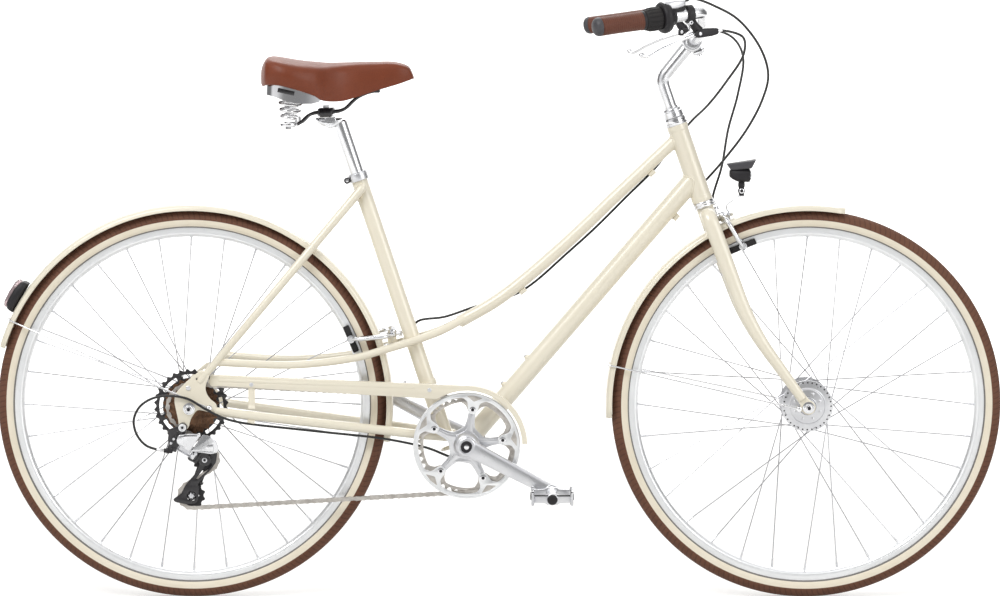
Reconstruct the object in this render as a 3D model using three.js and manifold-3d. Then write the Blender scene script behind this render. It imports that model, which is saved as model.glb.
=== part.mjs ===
import * as THREE from "three";
import { mergeVertices } from "three/addons/utils/BufferGeometryUtils.js";
import Module from "manifold-3d";

// A step through bicycle in millimetres: +X forward, +Y to the rider's left, +Z up.
// The origin is on the ground, midway between the two axles. The drive side is at -Y.
const wasm = await Module();
wasm.setup();

// Whole bicycle
const wheelbase = 1100;
const tyreRadius = 349;
const clearance = 0.3;
const cutOverrun = 3;

// Wheels
const tyreWidth = 38;
const tyreSeatDepth = 30.3;
const rimHeight = 17.7;
const rimOuterRadius = tyreRadius - tyreSeatDepth;
const rimInnerRadius = rimOuterRadius - rimHeight;
const rimWidth = 24;
const rimSpokeBedWidth = 12;
const rimSlopeHeight = 6;
const spokeRadius = 1;
const spokesPerSide = 16;
const spokeLacingTurn = 67.5;
const spokeHeadSpread = 2.2;
const rimSpokeOffset = 2.5;
const axleRadius = 5;
const axleNutRadius = 8.5;
const axleNutLength = 8;
const axleEndLength = 4;
const axleConeRadius = 9;
const wheelFaces = 28;
const hubFaces = 10;

// Front hub
const frontHubWidth = 88;
const frontHubBodyRadius = 24;
const frontHubFaceRadius = 30;
const frontFlangeRadius = 46;
const frontSpokeRadius = 40;
const frontFlangeOffset = 30;
const frontFlangeThickness = 5;
const frontHubNoseRadius = 13;
const frontHubNoseLength = 8;

// Rear hub
const rearHubWidth = 124;
const rearHubBodyRadius = 15;
const rearFlangeRadius = 24;
const rearSpokeRadius = 20;
const rearFlangeOffsetDrive = 20;
const rearFlangeOffsetLeft = 34;
const rearFlangeThickness = 5;
const freehubRadius = 9;

// Frame tubes
const headLean = 71;
const headBottomBack = 187;
const headBottomHeight = 713.5;
const headTubeLength = 144;
const headTubeRadius = 18;
const headsetSleeveRadius = 14.6;
const downTubeRadius = 17.5;
const downTubeJointHeight = 44.6;
const crankReach = 492;
const crankDrop = 68;
const shellRadius = 21;
const shellWidth = 68;
const seatLean = 71.6;
const seatFootBack = 39;
const seatFootLift = 11;
const seatTubeLength = 497;
const seatTubeRadius = 14.3;
const topTubeRadius = 11.1;
const topTubeHeight = 831;
const twinStayRadius = 7;
const twinStaySpread = 24;
const seatStayRadius = 8;
const seatStayEndRadius = 6.5;
const seatStayTopLength = 469;
const seatStayTopSpread = 18;
const seatStayFootForward = 17;
const seatStayFootLift = 46;
const chainStayRadius = 8.5;
const chainStayRootSpread = 22;
const rearDropoutInner = 67.8;
const dropoutThickness = 6;
const dropoutReach = 50;
const hangerBoltBack = 11;
const hangerBoltDrop = 32;
const hangerBoltRadius = 4;
const brakeBridgeRadius = 6;
const bossRadius = 4;
const bossHeight = 7;
const bossSpacing = 64;
const tubeFaces = 10;
const shellFaces = 12;

// Headset, fork and brake bolts
const headsetRingRadius = 19.5;
const headsetUpperLength = 14;
const headsetLowerLength = 10;
const headsetRingTaper = 1.7;
const steererRadius = 12.7;
const steererBoreDepth = 110;
const locknutRadius = 18;
const locknutLength = 16;
const crownDrop = 26;
const crownRadius = 14;
const bladeSpread = 38;
const bladeTopDepth = 14.5;
const bladeTopWidth = 11;
const bladeEndRadius = 9;
const bladeBendDrop = 235;
const bladeBendOffset = 6;
const bladeEndLift = 16;
const bladeBend = 60;
const crownColumnRadius = 15.4;
const forkDropoutInner = 50;
const forkDropoutThickness = 5;
const forkDropoutRadius = 13;
const forkEyeletBack = 17;
const forkEyeletDrop = 2;
const brakeBoltRadius = 4;
const brakeBoltDrop = 36;
const brakeLayer = 6;
const brakeBoltRoot = 16;
const brakeNutRadius = 6.5;
const brakeNutLength = 6;
const bracketThickness = 2.5;

// Brake arms and pads
const brakeArmWidth = 9;
const brakeArmSpread = 37;
const brakeBossRadius = 8;
const padLength = 50;
const padHeight = 11;
const padThickness = 9;
const padGap = 2;
const frontPadReach = 62;
const frontPadOut = 22;
const rearPadReach = 73;
const rearPadOut = -6;
const rearBoltBack = 192;
const rearBoltHeight = 455;
const cableAnchorSpread = 32;
const cableAnchorRise = 15;
const cableAnchorRadius = 4.5;
const cableEndGap = 1.2;

// Stem and handlebar
const quillRadius = 11.1;
const quillInsertion = 95;
const quillRise = 86;
const stemClampForward = 342;
const stemClampHeight = 998;
const stemClampRadius = 18;
const stemClampWidth = 40;
const barRadius = 11.1;
const barClampRadius = 12.7;
const barHalfWidth = 310;
const barSweep = 182;
const barRise = 48;
const barEndInset = 6;
const barBend = 17;

// Grips, shifter and levers
const gripRadius = 16.5;
const leftGripLength = 130;
const rightGripLength = 94;
const shifterSleeveLength = 30;
const shifterSleeveRadius = 20.5;
const shifterBodyLength = 22;
const shifterBodyRadius = 27;
const shifterHousingLength = 46;
const shifterHousingHeight = 17;
const shifterHousingWidth = 30;
const leverClampWidth = 12;
const leverClampRadius = 15.5;
const leverBodyLength = 44;
const leverBodyHeight = 14;
const leverBodyWidth = 18;
const leverPivotDrop = 36;
const leverPivotForward = 18;
const leverPinRadius = 3;
const leverLength = 108;
const leverDrop = 26;
const leverWidth = 10;
const leverThickness = 6;

// Bottom bracket, cranks and pedals
const cartridgeRadius = 17;
const cartridgeLip = 3;
const spindleRadius = 8;
const crankLength = 170;
const crankDownTurn = 27.4;
const crankInner = 62;
const crankBossRadius = 17;
const crankThickness = 13;
const crankEndRadius = 13;
const crankBossWidth = 16;
const crankFlare = 12;
const pedalAxleRadius = 6;
const pedalLength = 92;
const pedalDepth = 73;
const pedalBarrelRadius = 11;
const pedalPlateHeight = 21;
const pedalPlateThickness = 4;
const pedalStandoff = 5;

// Chainring, chain and sprockets
const chainPitch = 12.7;
const chainringTeeth = 42;
const chainLine = 45;
const toothHeight = 4;
const toothRoot = 4.5;
const chainringThickness = 3;
const boltCircleRadius = 65;
const chainringBoltRadius = 4;
const chainringTabRadius = 9;
const guardRingRadius = 95.5;
const guardRingWidth = 17;
const guardRingThickness = 3;
const spiderThickness = 4;
const spiderArmWidth = 14;
const spiderHubRadius = 24;
const sprocketTeeth = [32, 24, 22, 20, 18, 16, 14];
const chainSprocket = 3;
const sprocketSpacing = 5;
const sprocketThickness = 2;
const clusterBodyRadius = 19;
const chainWidth = 8;
const chainHeight = 7;
const chainLift = 1;

// Rear derailleur
const jockeyTeeth = 11;
const jockeyThickness = 6;
const jockeyPinRadius = 3;
const upperJockeyForward = 26;
const upperJockeyDrop = 93;
const lowerJockeyForward = 1;
const lowerJockeyDrop = 159;
const cagePlateThickness = 1.6;
const cagePlateWidth = 17;
const cageInnerOffset = 5;
const knuckleRadius = 11;
const knuckleLength = 12;
const linkWidth = 24;
const linkThickness = 8;
const mountArmWidth = 16;
const mountPivotBack = 22;
const mountPivotDrop = 62;
const mountPivotOut = 78;
const linkPinRadius = 3;
const linkEyeRadius = 5.5;
const linkEyeShare = 0.42;
const linkCheek = 3.5;

// Chain guard
const chainGuardOut = 60;
const chainGuardThickness = 2.5;
const chainGuardHeight = 24;
const chainGuardRearForward = 38;
const chainGuardRearLift = 47;
const chainGuardWrapRadius = 108;
const chainGuardWrapWidth = 9;
const chainGuardLip = 10;
const chainGuardBracketForward = 110;
const chainGuardBracketWidth = 12;

// Mudguards
const mudguardRadius = 360;
const mudguardHalfWidth = 25;
const mudguardDepth = 11;
const mudguardThickness = 1.8;
const frontMudguardStart = 79.2;
const frontMudguardEnd = 183.8;
const rearMudguardStart = -10.8;
const rearMudguardEnd = 163.1;
const frontMudguardSteps = 12;
const rearMudguardSteps = 19;
const mudguardStayRadius = 1.6;
const mudguardStayStraightShare = 0.2;
const frontStayTurn = 168.4;
const rearStayTurn = 154.6;

// Saddle and seat post
const seatPostRadius = 12.7;
const seatPostInsertion = 110;
const seatPostRise = 98;
const seatBoreDepth = 180;
const seatClampHeight = 14;
const seatClampRadius = 17.5;
const seatClampEar = 9;
const seatClampBoltRadius = 3;
const saddleClampSetback = 23.2;
const saddleClampRise = 14.4;
const saddleClampLength = 28;
const saddleClampWidth = 52;
const saddleClampDepth = 16;
const postHeadDepth = 12;
const railRadius = 3.5;
const railSpread = 22;
const springRadius = 17;
const springEndRadius = 13;
const springWireRadius = 2.4;
const springTurns = 3;
const springStepsPerTurn = 8;
const springWireFaces = 5;
const springSpread = 50;
const springSetback = 64;
const springFootDrop = 17;
const springHeight = 49;
const springPlateThickness = 3;
const saddleLength = 269;
const saddleNoseReach = 156.2;
const saddleHalfWidth = 107;
const saddleBaseRise = 11;
const saddleHeight = 54;
const saddlePanThickness = 3;

// Lamps
const headlampLength = 48;
const headlampHeight = 40;
const headlampWidth = 50;
const headlampForward = 432;
const headlampRise = 762;
const headlampPinRadius = 3;
const headlampEarDrop = 10;
const bracketWidth = 14;
const bracketFork = 8;
const tailLampStep = 17.5;
const tailLampLength = 44;
const tailLampDepth = 20;
const tailLampWidth = 40;

// Cables
const cableRadius = 2.5;
const cableFaces = 8;

// Places worked out from the sizes above
const at = (x, y, z) => new THREE.Vector3(x, y, z);
const radians = THREE.MathUtils.degToRad;
const halfBase = wheelbase / 2;
const lateral = at(0, 1, 0);
const rearAxle = at(-halfBase, 0, tyreRadius);
const frontAxle = at(halfBase, 0, tyreRadius);
const crankCentre = at(crankReach - halfBase, 0, tyreRadius - crankDrop);
const steerUp = at(-Math.cos(radians(headLean)), 0, Math.sin(radians(headLean)));
const steerOut = at(Math.sin(radians(headLean)), 0, Math.cos(radians(headLean)));
const headBottom = at(halfBase - headBottomBack, 0, headBottomHeight);
const headTop = headBottom.clone().addScaledVector(steerUp, headTubeLength);
const seatUp = at(-Math.cos(radians(seatLean)), 0, Math.sin(radians(seatLean)));
const seatFoot = at(crankCentre.x - seatFootBack, 0, crankCentre.z + seatFootLift);

// A point given along the steering axis, out in front of it and to the side.
function steerPoint(along, out, side) {
  return headBottom
    .clone()
    .addScaledVector(steerUp, along)
    .addScaledVector(steerOut, out)
    .addScaledVector(lateral, side);
}

function seatPoint(along, side = 0) {
  return seatFoot.clone().addScaledVector(seatUp, along).addScaledVector(lateral, side);
}

// Solids
const mergeTolerance = 1e-4;

function solidOf(geometry) {
  const loose = geometry.index ? geometry.toNonIndexed() : geometry;
  const bare = new THREE.BufferGeometry();
  bare.setAttribute("position", loose.getAttribute("position"));
  const merged = mergeVertices(bare, mergeTolerance);
  const corners = merged.index.array;
  const kept = [];
  for (let i = 0; i < corners.length; i += 3) {
    const [a, b, c] = corners.subarray(i, i + 3);
    if (a !== b && b !== c && c !== a) kept.push(a, b, c);
  }
  const make = (triangles) =>
    new wasm.Manifold(
      new wasm.Mesh({
        numProp: 3,
        vertProperties: merged.attributes.position.array,
        triVerts: new Uint32Array(triangles),
      }),
    );
  const made = make(kept);
  return made.volume() > 0 ? made : make(kept.reverse());
}

const join = (...solids) => solids.reduce((sum, next) => sum.add(next));
const cut = (body, ...tools) => tools.reduce((rest, tool) => rest.subtract(tool), body);

function pieceOf(name, body, material) {
  const mesh = body.getMesh();
  const geometry = new THREE.BufferGeometry();
  geometry.setAttribute("position", new THREE.BufferAttribute(mesh.vertProperties, 3));
  geometry.setIndex(new THREE.BufferAttribute(mesh.triVerts, 1));
  geometry.computeVertexNormals();
  const piece = new THREE.Mesh(geometry, material);
  piece.name = name;
  return piece;
}

function placed(geometry, centre, turn = new THREE.Quaternion()) {
  geometry.applyQuaternion(turn);
  geometry.translate(centre.x, centre.y, centre.z);
  return solidOf(geometry);
}

// A round rod from start to end, which may taper.
function rod(start, end, radius, endRadius = radius, faces = tubeFaces) {
  const span = end.clone().sub(start);
  const turn = new THREE.Quaternion().setFromUnitVectors(lateral, span.clone().normalize());
  const middle = start.clone().add(end).divideScalar(2);
  return placed(new THREE.CylinderGeometry(endRadius, radius, span.length(), faces), middle, turn);
}

// The radius whose flat faces clear a round of the given radius.
const around = (radius, faces = tubeFaces) => radius / Math.cos(Math.PI / faces);

// A hole from start to end for a round pin, clear of it all the way round.
function bore(start, end, pinRadius, faces = tubeFaces) {
  const radius = around(pinRadius + clearance, faces);
  return rod(start, end, radius, radius, faces);
}

function crossBore(centre, low, high, pinRadius, faces = tubeFaces) {
  return bore(at(centre.x, low, centre.z), at(centre.x, high, centre.z), pinRadius, faces);
}

// A rod along Y through a point in the XZ plane.
function crossRod(centre, low, high, radius, faces = tubeFaces) {
  return rod(at(centre.x, low, centre.z), at(centre.x, high, centre.z), radius, radius, faces);
}

// A box whose length lies along one direction and whose width lies near another.
function bar(centre, along, across, length, width, height) {
  const x = along.clone().normalize();
  const z = x.clone().cross(across).normalize();
  const y = z.clone().cross(x);
  const turn = new THREE.Quaternion().setFromRotationMatrix(new THREE.Matrix4().makeBasis(x, y, z));
  return placed(new THREE.BoxGeometry(length, width, height), centre, turn);
}

// A flat plate in the XZ plane, between two places on Y.
function plate(outline, low, high, origin = at(0, 0, 0)) {
  const shape = new THREE.Shape(outline.map(([x, z]) => new THREE.Vector2(x, z)));
  const geometry = new THREE.ExtrudeGeometry(shape, { depth: high - low, bevelEnabled: false });
  geometry.rotateX(Math.PI / 2);
  return placed(geometry, at(origin.x, high, origin.z));
}

// A flat bar with round ends and a pin hole at each, lying across the pins' direction.
function pinnedBar(first, second, pinWay, width, radius, pinRadius) {
  const run = second.clone().sub(first);
  const length = run.length();
  const shape = new THREE.Shape();
  shape.absarc(length, 0, radius, -Math.PI / 2, Math.PI / 2);
  shape.absarc(0, 0, radius, Math.PI / 2, 1.5 * Math.PI);
  for (const x of [0, length]) {
    shape.holes.push(new THREE.Path().absarc(x, 0, pinRadius + clearance, 0, 2 * Math.PI));
  }
  const x = run.clone().normalize();
  const z = pinWay.clone().normalize();
  const basis = new THREE.Matrix4().makeBasis(x, z.clone().cross(x), z);
  const turn = new THREE.Quaternion().setFromRotationMatrix(basis);
  const geometry = new THREE.ExtrudeGeometry(shape, { depth: width, bevelEnabled: false, curveSegments: 4 });
  return placed(geometry, first.clone().addScaledVector(z, -width / 2), turn);
}

// A body of revolution about Y, from pairs of radius and place along Y.
function revolved(profile, centre = at(0, 0, 0), faces = hubFaces, turn = undefined) {
  const outline = profile.map(([radius, along]) => new THREE.Vector2(radius, along));
  return placed(new THREE.LatheGeometry(outline, faces), centre, turn);
}

const turnTo = (direction) =>
  new THREE.Quaternion().setFromUnitVectors(lateral, direction.clone().normalize());

// A bent line whose steps fall on its own points, so straight runs need none.
class BentLine extends THREE.Curve {
  constructor(points) {
    super();
    this.points = points;
  }

  get steps() {
    return this.points.length - 1;
  }

  getPointAt(share) {
    const place = share * this.steps;
    const index = Math.min(this.steps - 1, Math.floor(place));
    return this.points[index].clone().lerp(this.points[index + 1], place - index);
  }

  getTangentAt(share) {
    const index = Math.round(share * this.steps);
    const here = this.points[index];
    const before = this.points[Math.max(0, index - 1)];
    const after = this.points[Math.min(this.steps, index + 1)];
    const arriving = here.clone().sub(before).normalize();
    return arriving.add(after.clone().sub(here).normalize()).normalize();
  }
}

// A tube of one radius along a curve.
function tube(curve, steps, radius, faces = tubeFaces) {
  const corners = [];
  for (let i = 0; i < faces; i += 1) {
    const angle = (2 * Math.PI * i) / faces;
    corners.push(new THREE.Vector2(radius * Math.cos(angle), radius * Math.sin(angle)));
  }
  const shape = new THREE.Shape(corners);
  return solidOf(
    new THREE.ExtrudeGeometry(shape, { steps, bevelEnabled: false, extrudePath: curve }),
  );
}

// A closed body through rings of points, with flat ends.
function loft(rings) {
  const count = rings[0].length;
  const corners = [];
  const push = (...points) => points.forEach((p) => corners.push(p.x, p.y, p.z));
  for (let i = 0; i + 1 < rings.length; i += 1) {
    for (let j = 0; j < count; j += 1) {
      const next = (j + 1) % count;
      push(rings[i][j], rings[i][next], rings[i + 1][next]);
      push(rings[i][j], rings[i + 1][next], rings[i + 1][j]);
    }
  }
  const first = rings[0];
  const last = rings[rings.length - 1];
  for (let j = 1; j + 1 < count; j += 1) {
    push(first[0], first[j + 1], first[j]);
    push(last[0], last[j], last[j + 1]);
  }
  const geometry = new THREE.BufferGeometry();
  geometry.setAttribute("position", new THREE.Float32BufferAttribute(corners, 3));
  return solidOf(geometry);
}

// An oval ring of points round a place, square to a direction.
function oval(centre, direction, side, halfSide, halfUp, faces) {
  const t = direction.clone().normalize();
  const s = side.clone().addScaledVector(t, -side.dot(t)).normalize();
  const u = t.clone().cross(s);
  const ring = [];
  for (let i = 0; i < faces; i += 1) {
    const angle = (2 * Math.PI * (i + 0.5)) / faces;
    const point = centre.clone().addScaledVector(s, halfSide * Math.cos(angle));
    ring.push(point.addScaledVector(u, halfUp * Math.sin(angle)));
  }
  return ring;
}

// A body with an oval section that changes along a curve.
function ovalAlong(line, side, halfSideAt, halfUpAt, faces = 10) {
  const rings = [];
  const travelled = [0];
  line.points.slice(1).forEach((point, i) => travelled.push(travelled[i] + point.distanceTo(line.points[i])));
  const whole = travelled[line.steps];
  line.points.forEach((centre, i) => {
    const share = travelled[i] / whole;
    const direction = line.getTangentAt(i / line.steps);
    rings.push(oval(centre, direction, side, halfSideAt(share), halfUpAt(share), faces));
  });
  return loft(rings);
}

// A flat strip through its corners, so wide along the side and so thick across it.
function strip(corners, side, width, thickness) {
  const half = (size) => () => size * Math.SQRT1_2;
  return ovalAlong(new BentLine(corners), side, half(width), half(thickness), 4);
}

// Straight runs joined by rounded corners.
function roundedPath(corners, bend, bendSteps = 3) {
  const points = [corners[0]];
  for (let i = 1; i + 1 < corners.length; i += 1) {
    const back = corners[i - 1].clone().sub(corners[i]).setLength(bend);
    const on = corners[i + 1].clone().sub(corners[i]).setLength(bend);
    const start = corners[i].clone().add(back);
    const turn = new THREE.QuadraticBezierCurve3(start, corners[i], corners[i].clone().add(on));
    points.push(...turn.getPoints(bendSteps));
  }
  points.push(corners[corners.length - 1]);
  return new BentLine(points);
}

const bentTube = (line, radius, faces) => tube(line, line.steps, radius, faces);

const smooth = (points) => new THREE.CatmullRomCurve3(points, false, "centripetal");
const mix = THREE.MathUtils.lerp;

// Materials
const paint = (colour, roughness, metalness) =>
  new THREE.MeshStandardMaterial({ color: colour, roughness, metalness });
const cream = paint(0xefe8d4, 0.35, 0);
const polished = paint(0xd5d7da, 0.22, 1);
const satinSilver = paint(0xc4c6ca, 0.4, 1);
const blackPlastic = paint(0x1d1c1e, 0.5, 0);
const blackSteel = paint(0x242226, 0.35, 0.6);
const brownRubber = paint(0x5f4034, 0.8, 0);
const brownVinyl = paint(0x7a3b22, 0.45, 0);
const bronzeSteel = paint(0x6e4b38, 0.4, 0.8);
const blackHousing = paint(0x161616, 0.45, 0);

// Frame
const topTubeLine = smooth([
  steerPoint((topTubeHeight - headBottomHeight) / steerUp.z, 0, 0),
  at(0.394 * halfBase, 0, 0.88 * topTubeHeight),
  at(0.198 * halfBase, 0, 0.7565 * topTubeHeight),
  at(0.002 * halfBase, 0, 0.6495 * topTubeHeight),
  at(-0.13 * halfBase, 0, 0.598 * topTubeHeight),
]);

function twinStayLine(side) {
  const spread = (share) => side * twinStaySpread * share;
  return smooth([
    at(-0.1 * halfBase, spread(0.1), 0.611 * topTubeHeight),
    at(-0.194 * halfBase, spread(0.62), 0.579 * topTubeHeight),
    at(-0.3 * halfBase, spread(1.12), 0.5555 * topTubeHeight),
    at(-0.38 * halfBase, spread(1.42), 0.5405 * topTubeHeight),
    at(-0.462 * halfBase, spread(1.62), 0.5257 * topTubeHeight),
    at(-0.662 * halfBase, spread(2.08), 0.5115 * topTubeHeight),
    at(-0.915 * halfBase, spread(2.54), 0.5185 * topTubeHeight),
  ]);
}

function chainStayLine(side) {
  const dropoutMiddle = rearDropoutInner + dropoutThickness / 2;
  const spread = (share) => side * mix(chainStayRootSpread, dropoutMiddle, share);
  const lift = (share) => mix(crankCentre.z + seatFootLift, tyreRadius - 0.1 * dropoutReach, share);
  const reach = (share) => mix(crankCentre.x - shellRadius, rearAxle.x + 0.9 * dropoutReach, share);
  return smooth([
    at(reach(0), spread(0), lift(0)),
    at(reach(0.14), spread(0.24), lift(0.12)),
    at(reach(0.3), spread(0.36), lift(0.28)),
    at(reach(0.52), spread(0.54), lift(0.5)),
    at(reach(1), spread(1), lift(1)),
  ]);
}

function seatStay(side, extra = 0) {
  const top = seatPoint(seatStayTopLength, side * seatStayTopSpread);
  const foot = at(
    rearAxle.x + seatStayFootForward,
    side * (rearDropoutInner + dropoutThickness / 2),
    rearAxle.z + seatStayFootLift,
  );
  return rod(top, foot, seatStayRadius + extra, seatStayEndRadius + extra, 10);
}

function dropout(side, extra = 0) {
  const size = dropoutReach;
  const outline = [
    [-0.48 * size, 0.56 * size],
    [-0.1 * size, 0.96 * size],
    [0.44 * size, 1.4 * size],
    [0.76 * size, 1.2 * size],
    [0.58 * size, 0.84 * size],
    [0.6 * size, 0.58 * size],
    [0.74 * size, 0.34 * size],
    [0.98 * size, 0.18 * size],
    [1.0 * size, -0.2 * size],
    [0.3 * size, -0.02 * size],
    [0.16 * size, -0.2 * size],
    [0.04 * size, -0.4 * size],
    [hangerBoltBack * -0.1, -hangerBoltDrop - 0.06 * size],
    [-hangerBoltBack, -hangerBoltDrop - 0.18 * size],
    [-hangerBoltBack * 1.75, -hangerBoltDrop - 0.04 * size],
    [-hangerBoltBack * 1.7, -0.48 * size],
    [-0.48 * size, 0.02 * size],
    [-0.53 * size, 0.28 * size],
  ];
  const low = rearDropoutInner - extra;
  const high = rearDropoutInner + dropoutThickness + extra;
  return side > 0 ? plate(outline, low, high, rearAxle) : plate(outline, -high, -low, rearAxle);
}

function boss(point, direction, radius = bossRadius, height = bossHeight) {
  const end = point.clone().addScaledVector(direction.clone().normalize(), height);
  return rod(point, end, radius, radius, 6);
}

const downTubeTop = steerPoint(downTubeJointHeight, 0, 0);
const downTubeRun = downTubeTop.clone().sub(crankCentre);
const downTubeUp = at(-downTubeRun.z, 0, downTubeRun.x).normalize();
const lowBossShare = 0.195;

function downTubePoint(share, above) {
  return crankCentre.clone().addScaledVector(downTubeRun, share).addScaledVector(downTubeUp, above);
}

function headAndDownTube() {
  const sunk = downTubeRadius - bossRadius / 2;
  const solid = join(
    rod(headBottom, headTop, headTubeRadius),
    rod(crankCentre, downTubeTop, downTubeRadius),
    crossRod(crankCentre, -shellWidth / 2, shellWidth / 2, shellRadius, shellFaces),
    boss(downTubePoint(lowBossShare, sunk), downTubeUp),
    boss(downTubePoint(lowBossShare + bossSpacing / downTubeRun.length(), sunk), downTubeUp),
    boss(downTubePoint(0.88, -sunk), downTubeUp.clone().negate()),
  );
  const steererRoom = bore(
    headBottom.clone().addScaledVector(steerUp, -cutOverrun),
    headTop.clone().addScaledVector(steerUp, cutOverrun),
    headsetSleeveRadius,
    shellFaces,
  );
  const shellCut = shellWidth / 2 + cutOverrun;
  return cut(solid, steererRoom, crossBore(crankCentre, -shellCut, shellCut, cartridgeRadius, shellFaces));
}

const headTubeRoom = bore(
  headBottom.clone().addScaledVector(steerUp, -cutOverrun),
  headTop.clone().addScaledVector(steerUp, cutOverrun),
  headTubeRadius,
);
const seatTubeRoom = bore(
  seatPoint(-seatFootLift),
  seatPoint(seatTubeLength + cutOverrun),
  seatTubeRadius,
);
const downTubeRoom = bore(crankCentre, downTubeTop, downTubeRadius);
const shellRoom = crossBore(crankCentre, -shellWidth, shellWidth, shellRadius, shellFaces);

function topTube() {
  const bridgeCentre = at(-rearBoltBack, 0, rearBoltHeight);
  const bridgeReach = twinStaySpread * 1.2;
  const stopSunk = topTubeRadius - bossRadius / 2;
  const stops = [0.16, 0.76].map((share) => {
    const point = topTubeLine.getPointAt(share);
    const down = topTubeLine.getTangentAt(share).cross(lateral).normalize().negate();
    return boss(point.addScaledVector(down, stopSunk), down, bossRadius, bossHeight - bossRadius / 2);
  });
  const solid = join(
    tube(topTubeLine, 8, topTubeRadius, 8),
    tube(twinStayLine(-1), 8, twinStayRadius, 7),
    tube(twinStayLine(1), 8, twinStayRadius, 7),
    crossRod(bridgeCentre, -bridgeReach, bridgeReach, brakeBridgeRadius, 8),
    ...stops,
  );
  const mount = rod(
    at(-rearBoltBack, 0, rearBoltHeight),
    at(-rearBoltBack, 0, rearBoltHeight + brakeBoltRoot - clearance),
    brakeBossRadius,
    brakeBossRadius,
    8,
  );
  return cut(
    join(solid, mount, brakeBolt(rearBrake)),
    headTubeRoom,
    seatTubeRoom,
    seatStay(-1, clearance),
    seatStay(1, clearance),
  );
}

function seatTube() {
  const solid = join(
    rod(seatFoot, seatPoint(seatTubeLength), seatTubeRadius),
    seatStay(-1),
    seatStay(1),
  );
  const postRoom = bore(
    seatPoint(seatTubeLength - seatBoreDepth),
    seatPoint(seatTubeLength + cutOverrun),
    seatPostRadius,
  );
  return cut(
    solid,
    postRoom,
    shellRoom,
    dropout(-1, clearance),
    dropout(1, clearance),
    downTubeRoom,
  );
}

function chainStays() {
  const outer = rearDropoutInner + dropoutThickness + cutOverrun;
  const yoke = at(crankCentre.x - shellRadius - chainStayRadius, 0, crankCentre.z + seatFootLift);
  const hanger = at(rearAxle.x - hangerBoltBack, 0, rearAxle.z - hangerBoltDrop);
  const stop = chainStayLine(-1).getPointAt(0.85);
  const solid = join(
    tube(chainStayLine(-1), 6, chainStayRadius, 8),
    tube(chainStayLine(1), 6, chainStayRadius, 8),
    crossRod(yoke, -chainStayRootSpread, chainStayRootSpread, chainStayRadius, 8),
    dropout(-1),
    dropout(1),
    boss(stop.addScaledVector(at(0, 0, -1), chainStayRadius / 2), at(0, 0, -1)),
  );
  return cut(
    solid,
    shellRoom,
    seatTubeRoom,
    crossBore(rearAxle, -outer, outer, axleRadius, 6),
    crossBore(hanger, -outer, -rearDropoutInner + cutOverrun, hangerBoltRadius, 6),
    downTubeRoom,
  );
}

// Brakes: reach runs from the bolt to the pads, out runs along the bolt.
const frontBrake = {
  root: steerPoint(-brakeBoltDrop, 0, 0),
  reach: steerUp.clone().negate(),
  out: steerOut,
  padReach: frontPadReach,
  padOut: frontPadOut,
  axle: frontAxle,
  anchorSide: 1,
};
const rearBrake = {
  root: at(-rearBoltBack, 0, rearBoltHeight),
  reach: at(-1, 0, 0),
  out: at(0, 0, 1),
  padReach: rearPadReach,
  padOut: rearPadOut,
  axle: rearAxle,
  anchorSide: 1,
};

function brakePoint(brake, reach, out, side) {
  return brake.root
    .clone()
    .addScaledVector(brake.reach, reach)
    .addScaledVector(brake.out, out)
    .addScaledVector(lateral, side);
}

function brakeBolt(brake) {
  const nutStart = brakeBoltRoot + 2 * (brakeLayer + clearance);
  const nutEnd = nutStart + brakeNutLength;
  const bracketEnd = nutEnd + bracketThickness + 2 * clearance;
  const holdsBracket = brake === frontBrake;
  const end = holdsBracket ? bracketEnd + brakeNutLength : nutEnd;
  const boltRod = rod(
    brakePoint(brake, 0, 0, 0),
    brakePoint(brake, 0, end, 0),
    brakeBoltRadius,
    brakeBoltRadius,
    8,
  );
  const nutOf = (from, to) =>
    rod(brakePoint(brake, 0, from, 0), brakePoint(brake, 0, to, 0), brakeNutRadius, brakeNutRadius, 6);
  const nuts = holdsBracket
    ? join(nutOf(nutStart, nutEnd), nutOf(bracketEnd, end))
    : nutOf(nutStart, nutEnd);
  return join(boltRod, nuts);
}

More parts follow.
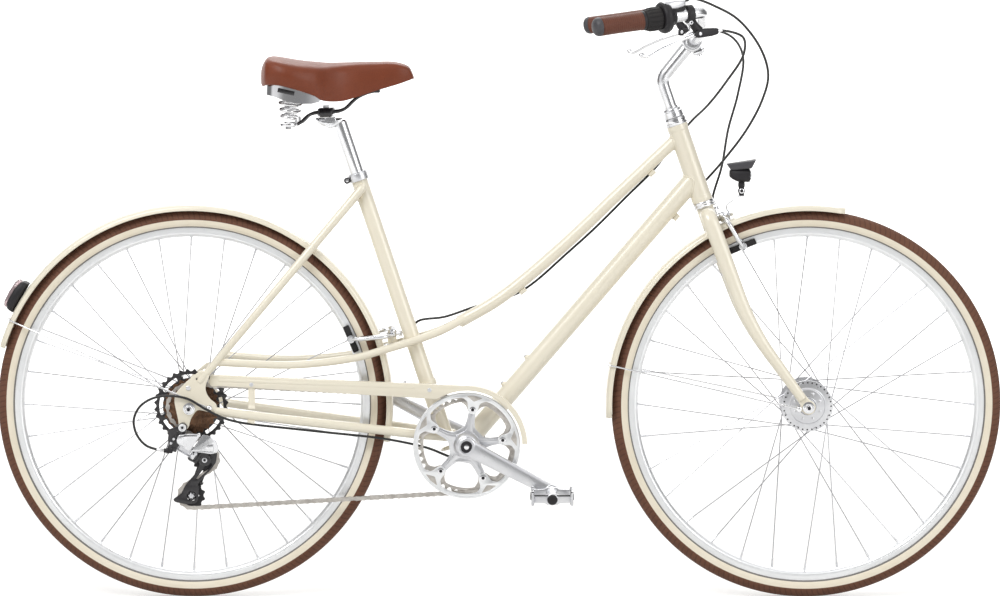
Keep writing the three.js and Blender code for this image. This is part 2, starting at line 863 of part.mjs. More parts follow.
function brakeArm(brake, side) {
  const layer = side === brake.anchorSide ? 1 : 0;
  const low = brakeBoltRoot + layer * (brakeLayer + clearance);
  const middle = low + brakeLayer / 2;
  const padCentre = rimWidth / 2 + padGap + padThickness / 2;
  const armEnd = side * (padCentre + 0.6 * padThickness);
  const shoulder = side * brakeArmSpread;
  const padPlace = brakeBoltRoot + brakeLayer / 2 + brake.padOut;
  const corners = [
    brakePoint(brake, 0, middle, 0),
    brakePoint(brake, 0.12 * brake.padReach, middle, shoulder),
    brakePoint(brake, 0.75 * brake.padReach, mix(middle, padPlace, 0.6), shoulder),
    brakePoint(brake, brake.padReach, padPlace, armEnd),
  ];
  const arm = join(
    strip(corners, brake.out, brakeLayer, brakeArmWidth),
    rod(
      brakePoint(brake, 0, low, 0),
      brakePoint(brake, 0, low + brakeLayer, 0),
      brakeBossRadius,
      brakeBossRadius,
      8,
    ),
  );
  const pad = brakePoint(brake, brake.padReach, padPlace, side * padCentre);
  const spokeWay = pad.clone().sub(brake.axle).setY(0);
  const tangent = at(-spokeWay.z, 0, spokeWay.x);
  const padBlock = bar(pad, tangent, lateral, padLength, padThickness, padHeight);
  const parts = [arm, padBlock];
  if (side !== brake.anchorSide) {
    const end = brakePoint(brake, -cableAnchorRise, middle, brake.anchorSide * cableAnchorSpread);
    const from = brakePoint(brake, 0, middle, 0);
    const run = end.clone().sub(from);
    const centre = end.clone().add(from).divideScalar(2);
    parts.push(bar(centre, run, run.clone().cross(brake.out), run.length(), brakeArmWidth, brakeLayer));
    parts.push(
      rod(
        end.clone().addScaledVector(brake.reach, -cableAnchorRadius),
        end.clone().addScaledVector(brake.reach, cableAnchorRadius),
        cableAnchorRadius,
        cableAnchorRadius,
        8,
      ),
    );
  }
  const hole = bore(
    brakePoint(brake, 0, 0, 0),
    brakePoint(brake, 0, brakeBoltRoot + 3 * brakeLayer, 0),
    brakeBoltRadius,
    8,
  );
  const otherLayer = brakeBoltRoot + (1 - layer) * (brakeLayer + clearance);
  const otherRoom = bore(
    brakePoint(brake, 0, otherLayer - (layer ? brakeLayer : clearance), 0),
    brakePoint(brake, 0, otherLayer + brakeLayer + (layer ? clearance : brakeLayer), 0),
    brakeBossRadius + clearance,
    8,
  );
  return cut(join(...parts), hole, otherRoom);
}

// Headset and fork
function headset() {
  const inner = around(steererRadius + clearance, hubFaces);
  const lowEnd = -clearance - headsetLowerLength;
  const highEnd = headTubeLength + clearance + headsetUpperLength;
  const profile = [
    [inner, lowEnd],
    [headsetRingRadius, lowEnd],
    [headsetRingRadius, -clearance],
    [headsetSleeveRadius, -clearance],
    [headsetSleeveRadius, headTubeLength + clearance],
    [headsetRingRadius, headTubeLength + clearance],
    [headsetRingRadius - headsetRingTaper, highEnd],
    [inner, highEnd],
    [inner, lowEnd],
  ];
  return revolved(profile, headBottom, hubFaces, turnTo(steerUp));
}

const bladeLine = (side) =>
  roundedPath(
    [
      steerPoint(-crownDrop, 0, side * bladeSpread),
      steerPoint(-bladeBendDrop, bladeBendOffset, side * mix(bladeSpread, forkDropoutInner, 0.55)),
      bladeEnd(side),
    ],
    bladeBend,
  );

function bladeEnd(side) {
  const dropoutY = side * (forkDropoutInner + forkDropoutThickness / 2);
  const bend = steerPoint(-bladeBendDrop, bladeBendOffset, dropoutY);
  const axle = at(frontAxle.x, dropoutY, frontAxle.z);
  return axle.clone().add(bend.sub(axle).setLength(bladeEndLift));
}

// The fork end seen from the side: a neck up to the blade, a round lug and the mudguard's eyelet.
function forkTipOutline(neckTop) {
  const reach = Math.hypot(neckTop.x - frontAxle.x, neckTop.z - frontAxle.z);
  const lift = Math.atan2(neckTop.z - frontAxle.z, neckTop.x - frontAxle.x);
  const eyeTurn = Math.atan2(-forkEyeletDrop, -forkEyeletBack);
  const outline = [];
  const turnOn = (turn, radius) => outline.push([radius * Math.cos(turn), radius * Math.sin(turn)]);
  turnOn(lift - radians(24), 1.48 * reach);
  turnOn(lift + radians(24), 1.48 * reach);
  turnOn(mix(lift, eyeTurn + 2 * Math.PI, 0.72), 1.05 * forkDropoutRadius);
  turnOn(eyeTurn - radians(10), 1.25 * forkEyeletBack);
  turnOn(eyeTurn + radians(10), 1.25 * forkEyeletBack);
  const lugSteps = 6;
  for (let i = 0; i <= lugSteps; i += 1) {
    turnOn(mix(eyeTurn + radians(24), lift - radians(48), i / lugSteps), forkDropoutRadius);
  }
  return outline;
}

function fork() {
  const crownBottom = steerPoint(-crownDrop - crownRadius, 0, 0);
  const steererTop = headTubeLength + headsetUpperLength + 2 * clearance + locknutLength;
  const sinkUnder = headsetLowerLength + 2 * clearance;
  const blades = [-1, 1].map((side) =>
    ovalAlong(
      bladeLine(side),
      lateral,
      (share) => mix(bladeTopWidth, bladeEndRadius, share),
      (share) => mix(bladeTopDepth, bladeEndRadius, Math.min(1, share * 1.25)),
      8,
    ),
  );
  const tips = [-1, 1].map((side) => {
    const low = side > 0 ? forkDropoutInner : -forkDropoutInner - forkDropoutThickness;
    return plate(forkTipOutline(bladeEnd(side)), low, low + forkDropoutThickness, frontAxle);
  });
  const locknutLow = headTubeLength + clearance * 2 + headsetUpperLength;
  const solid = join(
    rod(crownBottom, steerPoint(-sinkUnder, 0, 0), crownColumnRadius, crownColumnRadius, 8),
    rod(steerPoint(-crownDrop, 0, 0), steerPoint(steererTop, 0, 0), steererRadius, steererRadius, 10),
    rod(steerPoint(locknutLow, 0, 0), steerPoint(steererTop, 0, 0), locknutRadius, locknutRadius * 0.9, 8),
    rod(
      steerPoint(-crownDrop, 0, -bladeSpread),
      steerPoint(-crownDrop, 0, bladeSpread),
      crownRadius,
      crownRadius,
      8,
    ),
    ...blades,
    ...tips,
    rod(
      steerPoint(-brakeBoltDrop, 0, 0),
      steerPoint(-brakeBoltDrop, brakeBoltRoot - clearance, 0),
      brakeBossRadius,
      brakeBossRadius,
      8,
    ),
    brakeBolt(frontBrake),
  );
  const quillRoom = bore(
    steerPoint(steererTop - steererBoreDepth, 0, 0),
    steerPoint(steererTop + cutOverrun, 0, 0),
    quillRadius,
    12,
  );
  const outer = forkDropoutInner + forkDropoutThickness + cutOverrun;
  return cut(solid, quillRoom, crossBore(frontAxle, -outer, outer, axleRadius, 6));
}

// Stem and handlebar
const clampCentre = at(stemClampForward, 0, stemClampHeight);

function stem() {
  const steererTop = headTubeLength + headsetUpperLength + 2 * clearance + locknutLength;
  const knee = steerPoint(headTubeLength + quillRise, 0, 0);
  const line = roundedPath(
    [steerPoint(steererTop - quillInsertion, 0, 0), knee, clampCentre],
    quillRadius * 1.6,
  );
  const halfClamp = stemClampWidth / 2;
  const boltDown = clampCentre.clone().add(at(0.6 * stemClampRadius, 0, -0.95 * stemClampRadius));
  const solid = join(
    ovalAlong(
      line,
      lateral,
      (share) => (share < 0.6 ? quillRadius : mix(quillRadius, 1.25 * quillRadius, share)),
      (share) => (share < 0.6 ? quillRadius : mix(quillRadius, 1.1 * quillRadius, share)),
      12,
    ),
    crossRod(clampCentre, -halfClamp, halfClamp, stemClampRadius, 12),
    bar(boltDown, at(1, 0, 0.4), lateral, 1.1 * stemClampRadius, 0.5 * stemClampWidth, 0.7 * stemClampRadius),
  );
  const clampCut = halfClamp + cutOverrun;
  return cut(solid, crossBore(clampCentre, -clampCut, clampCut, barClampRadius, 12));
}

const barPlace = (side, sweepShare, spreadShare, riseShare) =>
  at(
    stemClampForward + sweepShare * barSweep,
    side * spreadShare * barHalfWidth,
    stemClampHeight + riseShare * barRise,
  );
const barEnd = (side) => barPlace(side, -1, 1, 0.54);
const barElbow = (side) => barPlace(side, 0.02, 0.735, 1.08);
const barAlong = (side) => barElbow(side).sub(barEnd(side)).normalize();
// A point on the straight part of the bar, measured inwards from the grip's end.
const gripPoint = (side, inward) => barEnd(side).addScaledVector(barAlong(side), inward);

function handlebarLine() {
  const half = (side) => [
    gripPoint(side, barEndInset),
    barElbow(side),
    barPlace(side, 0.07, 0.34, 0.42),
    barPlace(side, 0, 0.08, 0),
  ];
  return roundedPath([...half(-1), ...half(1).reverse()], barBend, 2);
}

function handlebar() {
  const halfClamp = stemClampWidth / 2 + cutOverrun;
  const bulge = revolved(
    [
      [0, -2 * halfClamp],
      [barRadius - clearance, -2 * halfClamp],
      [barClampRadius, -halfClamp],
      [barClampRadius, halfClamp],
      [barRadius - clearance, 2 * halfClamp],
      [0, 2 * halfClamp],
    ],
    clampCentre,
    12,
  );
  return join(bentTube(handlebarLine(), barRadius, 8), bulge);
}

// A hollow body of revolution round the straight part of the bar.
const sleeveFaces = 10;
const sleeveBore = around(barRadius + clearance, sleeveFaces);
const barSleeve = (side, profile) => revolved(profile, barEnd(side), sleeveFaces, turnTo(barAlong(side)));

function grip(side, length) {
  return barSleeve(side, [
    [0, 0],
    [0.6 * gripRadius, 0],
    [0.93 * gripRadius, 0.2 * gripRadius],
    [gripRadius, 0.55 * gripRadius],
    [0.95 * gripRadius, 0.5 * length],
    [gripRadius, length],
    [sleeveBore, length],
    [sleeveBore, barEndInset - clearance],
    [0, barEndInset - clearance],
  ]);
}

function shifterSleeve() {
  const start = rightGripLength + clearance;
  const end = start + shifterSleeveLength;
  return barSleeve(-1, [
    [sleeveBore, start],
    [0.86 * shifterSleeveRadius, start],
    [shifterSleeveRadius, mix(start, end, 0.3)],
    [shifterSleeveRadius, end],
    [sleeveBore, end],
    [sleeveBore, start],
  ]);
}

function shifterBody() {
  const start = rightGripLength + shifterSleeveLength + 2 * clearance;
  const end = start + shifterBodyLength;
  const body = barSleeve(-1, [
    [sleeveBore, start],
    [0.85 * shifterBodyRadius, start],
    [shifterBodyRadius, mix(start, end, 0.3)],
    [0.9 * shifterBodyRadius, mix(start, end, 0.7)],
    [0.6 * shifterBodyRadius, end],
    [sleeveBore, end],
    [sleeveBore, start],
  ]);
  const lift = barRadius + clearance + shifterHousingHeight / 2;
  const middle = start + shifterHousingLength / 2;
  const centre = gripPoint(-1, middle).add(at(0, 0, lift));
  const housing = bar(
    centre,
    barAlong(-1),
    at(0, 0, 1),
    shifterHousingLength,
    shifterHousingHeight,
    shifterHousingWidth,
  );
  const barrelLift = lift + 0.3 * shifterHousingHeight;
  const barrelStart = gripPoint(-1, middle + 0.45 * shifterHousingLength).add(at(0, 0, barrelLift));
  const barrelEnd = barrelStart.clone().addScaledVector(barAlong(-1), 2.2 * cableAnchorRadius);
  const barRoom = bore(
    gripPoint(-1, start - cutOverrun),
    gripPoint(-1, start + 2 * shifterHousingLength),
    barRadius,
    sleeveFaces,
  );
  const barrel = rod(barrelStart, barrelEnd, cableAnchorRadius, cableAnchorRadius, 8);
  return cut(join(body, housing, barrel), barRoom);
}

const shifterOutlet = () => {
  const start = rightGripLength + shifterSleeveLength + 2 * clearance;
  const lift = barRadius + clearance + 0.8 * shifterHousingHeight;
  const along = start + 0.95 * shifterHousingLength + 2.2 * cableAnchorRadius + clearance;
  return gripPoint(-1, along).add(at(0, 0, lift));
};

// The levers hang below the bar, inboard of the grips, with their pins square to the grip.
const leverStation =
  rightGripLength +
  shifterSleeveLength +
  shifterHousingLength +
  leverClampWidth / 2 +
  0.2 * shifterHousingHeight +
  3 * clearance;
const leverAcross = (side) => barAlong(side).cross(at(0, 0, 1)).normalize();

function leverPivot(side) {
  return gripPoint(side, leverStation + leverPivotForward).add(at(0, 0, -leverPivotDrop));
}

function leverBody(side) {
  const inner = gripPoint(side, leverStation);
  const half = leverClampWidth / 2;
  const clamp = rod(
    inner.clone().addScaledVector(barAlong(side), -half),
    inner.clone().addScaledVector(barAlong(side), half),
    leverClampRadius,
  );
  const pivot = leverPivot(side);
  const neckRun = pivot.clone().sub(inner);
  const neckCentre = inner.clone().addScaledVector(neckRun, 0.55);
  const block = bar(
    pivot.clone().addScaledVector(barAlong(side), 0.3 * leverBodyLength),
    barAlong(side),
    leverAcross(side),
    leverBodyLength,
    leverBodyWidth,
    leverBodyHeight,
  );
  const neck = bar(
    neckCentre,
    neckRun,
    leverAcross(side),
    0.8 * neckRun.length(),
    0.6 * leverBodyWidth,
    0.8 * leverBodyHeight,
  );
  const slotSize = leverThickness * 1.5 + 2 * clearance;
  const slot = bar(
    pivot.clone().addScaledVector(barAlong(side), -0.12 * leverBodyLength),
    barAlong(side),
    leverAcross(side),
    0.62 * leverBodyLength,
    slotSize,
    3 * leverBodyHeight,
  );
  const barRoom = bore(
    inner.clone().addScaledVector(barAlong(side), -leverBodyLength),
    inner.clone().addScaledVector(barAlong(side), leverBodyLength),
    barRadius,
    sleeveFaces,
  );
  const pinReach = leverBodyWidth / 2 - clearance;
  const pin = rod(
    pivot.clone().addScaledVector(leverAcross(side), -pinReach),
    pivot.clone().addScaledVector(leverAcross(side), pinReach),
    leverPinRadius,
    leverPinRadius,
    8,
  );
  return join(cut(join(clamp, block, neck), barRoom, slot), pin);
}

function brakeLever(side) {
  const pivot = leverPivot(side);
  const outward = barAlong(side).negate();
  const line = smooth([
    pivot,
    pivot.clone().addScaledVector(outward, 0.3 * leverLength).add(at(0, 0, -0.22 * leverDrop)),
    pivot.clone().addScaledVector(outward, 0.68 * leverLength).add(at(0, 0, -0.64 * leverDrop)),
    pivot.clone().addScaledVector(outward, 0.93 * leverLength).add(at(0, 0, -leverDrop)),
    pivot.clone().addScaledVector(outward, leverLength).add(at(0, 0, -0.86 * leverDrop)),
  ]);
  const across = leverAcross(side);
  const blade = ovalAlong(
    new BentLine(line.getPoints(6)),
    across,
    (share) => mix(leverThickness * 0.75, leverWidth, Math.min(1, share * 3)) * (share > 0.3 ? 0.8 : 0.75),
    () => leverThickness / 2,
    6,
  );
  const half = leverThickness * 0.75;
  const eye = rod(
    pivot.clone().addScaledVector(across, -half),
    pivot.clone().addScaledVector(across, half),
    leverPinRadius * 2,
  );
  const hole = bore(
    pivot.clone().addScaledVector(across, -leverBodyWidth),
    pivot.clone().addScaledVector(across, leverBodyWidth),
    leverPinRadius,
    8,
  );
  return cut(join(blade, eye), hole);
}

// Wheels, drawn about their own axle
const tyreSeatRadius = rimOuterRadius + clearance;

function tyre() {
  const half = tyreWidth / 2;
  const middle = tyreRadius - half;
  const reach = Math.acos((tyreSeatRadius - middle) / half);
  const profile = [];
  const steps = 6;
  for (let i = 0; i <= steps; i += 1) {
    const angle = mix(-reach, reach, i / steps);
    profile.push([middle + half * Math.cos(angle), half * Math.sin(angle)]);
  }
  profile.push(profile[0]);
  return revolved(profile, at(0, 0, 0), wheelFaces);
}

function rim() {
  const bed = rimSpokeBedWidth / 2;
  const half = rimWidth / 2;
  const slope = rimInnerRadius + rimSlopeHeight;
  const profile = [
    [rimInnerRadius, -bed],
    [slope, -half],
    [rimOuterRadius, -half],
    [rimOuterRadius, half],
    [slope, half],
    [rimInnerRadius, bed],
    [rimInnerRadius, -bed],
  ];
  return revolved(profile, at(0, 0, 0), wheelFaces);
}

// Sixteen crossed spokes a side, alternately from the flange's outer and inner face.
function spokes(holeRadius, flangeY) {
  const rods = [];
  const pitch = 360 / spokesPerSide;
  const endRadius = rimInnerRadius * Math.cos(Math.PI / wheelFaces) - clearance;
  const side = Math.sign(flangeY);
  const sideShift = side > 0 ? pitch / 2 : 0;
  for (let i = 0; i < spokesPerSide; i += 1) {
    const leading = i % 2 === 0 ? 1 : -1;
    const hubTurn = radians(i * pitch);
    const rimTurn = radians(i * pitch + leading * spokeLacingTurn + sideShift);
    const from = at(
      holeRadius * Math.cos(hubTurn),
      flangeY + leading * spokeHeadSpread,
      holeRadius * Math.sin(hubTurn),
    );
    const to = at(endRadius * Math.cos(rimTurn), side * rimSpokeOffset, endRadius * Math.sin(rimTurn));
    rods.push(rod(from, to, spokeRadius, spokeRadius, 3));
  }
  return rods;
}

function frontHub() {
  const inner = around(axleRadius + clearance, hubFaces);
  const half = frontHubWidth / 2;
  const shoulder = half - frontHubNoseLength;
  const flangeOut = frontFlangeOffset + frontFlangeThickness / 2;
  const flangeIn = frontFlangeOffset - frontFlangeThickness / 2;
  const right = [
    [inner, half],
    [frontHubNoseRadius, half],
    [frontHubNoseRadius, shoulder],
    [frontHubFaceRadius, shoulder],
    [frontFlangeRadius, flangeOut],
    [frontFlangeRadius, flangeIn],
    [frontHubBodyRadius, flangeIn - frontFlangeThickness],
  ];
  const left = right.map(([radius, along]) => [radius, -along]).reverse();
  const shell = revolved([...right, ...left, right[0]], at(0, 0, 0), hubFaces);
  return join(
    shell,
    ...spokes(frontSpokeRadius, frontFlangeOffset),
    ...spokes(frontSpokeRadius, -frontFlangeOffset),
  );
}

function rearHub() {
  const inner = around(axleRadius + clearance, hubFaces);
  const half = rearHubWidth / 2;
  const driveOut = rearFlangeOffsetDrive + rearFlangeThickness / 2;
  const leftOut = rearFlangeOffsetLeft + rearFlangeThickness / 2;
  const shell = revolved(
    [
      [inner, -half],
      [freehubRadius, -half],
      [freehubRadius, -driveOut],
      [rearFlangeRadius, -driveOut],
      [rearFlangeRadius, -driveOut + rearFlangeThickness],
      [rearHubBodyRadius, -driveOut + 2 * rearFlangeThickness],
      [rearHubBodyRadius, leftOut - 2 * rearFlangeThickness],
      [rearFlangeRadius, leftOut - rearFlangeThickness],
      [rearFlangeRadius, leftOut],
      [rearHubBodyRadius, leftOut + rearFlangeThickness],
      [rearHubBodyRadius * 0.8, half],
      [inner, half],
      [inner, -half],
    ],
    at(0, 0, 0),
    hubFaces,
  );
  return join(
    shell,
    ...spokes(rearSpokeRadius, rearFlangeOffsetLeft),
    ...spokes(rearSpokeRadius, -rearFlangeOffsetDrive),
  );
}

function axleWithNuts(hubHalf, dropoutInner, thickness) {
  const nutStart = dropoutInner + thickness + clearance;
  const end = nutStart + axleNutLength + axleEndLength;
  const origin = at(0, 0, 0);
  const mirrored = (from, to, radius, faces) => [
    crossRod(origin, from, to, radius, faces),
    crossRod(origin, -to, -from, radius, faces),
  ];
  return join(
    crossRod(origin, -end, end, axleRadius, 6),
    ...mirrored(nutStart, nutStart + axleNutLength, axleNutRadius, 6),
    ...mirrored(hubHalf + clearance, dropoutInner - clearance, axleConeRadius, 6),
  );
}

// Drivetrain
const pitchRadius = (teeth) => chainPitch / (2 * Math.sin(Math.PI / teeth));

function gearOutline(teeth, height, root) {
  const outline = [];
  const middle = pitchRadius(teeth);
  for (let i = 0; i < teeth; i += 1) {
    for (const [share, radius] of [
      [0, middle - root],
      [0.5, middle + height],
    ]) {
      const angle = (2 * Math.PI * (i + share)) / teeth;
      outline.push([radius * Math.cos(angle), radius * Math.sin(angle)]);
    }
  }
  return outline;
}

function disc(radius, low, high, faces = wheelFaces) {
  return crossRod(at(0, 0, 0), low, high, radius, faces);
}

const chainringBolts = 5;
const boltPitch = 360 / chainringBolts;

// A point in the ring's plane, along and across the spider arm with this number.
function armPoint(number, along, across) {
  const angle = radians(-crankDownTurn + boltPitch * (number + 0.5));
  return [
    along * Math.cos(angle) - across * Math.sin(angle),
    along * Math.sin(angle) + across * Math.cos(angle),
  ];
}

// An outline made of the same run of points for each spider arm.
function roundTheArms(run) {
  const outline = [];
  for (let i = 0; i < chainringBolts; i += 1) {
    outline.push(...run.map(([along, across]) => armPoint(i, along, across)));
  }
  return outline;
}

function boltPlaces() {
  return roundTheArms([[boltCircleRadius, 0]]).map(([x, z]) => at(x, 0, z));
}

// The chainring sits inboard of the spider and the guard ring outboard, bolted through it.
const ringHalf = chainringThickness / 2;
const spiderInner = chainLine + ringHalf + clearance;
const spiderOuter = spiderInner + spiderThickness;
const guardInner = spiderOuter + clearance;
const guardOuter = guardInner + guardRingThickness;

const crankHoleFaces = 5;

function chainring() {
  const ringInner = boltCircleRadius - 1.6 * chainringBoltRadius;
  const teethRing = cut(
    plate(gearOutline(chainringTeeth, toothHeight, toothRoot), -chainLine - ringHalf, -chainLine + ringHalf),
    disc(ringInner, -chainLine - chainringThickness, -chainLine + chainringThickness, 15),
  );
  const guardBore = guardRingRadius - guardRingWidth;
  const tab = chainringTabRadius;
  const tabRoot = Math.sqrt(guardBore ** 2 - tab ** 2);
  const between = [0.38, 0.62].map((share) => radians(boltPitch * share));
  const inside = roundTheArms([
    [tabRoot, -tab],
    [boltCircleRadius - tab, -0.6 * tab],
    [boltCircleRadius - tab, 0.6 * tab],
    [tabRoot, tab],
    ...between.map((turn) => [guardBore * Math.cos(turn), guardBore * Math.sin(turn)]),
  ]);
  const guard = cut(
    disc(guardRingRadius, -guardOuter, -guardInner, 24),
    plate(inside, -guardOuter - cutOverrun, -guardInner + cutOverrun),
  );
  const bolts = boltPlaces().map((place) =>
    crossRod(place, -guardOuter - ringHalf, -chainLine, chainringBoltRadius, crankHoleFaces),
  );
  return join(teethRing, guard, ...bolts);
}

function crankArm(side, extras = []) {
  const inner = side * crankInner;
  const outer = side * (crankInner + crankThickness);
  const tip = at(crankLength, side * (crankInner + crankFlare), 0);
  const tipOuter = side * (crankInner + crankFlare + crankThickness);
  const rings = [0, 0.3, 1].map((share) => {
    const half = mix(crankBossRadius, crankEndRadius, Math.min(1, 1.6 * share)) * (share === 1 ? 1 : 0.92);
    const middle = mix(inner + outer, tip.y + tipOuter, share) / 2;
    return oval(
      at(share * crankLength, middle, 0),
      at(1, 0, 0),
      lateral,
      crankThickness * 0.62,
      half,
      8,
    );
  });
  const axleEnd = side * (crankInner + crankFlare + crankThickness + pedalStandoff * 2 + pedalLength);
  return join(
    loft(rings),
    rod(at(0, side * (crankInner - cutOverrun), 0), at(0, outer, 0), crankBossRadius, crankBossRadius, 12),
    rod(tip, at(crankLength, tipOuter, 0), crankEndRadius),
    rod(tip, at(crankLength, axleEnd, 0), pedalAxleRadius, pedalAxleRadius, 8),
    ...extras,
  );
}

function rightCrank() {
  const half = spiderArmWidth / 2;
  const valley = half / Math.sin(radians(boltPitch / 2));
  const star = roundTheArms([
    [boltCircleRadius, -half],
    [boltCircleRadius + half, -0.4 * half],
    [boltCircleRadius + half, 0.4 * half],
    [boltCircleRadius, half],
    [valley * Math.cos(radians(boltPitch / 2)), half],
  ]);
  const spider = plate(star, -spiderOuter, -spiderInner);
  const hub = crossRod(at(0, 0, 0), -crankInner - cutOverrun, -spiderInner, spiderHubRadius, 12);
  const spindle = crossRod(at(0, 0, 0), -crankInner, crankInner + 0.6 * crankBossWidth, spindleRadius);
  const holes = boltPlaces().map((place) =>
    crossBore(
      place,
      -guardOuter - cutOverrun,
      -spiderInner + cutOverrun,
      chainringBoltRadius,
      crankHoleFaces,
    ),
  );
  return cut(crankArm(-1, [spider, hub, spindle]), ...holes);
}

function leftCrank() {
  const spindleRoom = crossBore(
    at(0, 0, 0),
    crankInner - 2 * cutOverrun,
    crankInner + 0.6 * crankBossWidth + clearance,
    spindleRadius,
  );
  return cut(crankArm(1), spindleRoom);
}

function pedal(side) {
  const inner = crankInner + crankFlare + crankThickness + pedalStandoff;
  const outer = inner + pedalLength;
  const span = (low, high) => (side > 0 ? [low, high] : [-high, -low]);
  const box = (x, low, high, depth, height) => {
    const [from, to] = span(low, high);
    return bar(at(x, (from + to) / 2, 0), at(1, 0, 0), lateral, depth, to - from, height);
  };
  const reach = (pedalDepth - pedalPlateThickness) / 2;
  const [from, to] = span(inner, outer);
  const solid = join(
    crossRod(at(0, 0, 0), from, to, pedalBarrelRadius),
    box(-reach, inner, outer, pedalPlateThickness, pedalPlateHeight),
    box(reach, inner, outer, pedalPlateThickness, pedalPlateHeight),
    box(0, inner + pedalStandoff, inner + 2 * pedalStandoff, pedalDepth, pedalPlateHeight * 0.7),
    box(0, outer - 2 * pedalStandoff, outer - pedalStandoff, pedalDepth, pedalPlateHeight * 0.7),
  );
  const axleDepth = pedalLength + pedalStandoff + clearance;
  const [boreFrom, boreTo] = span(inner - cutOverrun, inner + axleDepth);
  return cut(solid, crossBore(at(0, 0, 0), boreFrom, boreTo, pedalAxleRadius, 8));
}

function cartridge() {
  const half = shellWidth / 2 + clearance;
  const outer = half + cartridgeLip;
  const inner = around(spindleRadius + clearance, hubFaces);
  const lip = 0.95 * shellRadius;
  return revolved(
    [
      [inner, -outer],
      [lip, -outer],
      [lip, -half],
      [cartridgeRadius, -half],
      [cartridgeRadius, half],
      [lip, half],
      [lip, outer],
      [inner, outer],
      [inner, -outer],
    ],
    at(0, 0, 0),
    hubFaces,
  );
}

const sprocketPlace = (index) => -chainLine + (chainSprocket - index) * sprocketSpacing;

function cassette() {
  const half = sprocketThickness / 2;
  const last = sprocketTeeth.length - 1;
  const largest = plate(
    gearOutline(sprocketTeeth[0], toothHeight * 0.6, toothRoot * 0.8),
    sprocketPlace(0) - half,
    sprocketPlace(0) + half,
  );
  const others = sprocketTeeth.slice(1).map((teeth, i) =>
    disc(pitchRadius(teeth) + toothHeight / 2, sprocketPlace(i + 1) - half, sprocketPlace(i + 1) + half, hubFaces),
  );
  const body = disc(clusterBodyRadius, sprocketPlace(last) - half, sprocketPlace(0) + half, hubFaces);
  const freehubRoom = crossBore(
    at(0, 0, 0),
    sprocketPlace(last) - 2 * cutOverrun,
    sprocketPlace(0) + cutOverrun,
    freehubRadius,
  );
  return cut(join(largest, ...others, body), freehubRoom);
}

const upperJockey = at(rearAxle.x + upperJockeyForward, -chainLine, rearAxle.z - upperJockeyDrop);
const lowerJockey = at(rearAxle.x + lowerJockeyForward, -chainLine, rearAxle.z - lowerJockeyDrop);

// The chain's closed path round its wheels. A wheel with turn -1 is passed on its other side.
function chain() {
  const above = chainLift + chainHeight / 2;
  const wheel = (centre, teeth, turn, tip) => ({
    x: centre.x,
    z: centre.z,
    radius: pitchRadius(teeth) + tip + above,
    turn,
  });
  const wheels = [
    wheel(crankCentre, chainringTeeth, 1, toothHeight),
    wheel(rearAxle, sprocketTeeth[chainSprocket], 1, toothHeight / 2),
    wheel(upperJockey, jockeyTeeth, -1, toothHeight / 2),
    wheel(lowerJockey, jockeyTeeth, 1, toothHeight / 2),
  ];
  const runs = wheels.map((from, i) => {
    const to = wheels[(i + 1) % wheels.length];
    const gap = Math.hypot(to.x - from.x, to.z - from.z);
    const lean = Math.atan2(to.z - from.z, to.x - from.x);
    return lean + Math.asin((from.turn * from.radius - to.turn * to.radius) / gap);
  });
  const middle = [];
  wheels.forEach((now, i) => {
    const arrive = runs[(i + wheels.length - 1) % wheels.length];
    const leave = runs[i];
    let sweep = (leave - arrive) * now.turn;
    while (sweep < 0) sweep += 2 * Math.PI;
    const step = 2 * Math.acos(1 - chainLift / 2 / now.radius);
    const steps = Math.ceil(sweep / step);
    for (let k = 0; k <= steps; k += 1) {
      const way = arrive + (now.turn * sweep * k) / steps;
      middle.push({
        x: now.x + now.turn * now.radius * Math.sin(way),
        z: now.z - now.turn * now.radius * Math.cos(way),
        way,
      });
    }
  });
  const edge = (shift) =>
    middle.map(({ x, z, way }) => [
      x + (shift * chainHeight * Math.sin(way)) / 2,
      z - (shift * chainHeight * Math.cos(way)) / 2,
    ]);
  const low = -chainLine - chainWidth / 2;
  const high = -chainLine + chainWidth / 2;
  return cut(plate(edge(1), low, high), plate(edge(-1), low - cutOverrun, high + cutOverrun));
}

function jockeyWheel() {
  const half = jockeyThickness / 2;
  return cut(
    plate(gearOutline(jockeyTeeth, toothHeight / 2, toothRoot / 2), -half, half),
    crossBore(at(0, 0, 0), -jockeyThickness, jockeyThickness, jockeyPinRadius, 8),
  );
}

// Derailleur
const mountPivot = at(rearAxle.x - mountPivotBack, -mountPivotOut, rearAxle.z - mountPivotDrop);
const cageOuterY = chainLine + cageInnerOffset + cagePlateThickness;
const knucklePivot = at(upperJockey.x, -cageOuterY - clearance - knuckleLength / 2, upperJockey.z);
const linkRun = knucklePivot.clone().sub(mountPivot);
const linkAxis = linkRun.clone().cross(lateral).negate().normalize();

// A pin along the link's hinge, held between two cheeks that a web joins on one side of it.
function linkHolder(centre, away) {
  const eyeHalf = linkEyeShare * linkWidth;
  const cheekMiddle = eyeHalf + clearance + linkCheek / 2;
  const webStart = linkEyeRadius + 2 * clearance;
  const webEnd = webStart + linkCheek;
  const along = away.clone().normalize();
  const cheekLength = webEnd + linkEyeRadius;
  const cheeks = [-1, 1].map((end) =>
    bar(
      centre
        .clone()
        .addScaledVector(linkAxis, end * cheekMiddle)
        .addScaledVector(along, (webEnd - linkEyeRadius) / 2),
      along,
      linkAxis,
      cheekLength,
      linkCheek,
      linkThickness,
    ),
  );
  const web = bar(
    centre.clone().addScaledVector(along, (webStart + webEnd) / 2),
    along,
    linkAxis,
    linkCheek,
    2 * cheekMiddle,
    linkThickness,
  );
  const pin = rod(
    centre.clone().addScaledVector(linkAxis, -cheekMiddle),
    centre.clone().addScaledVector(linkAxis, cheekMiddle),
    linkPinRadius,
    linkPinRadius,
    8,
  );
  return join(pin, web, ...cheeks);
}

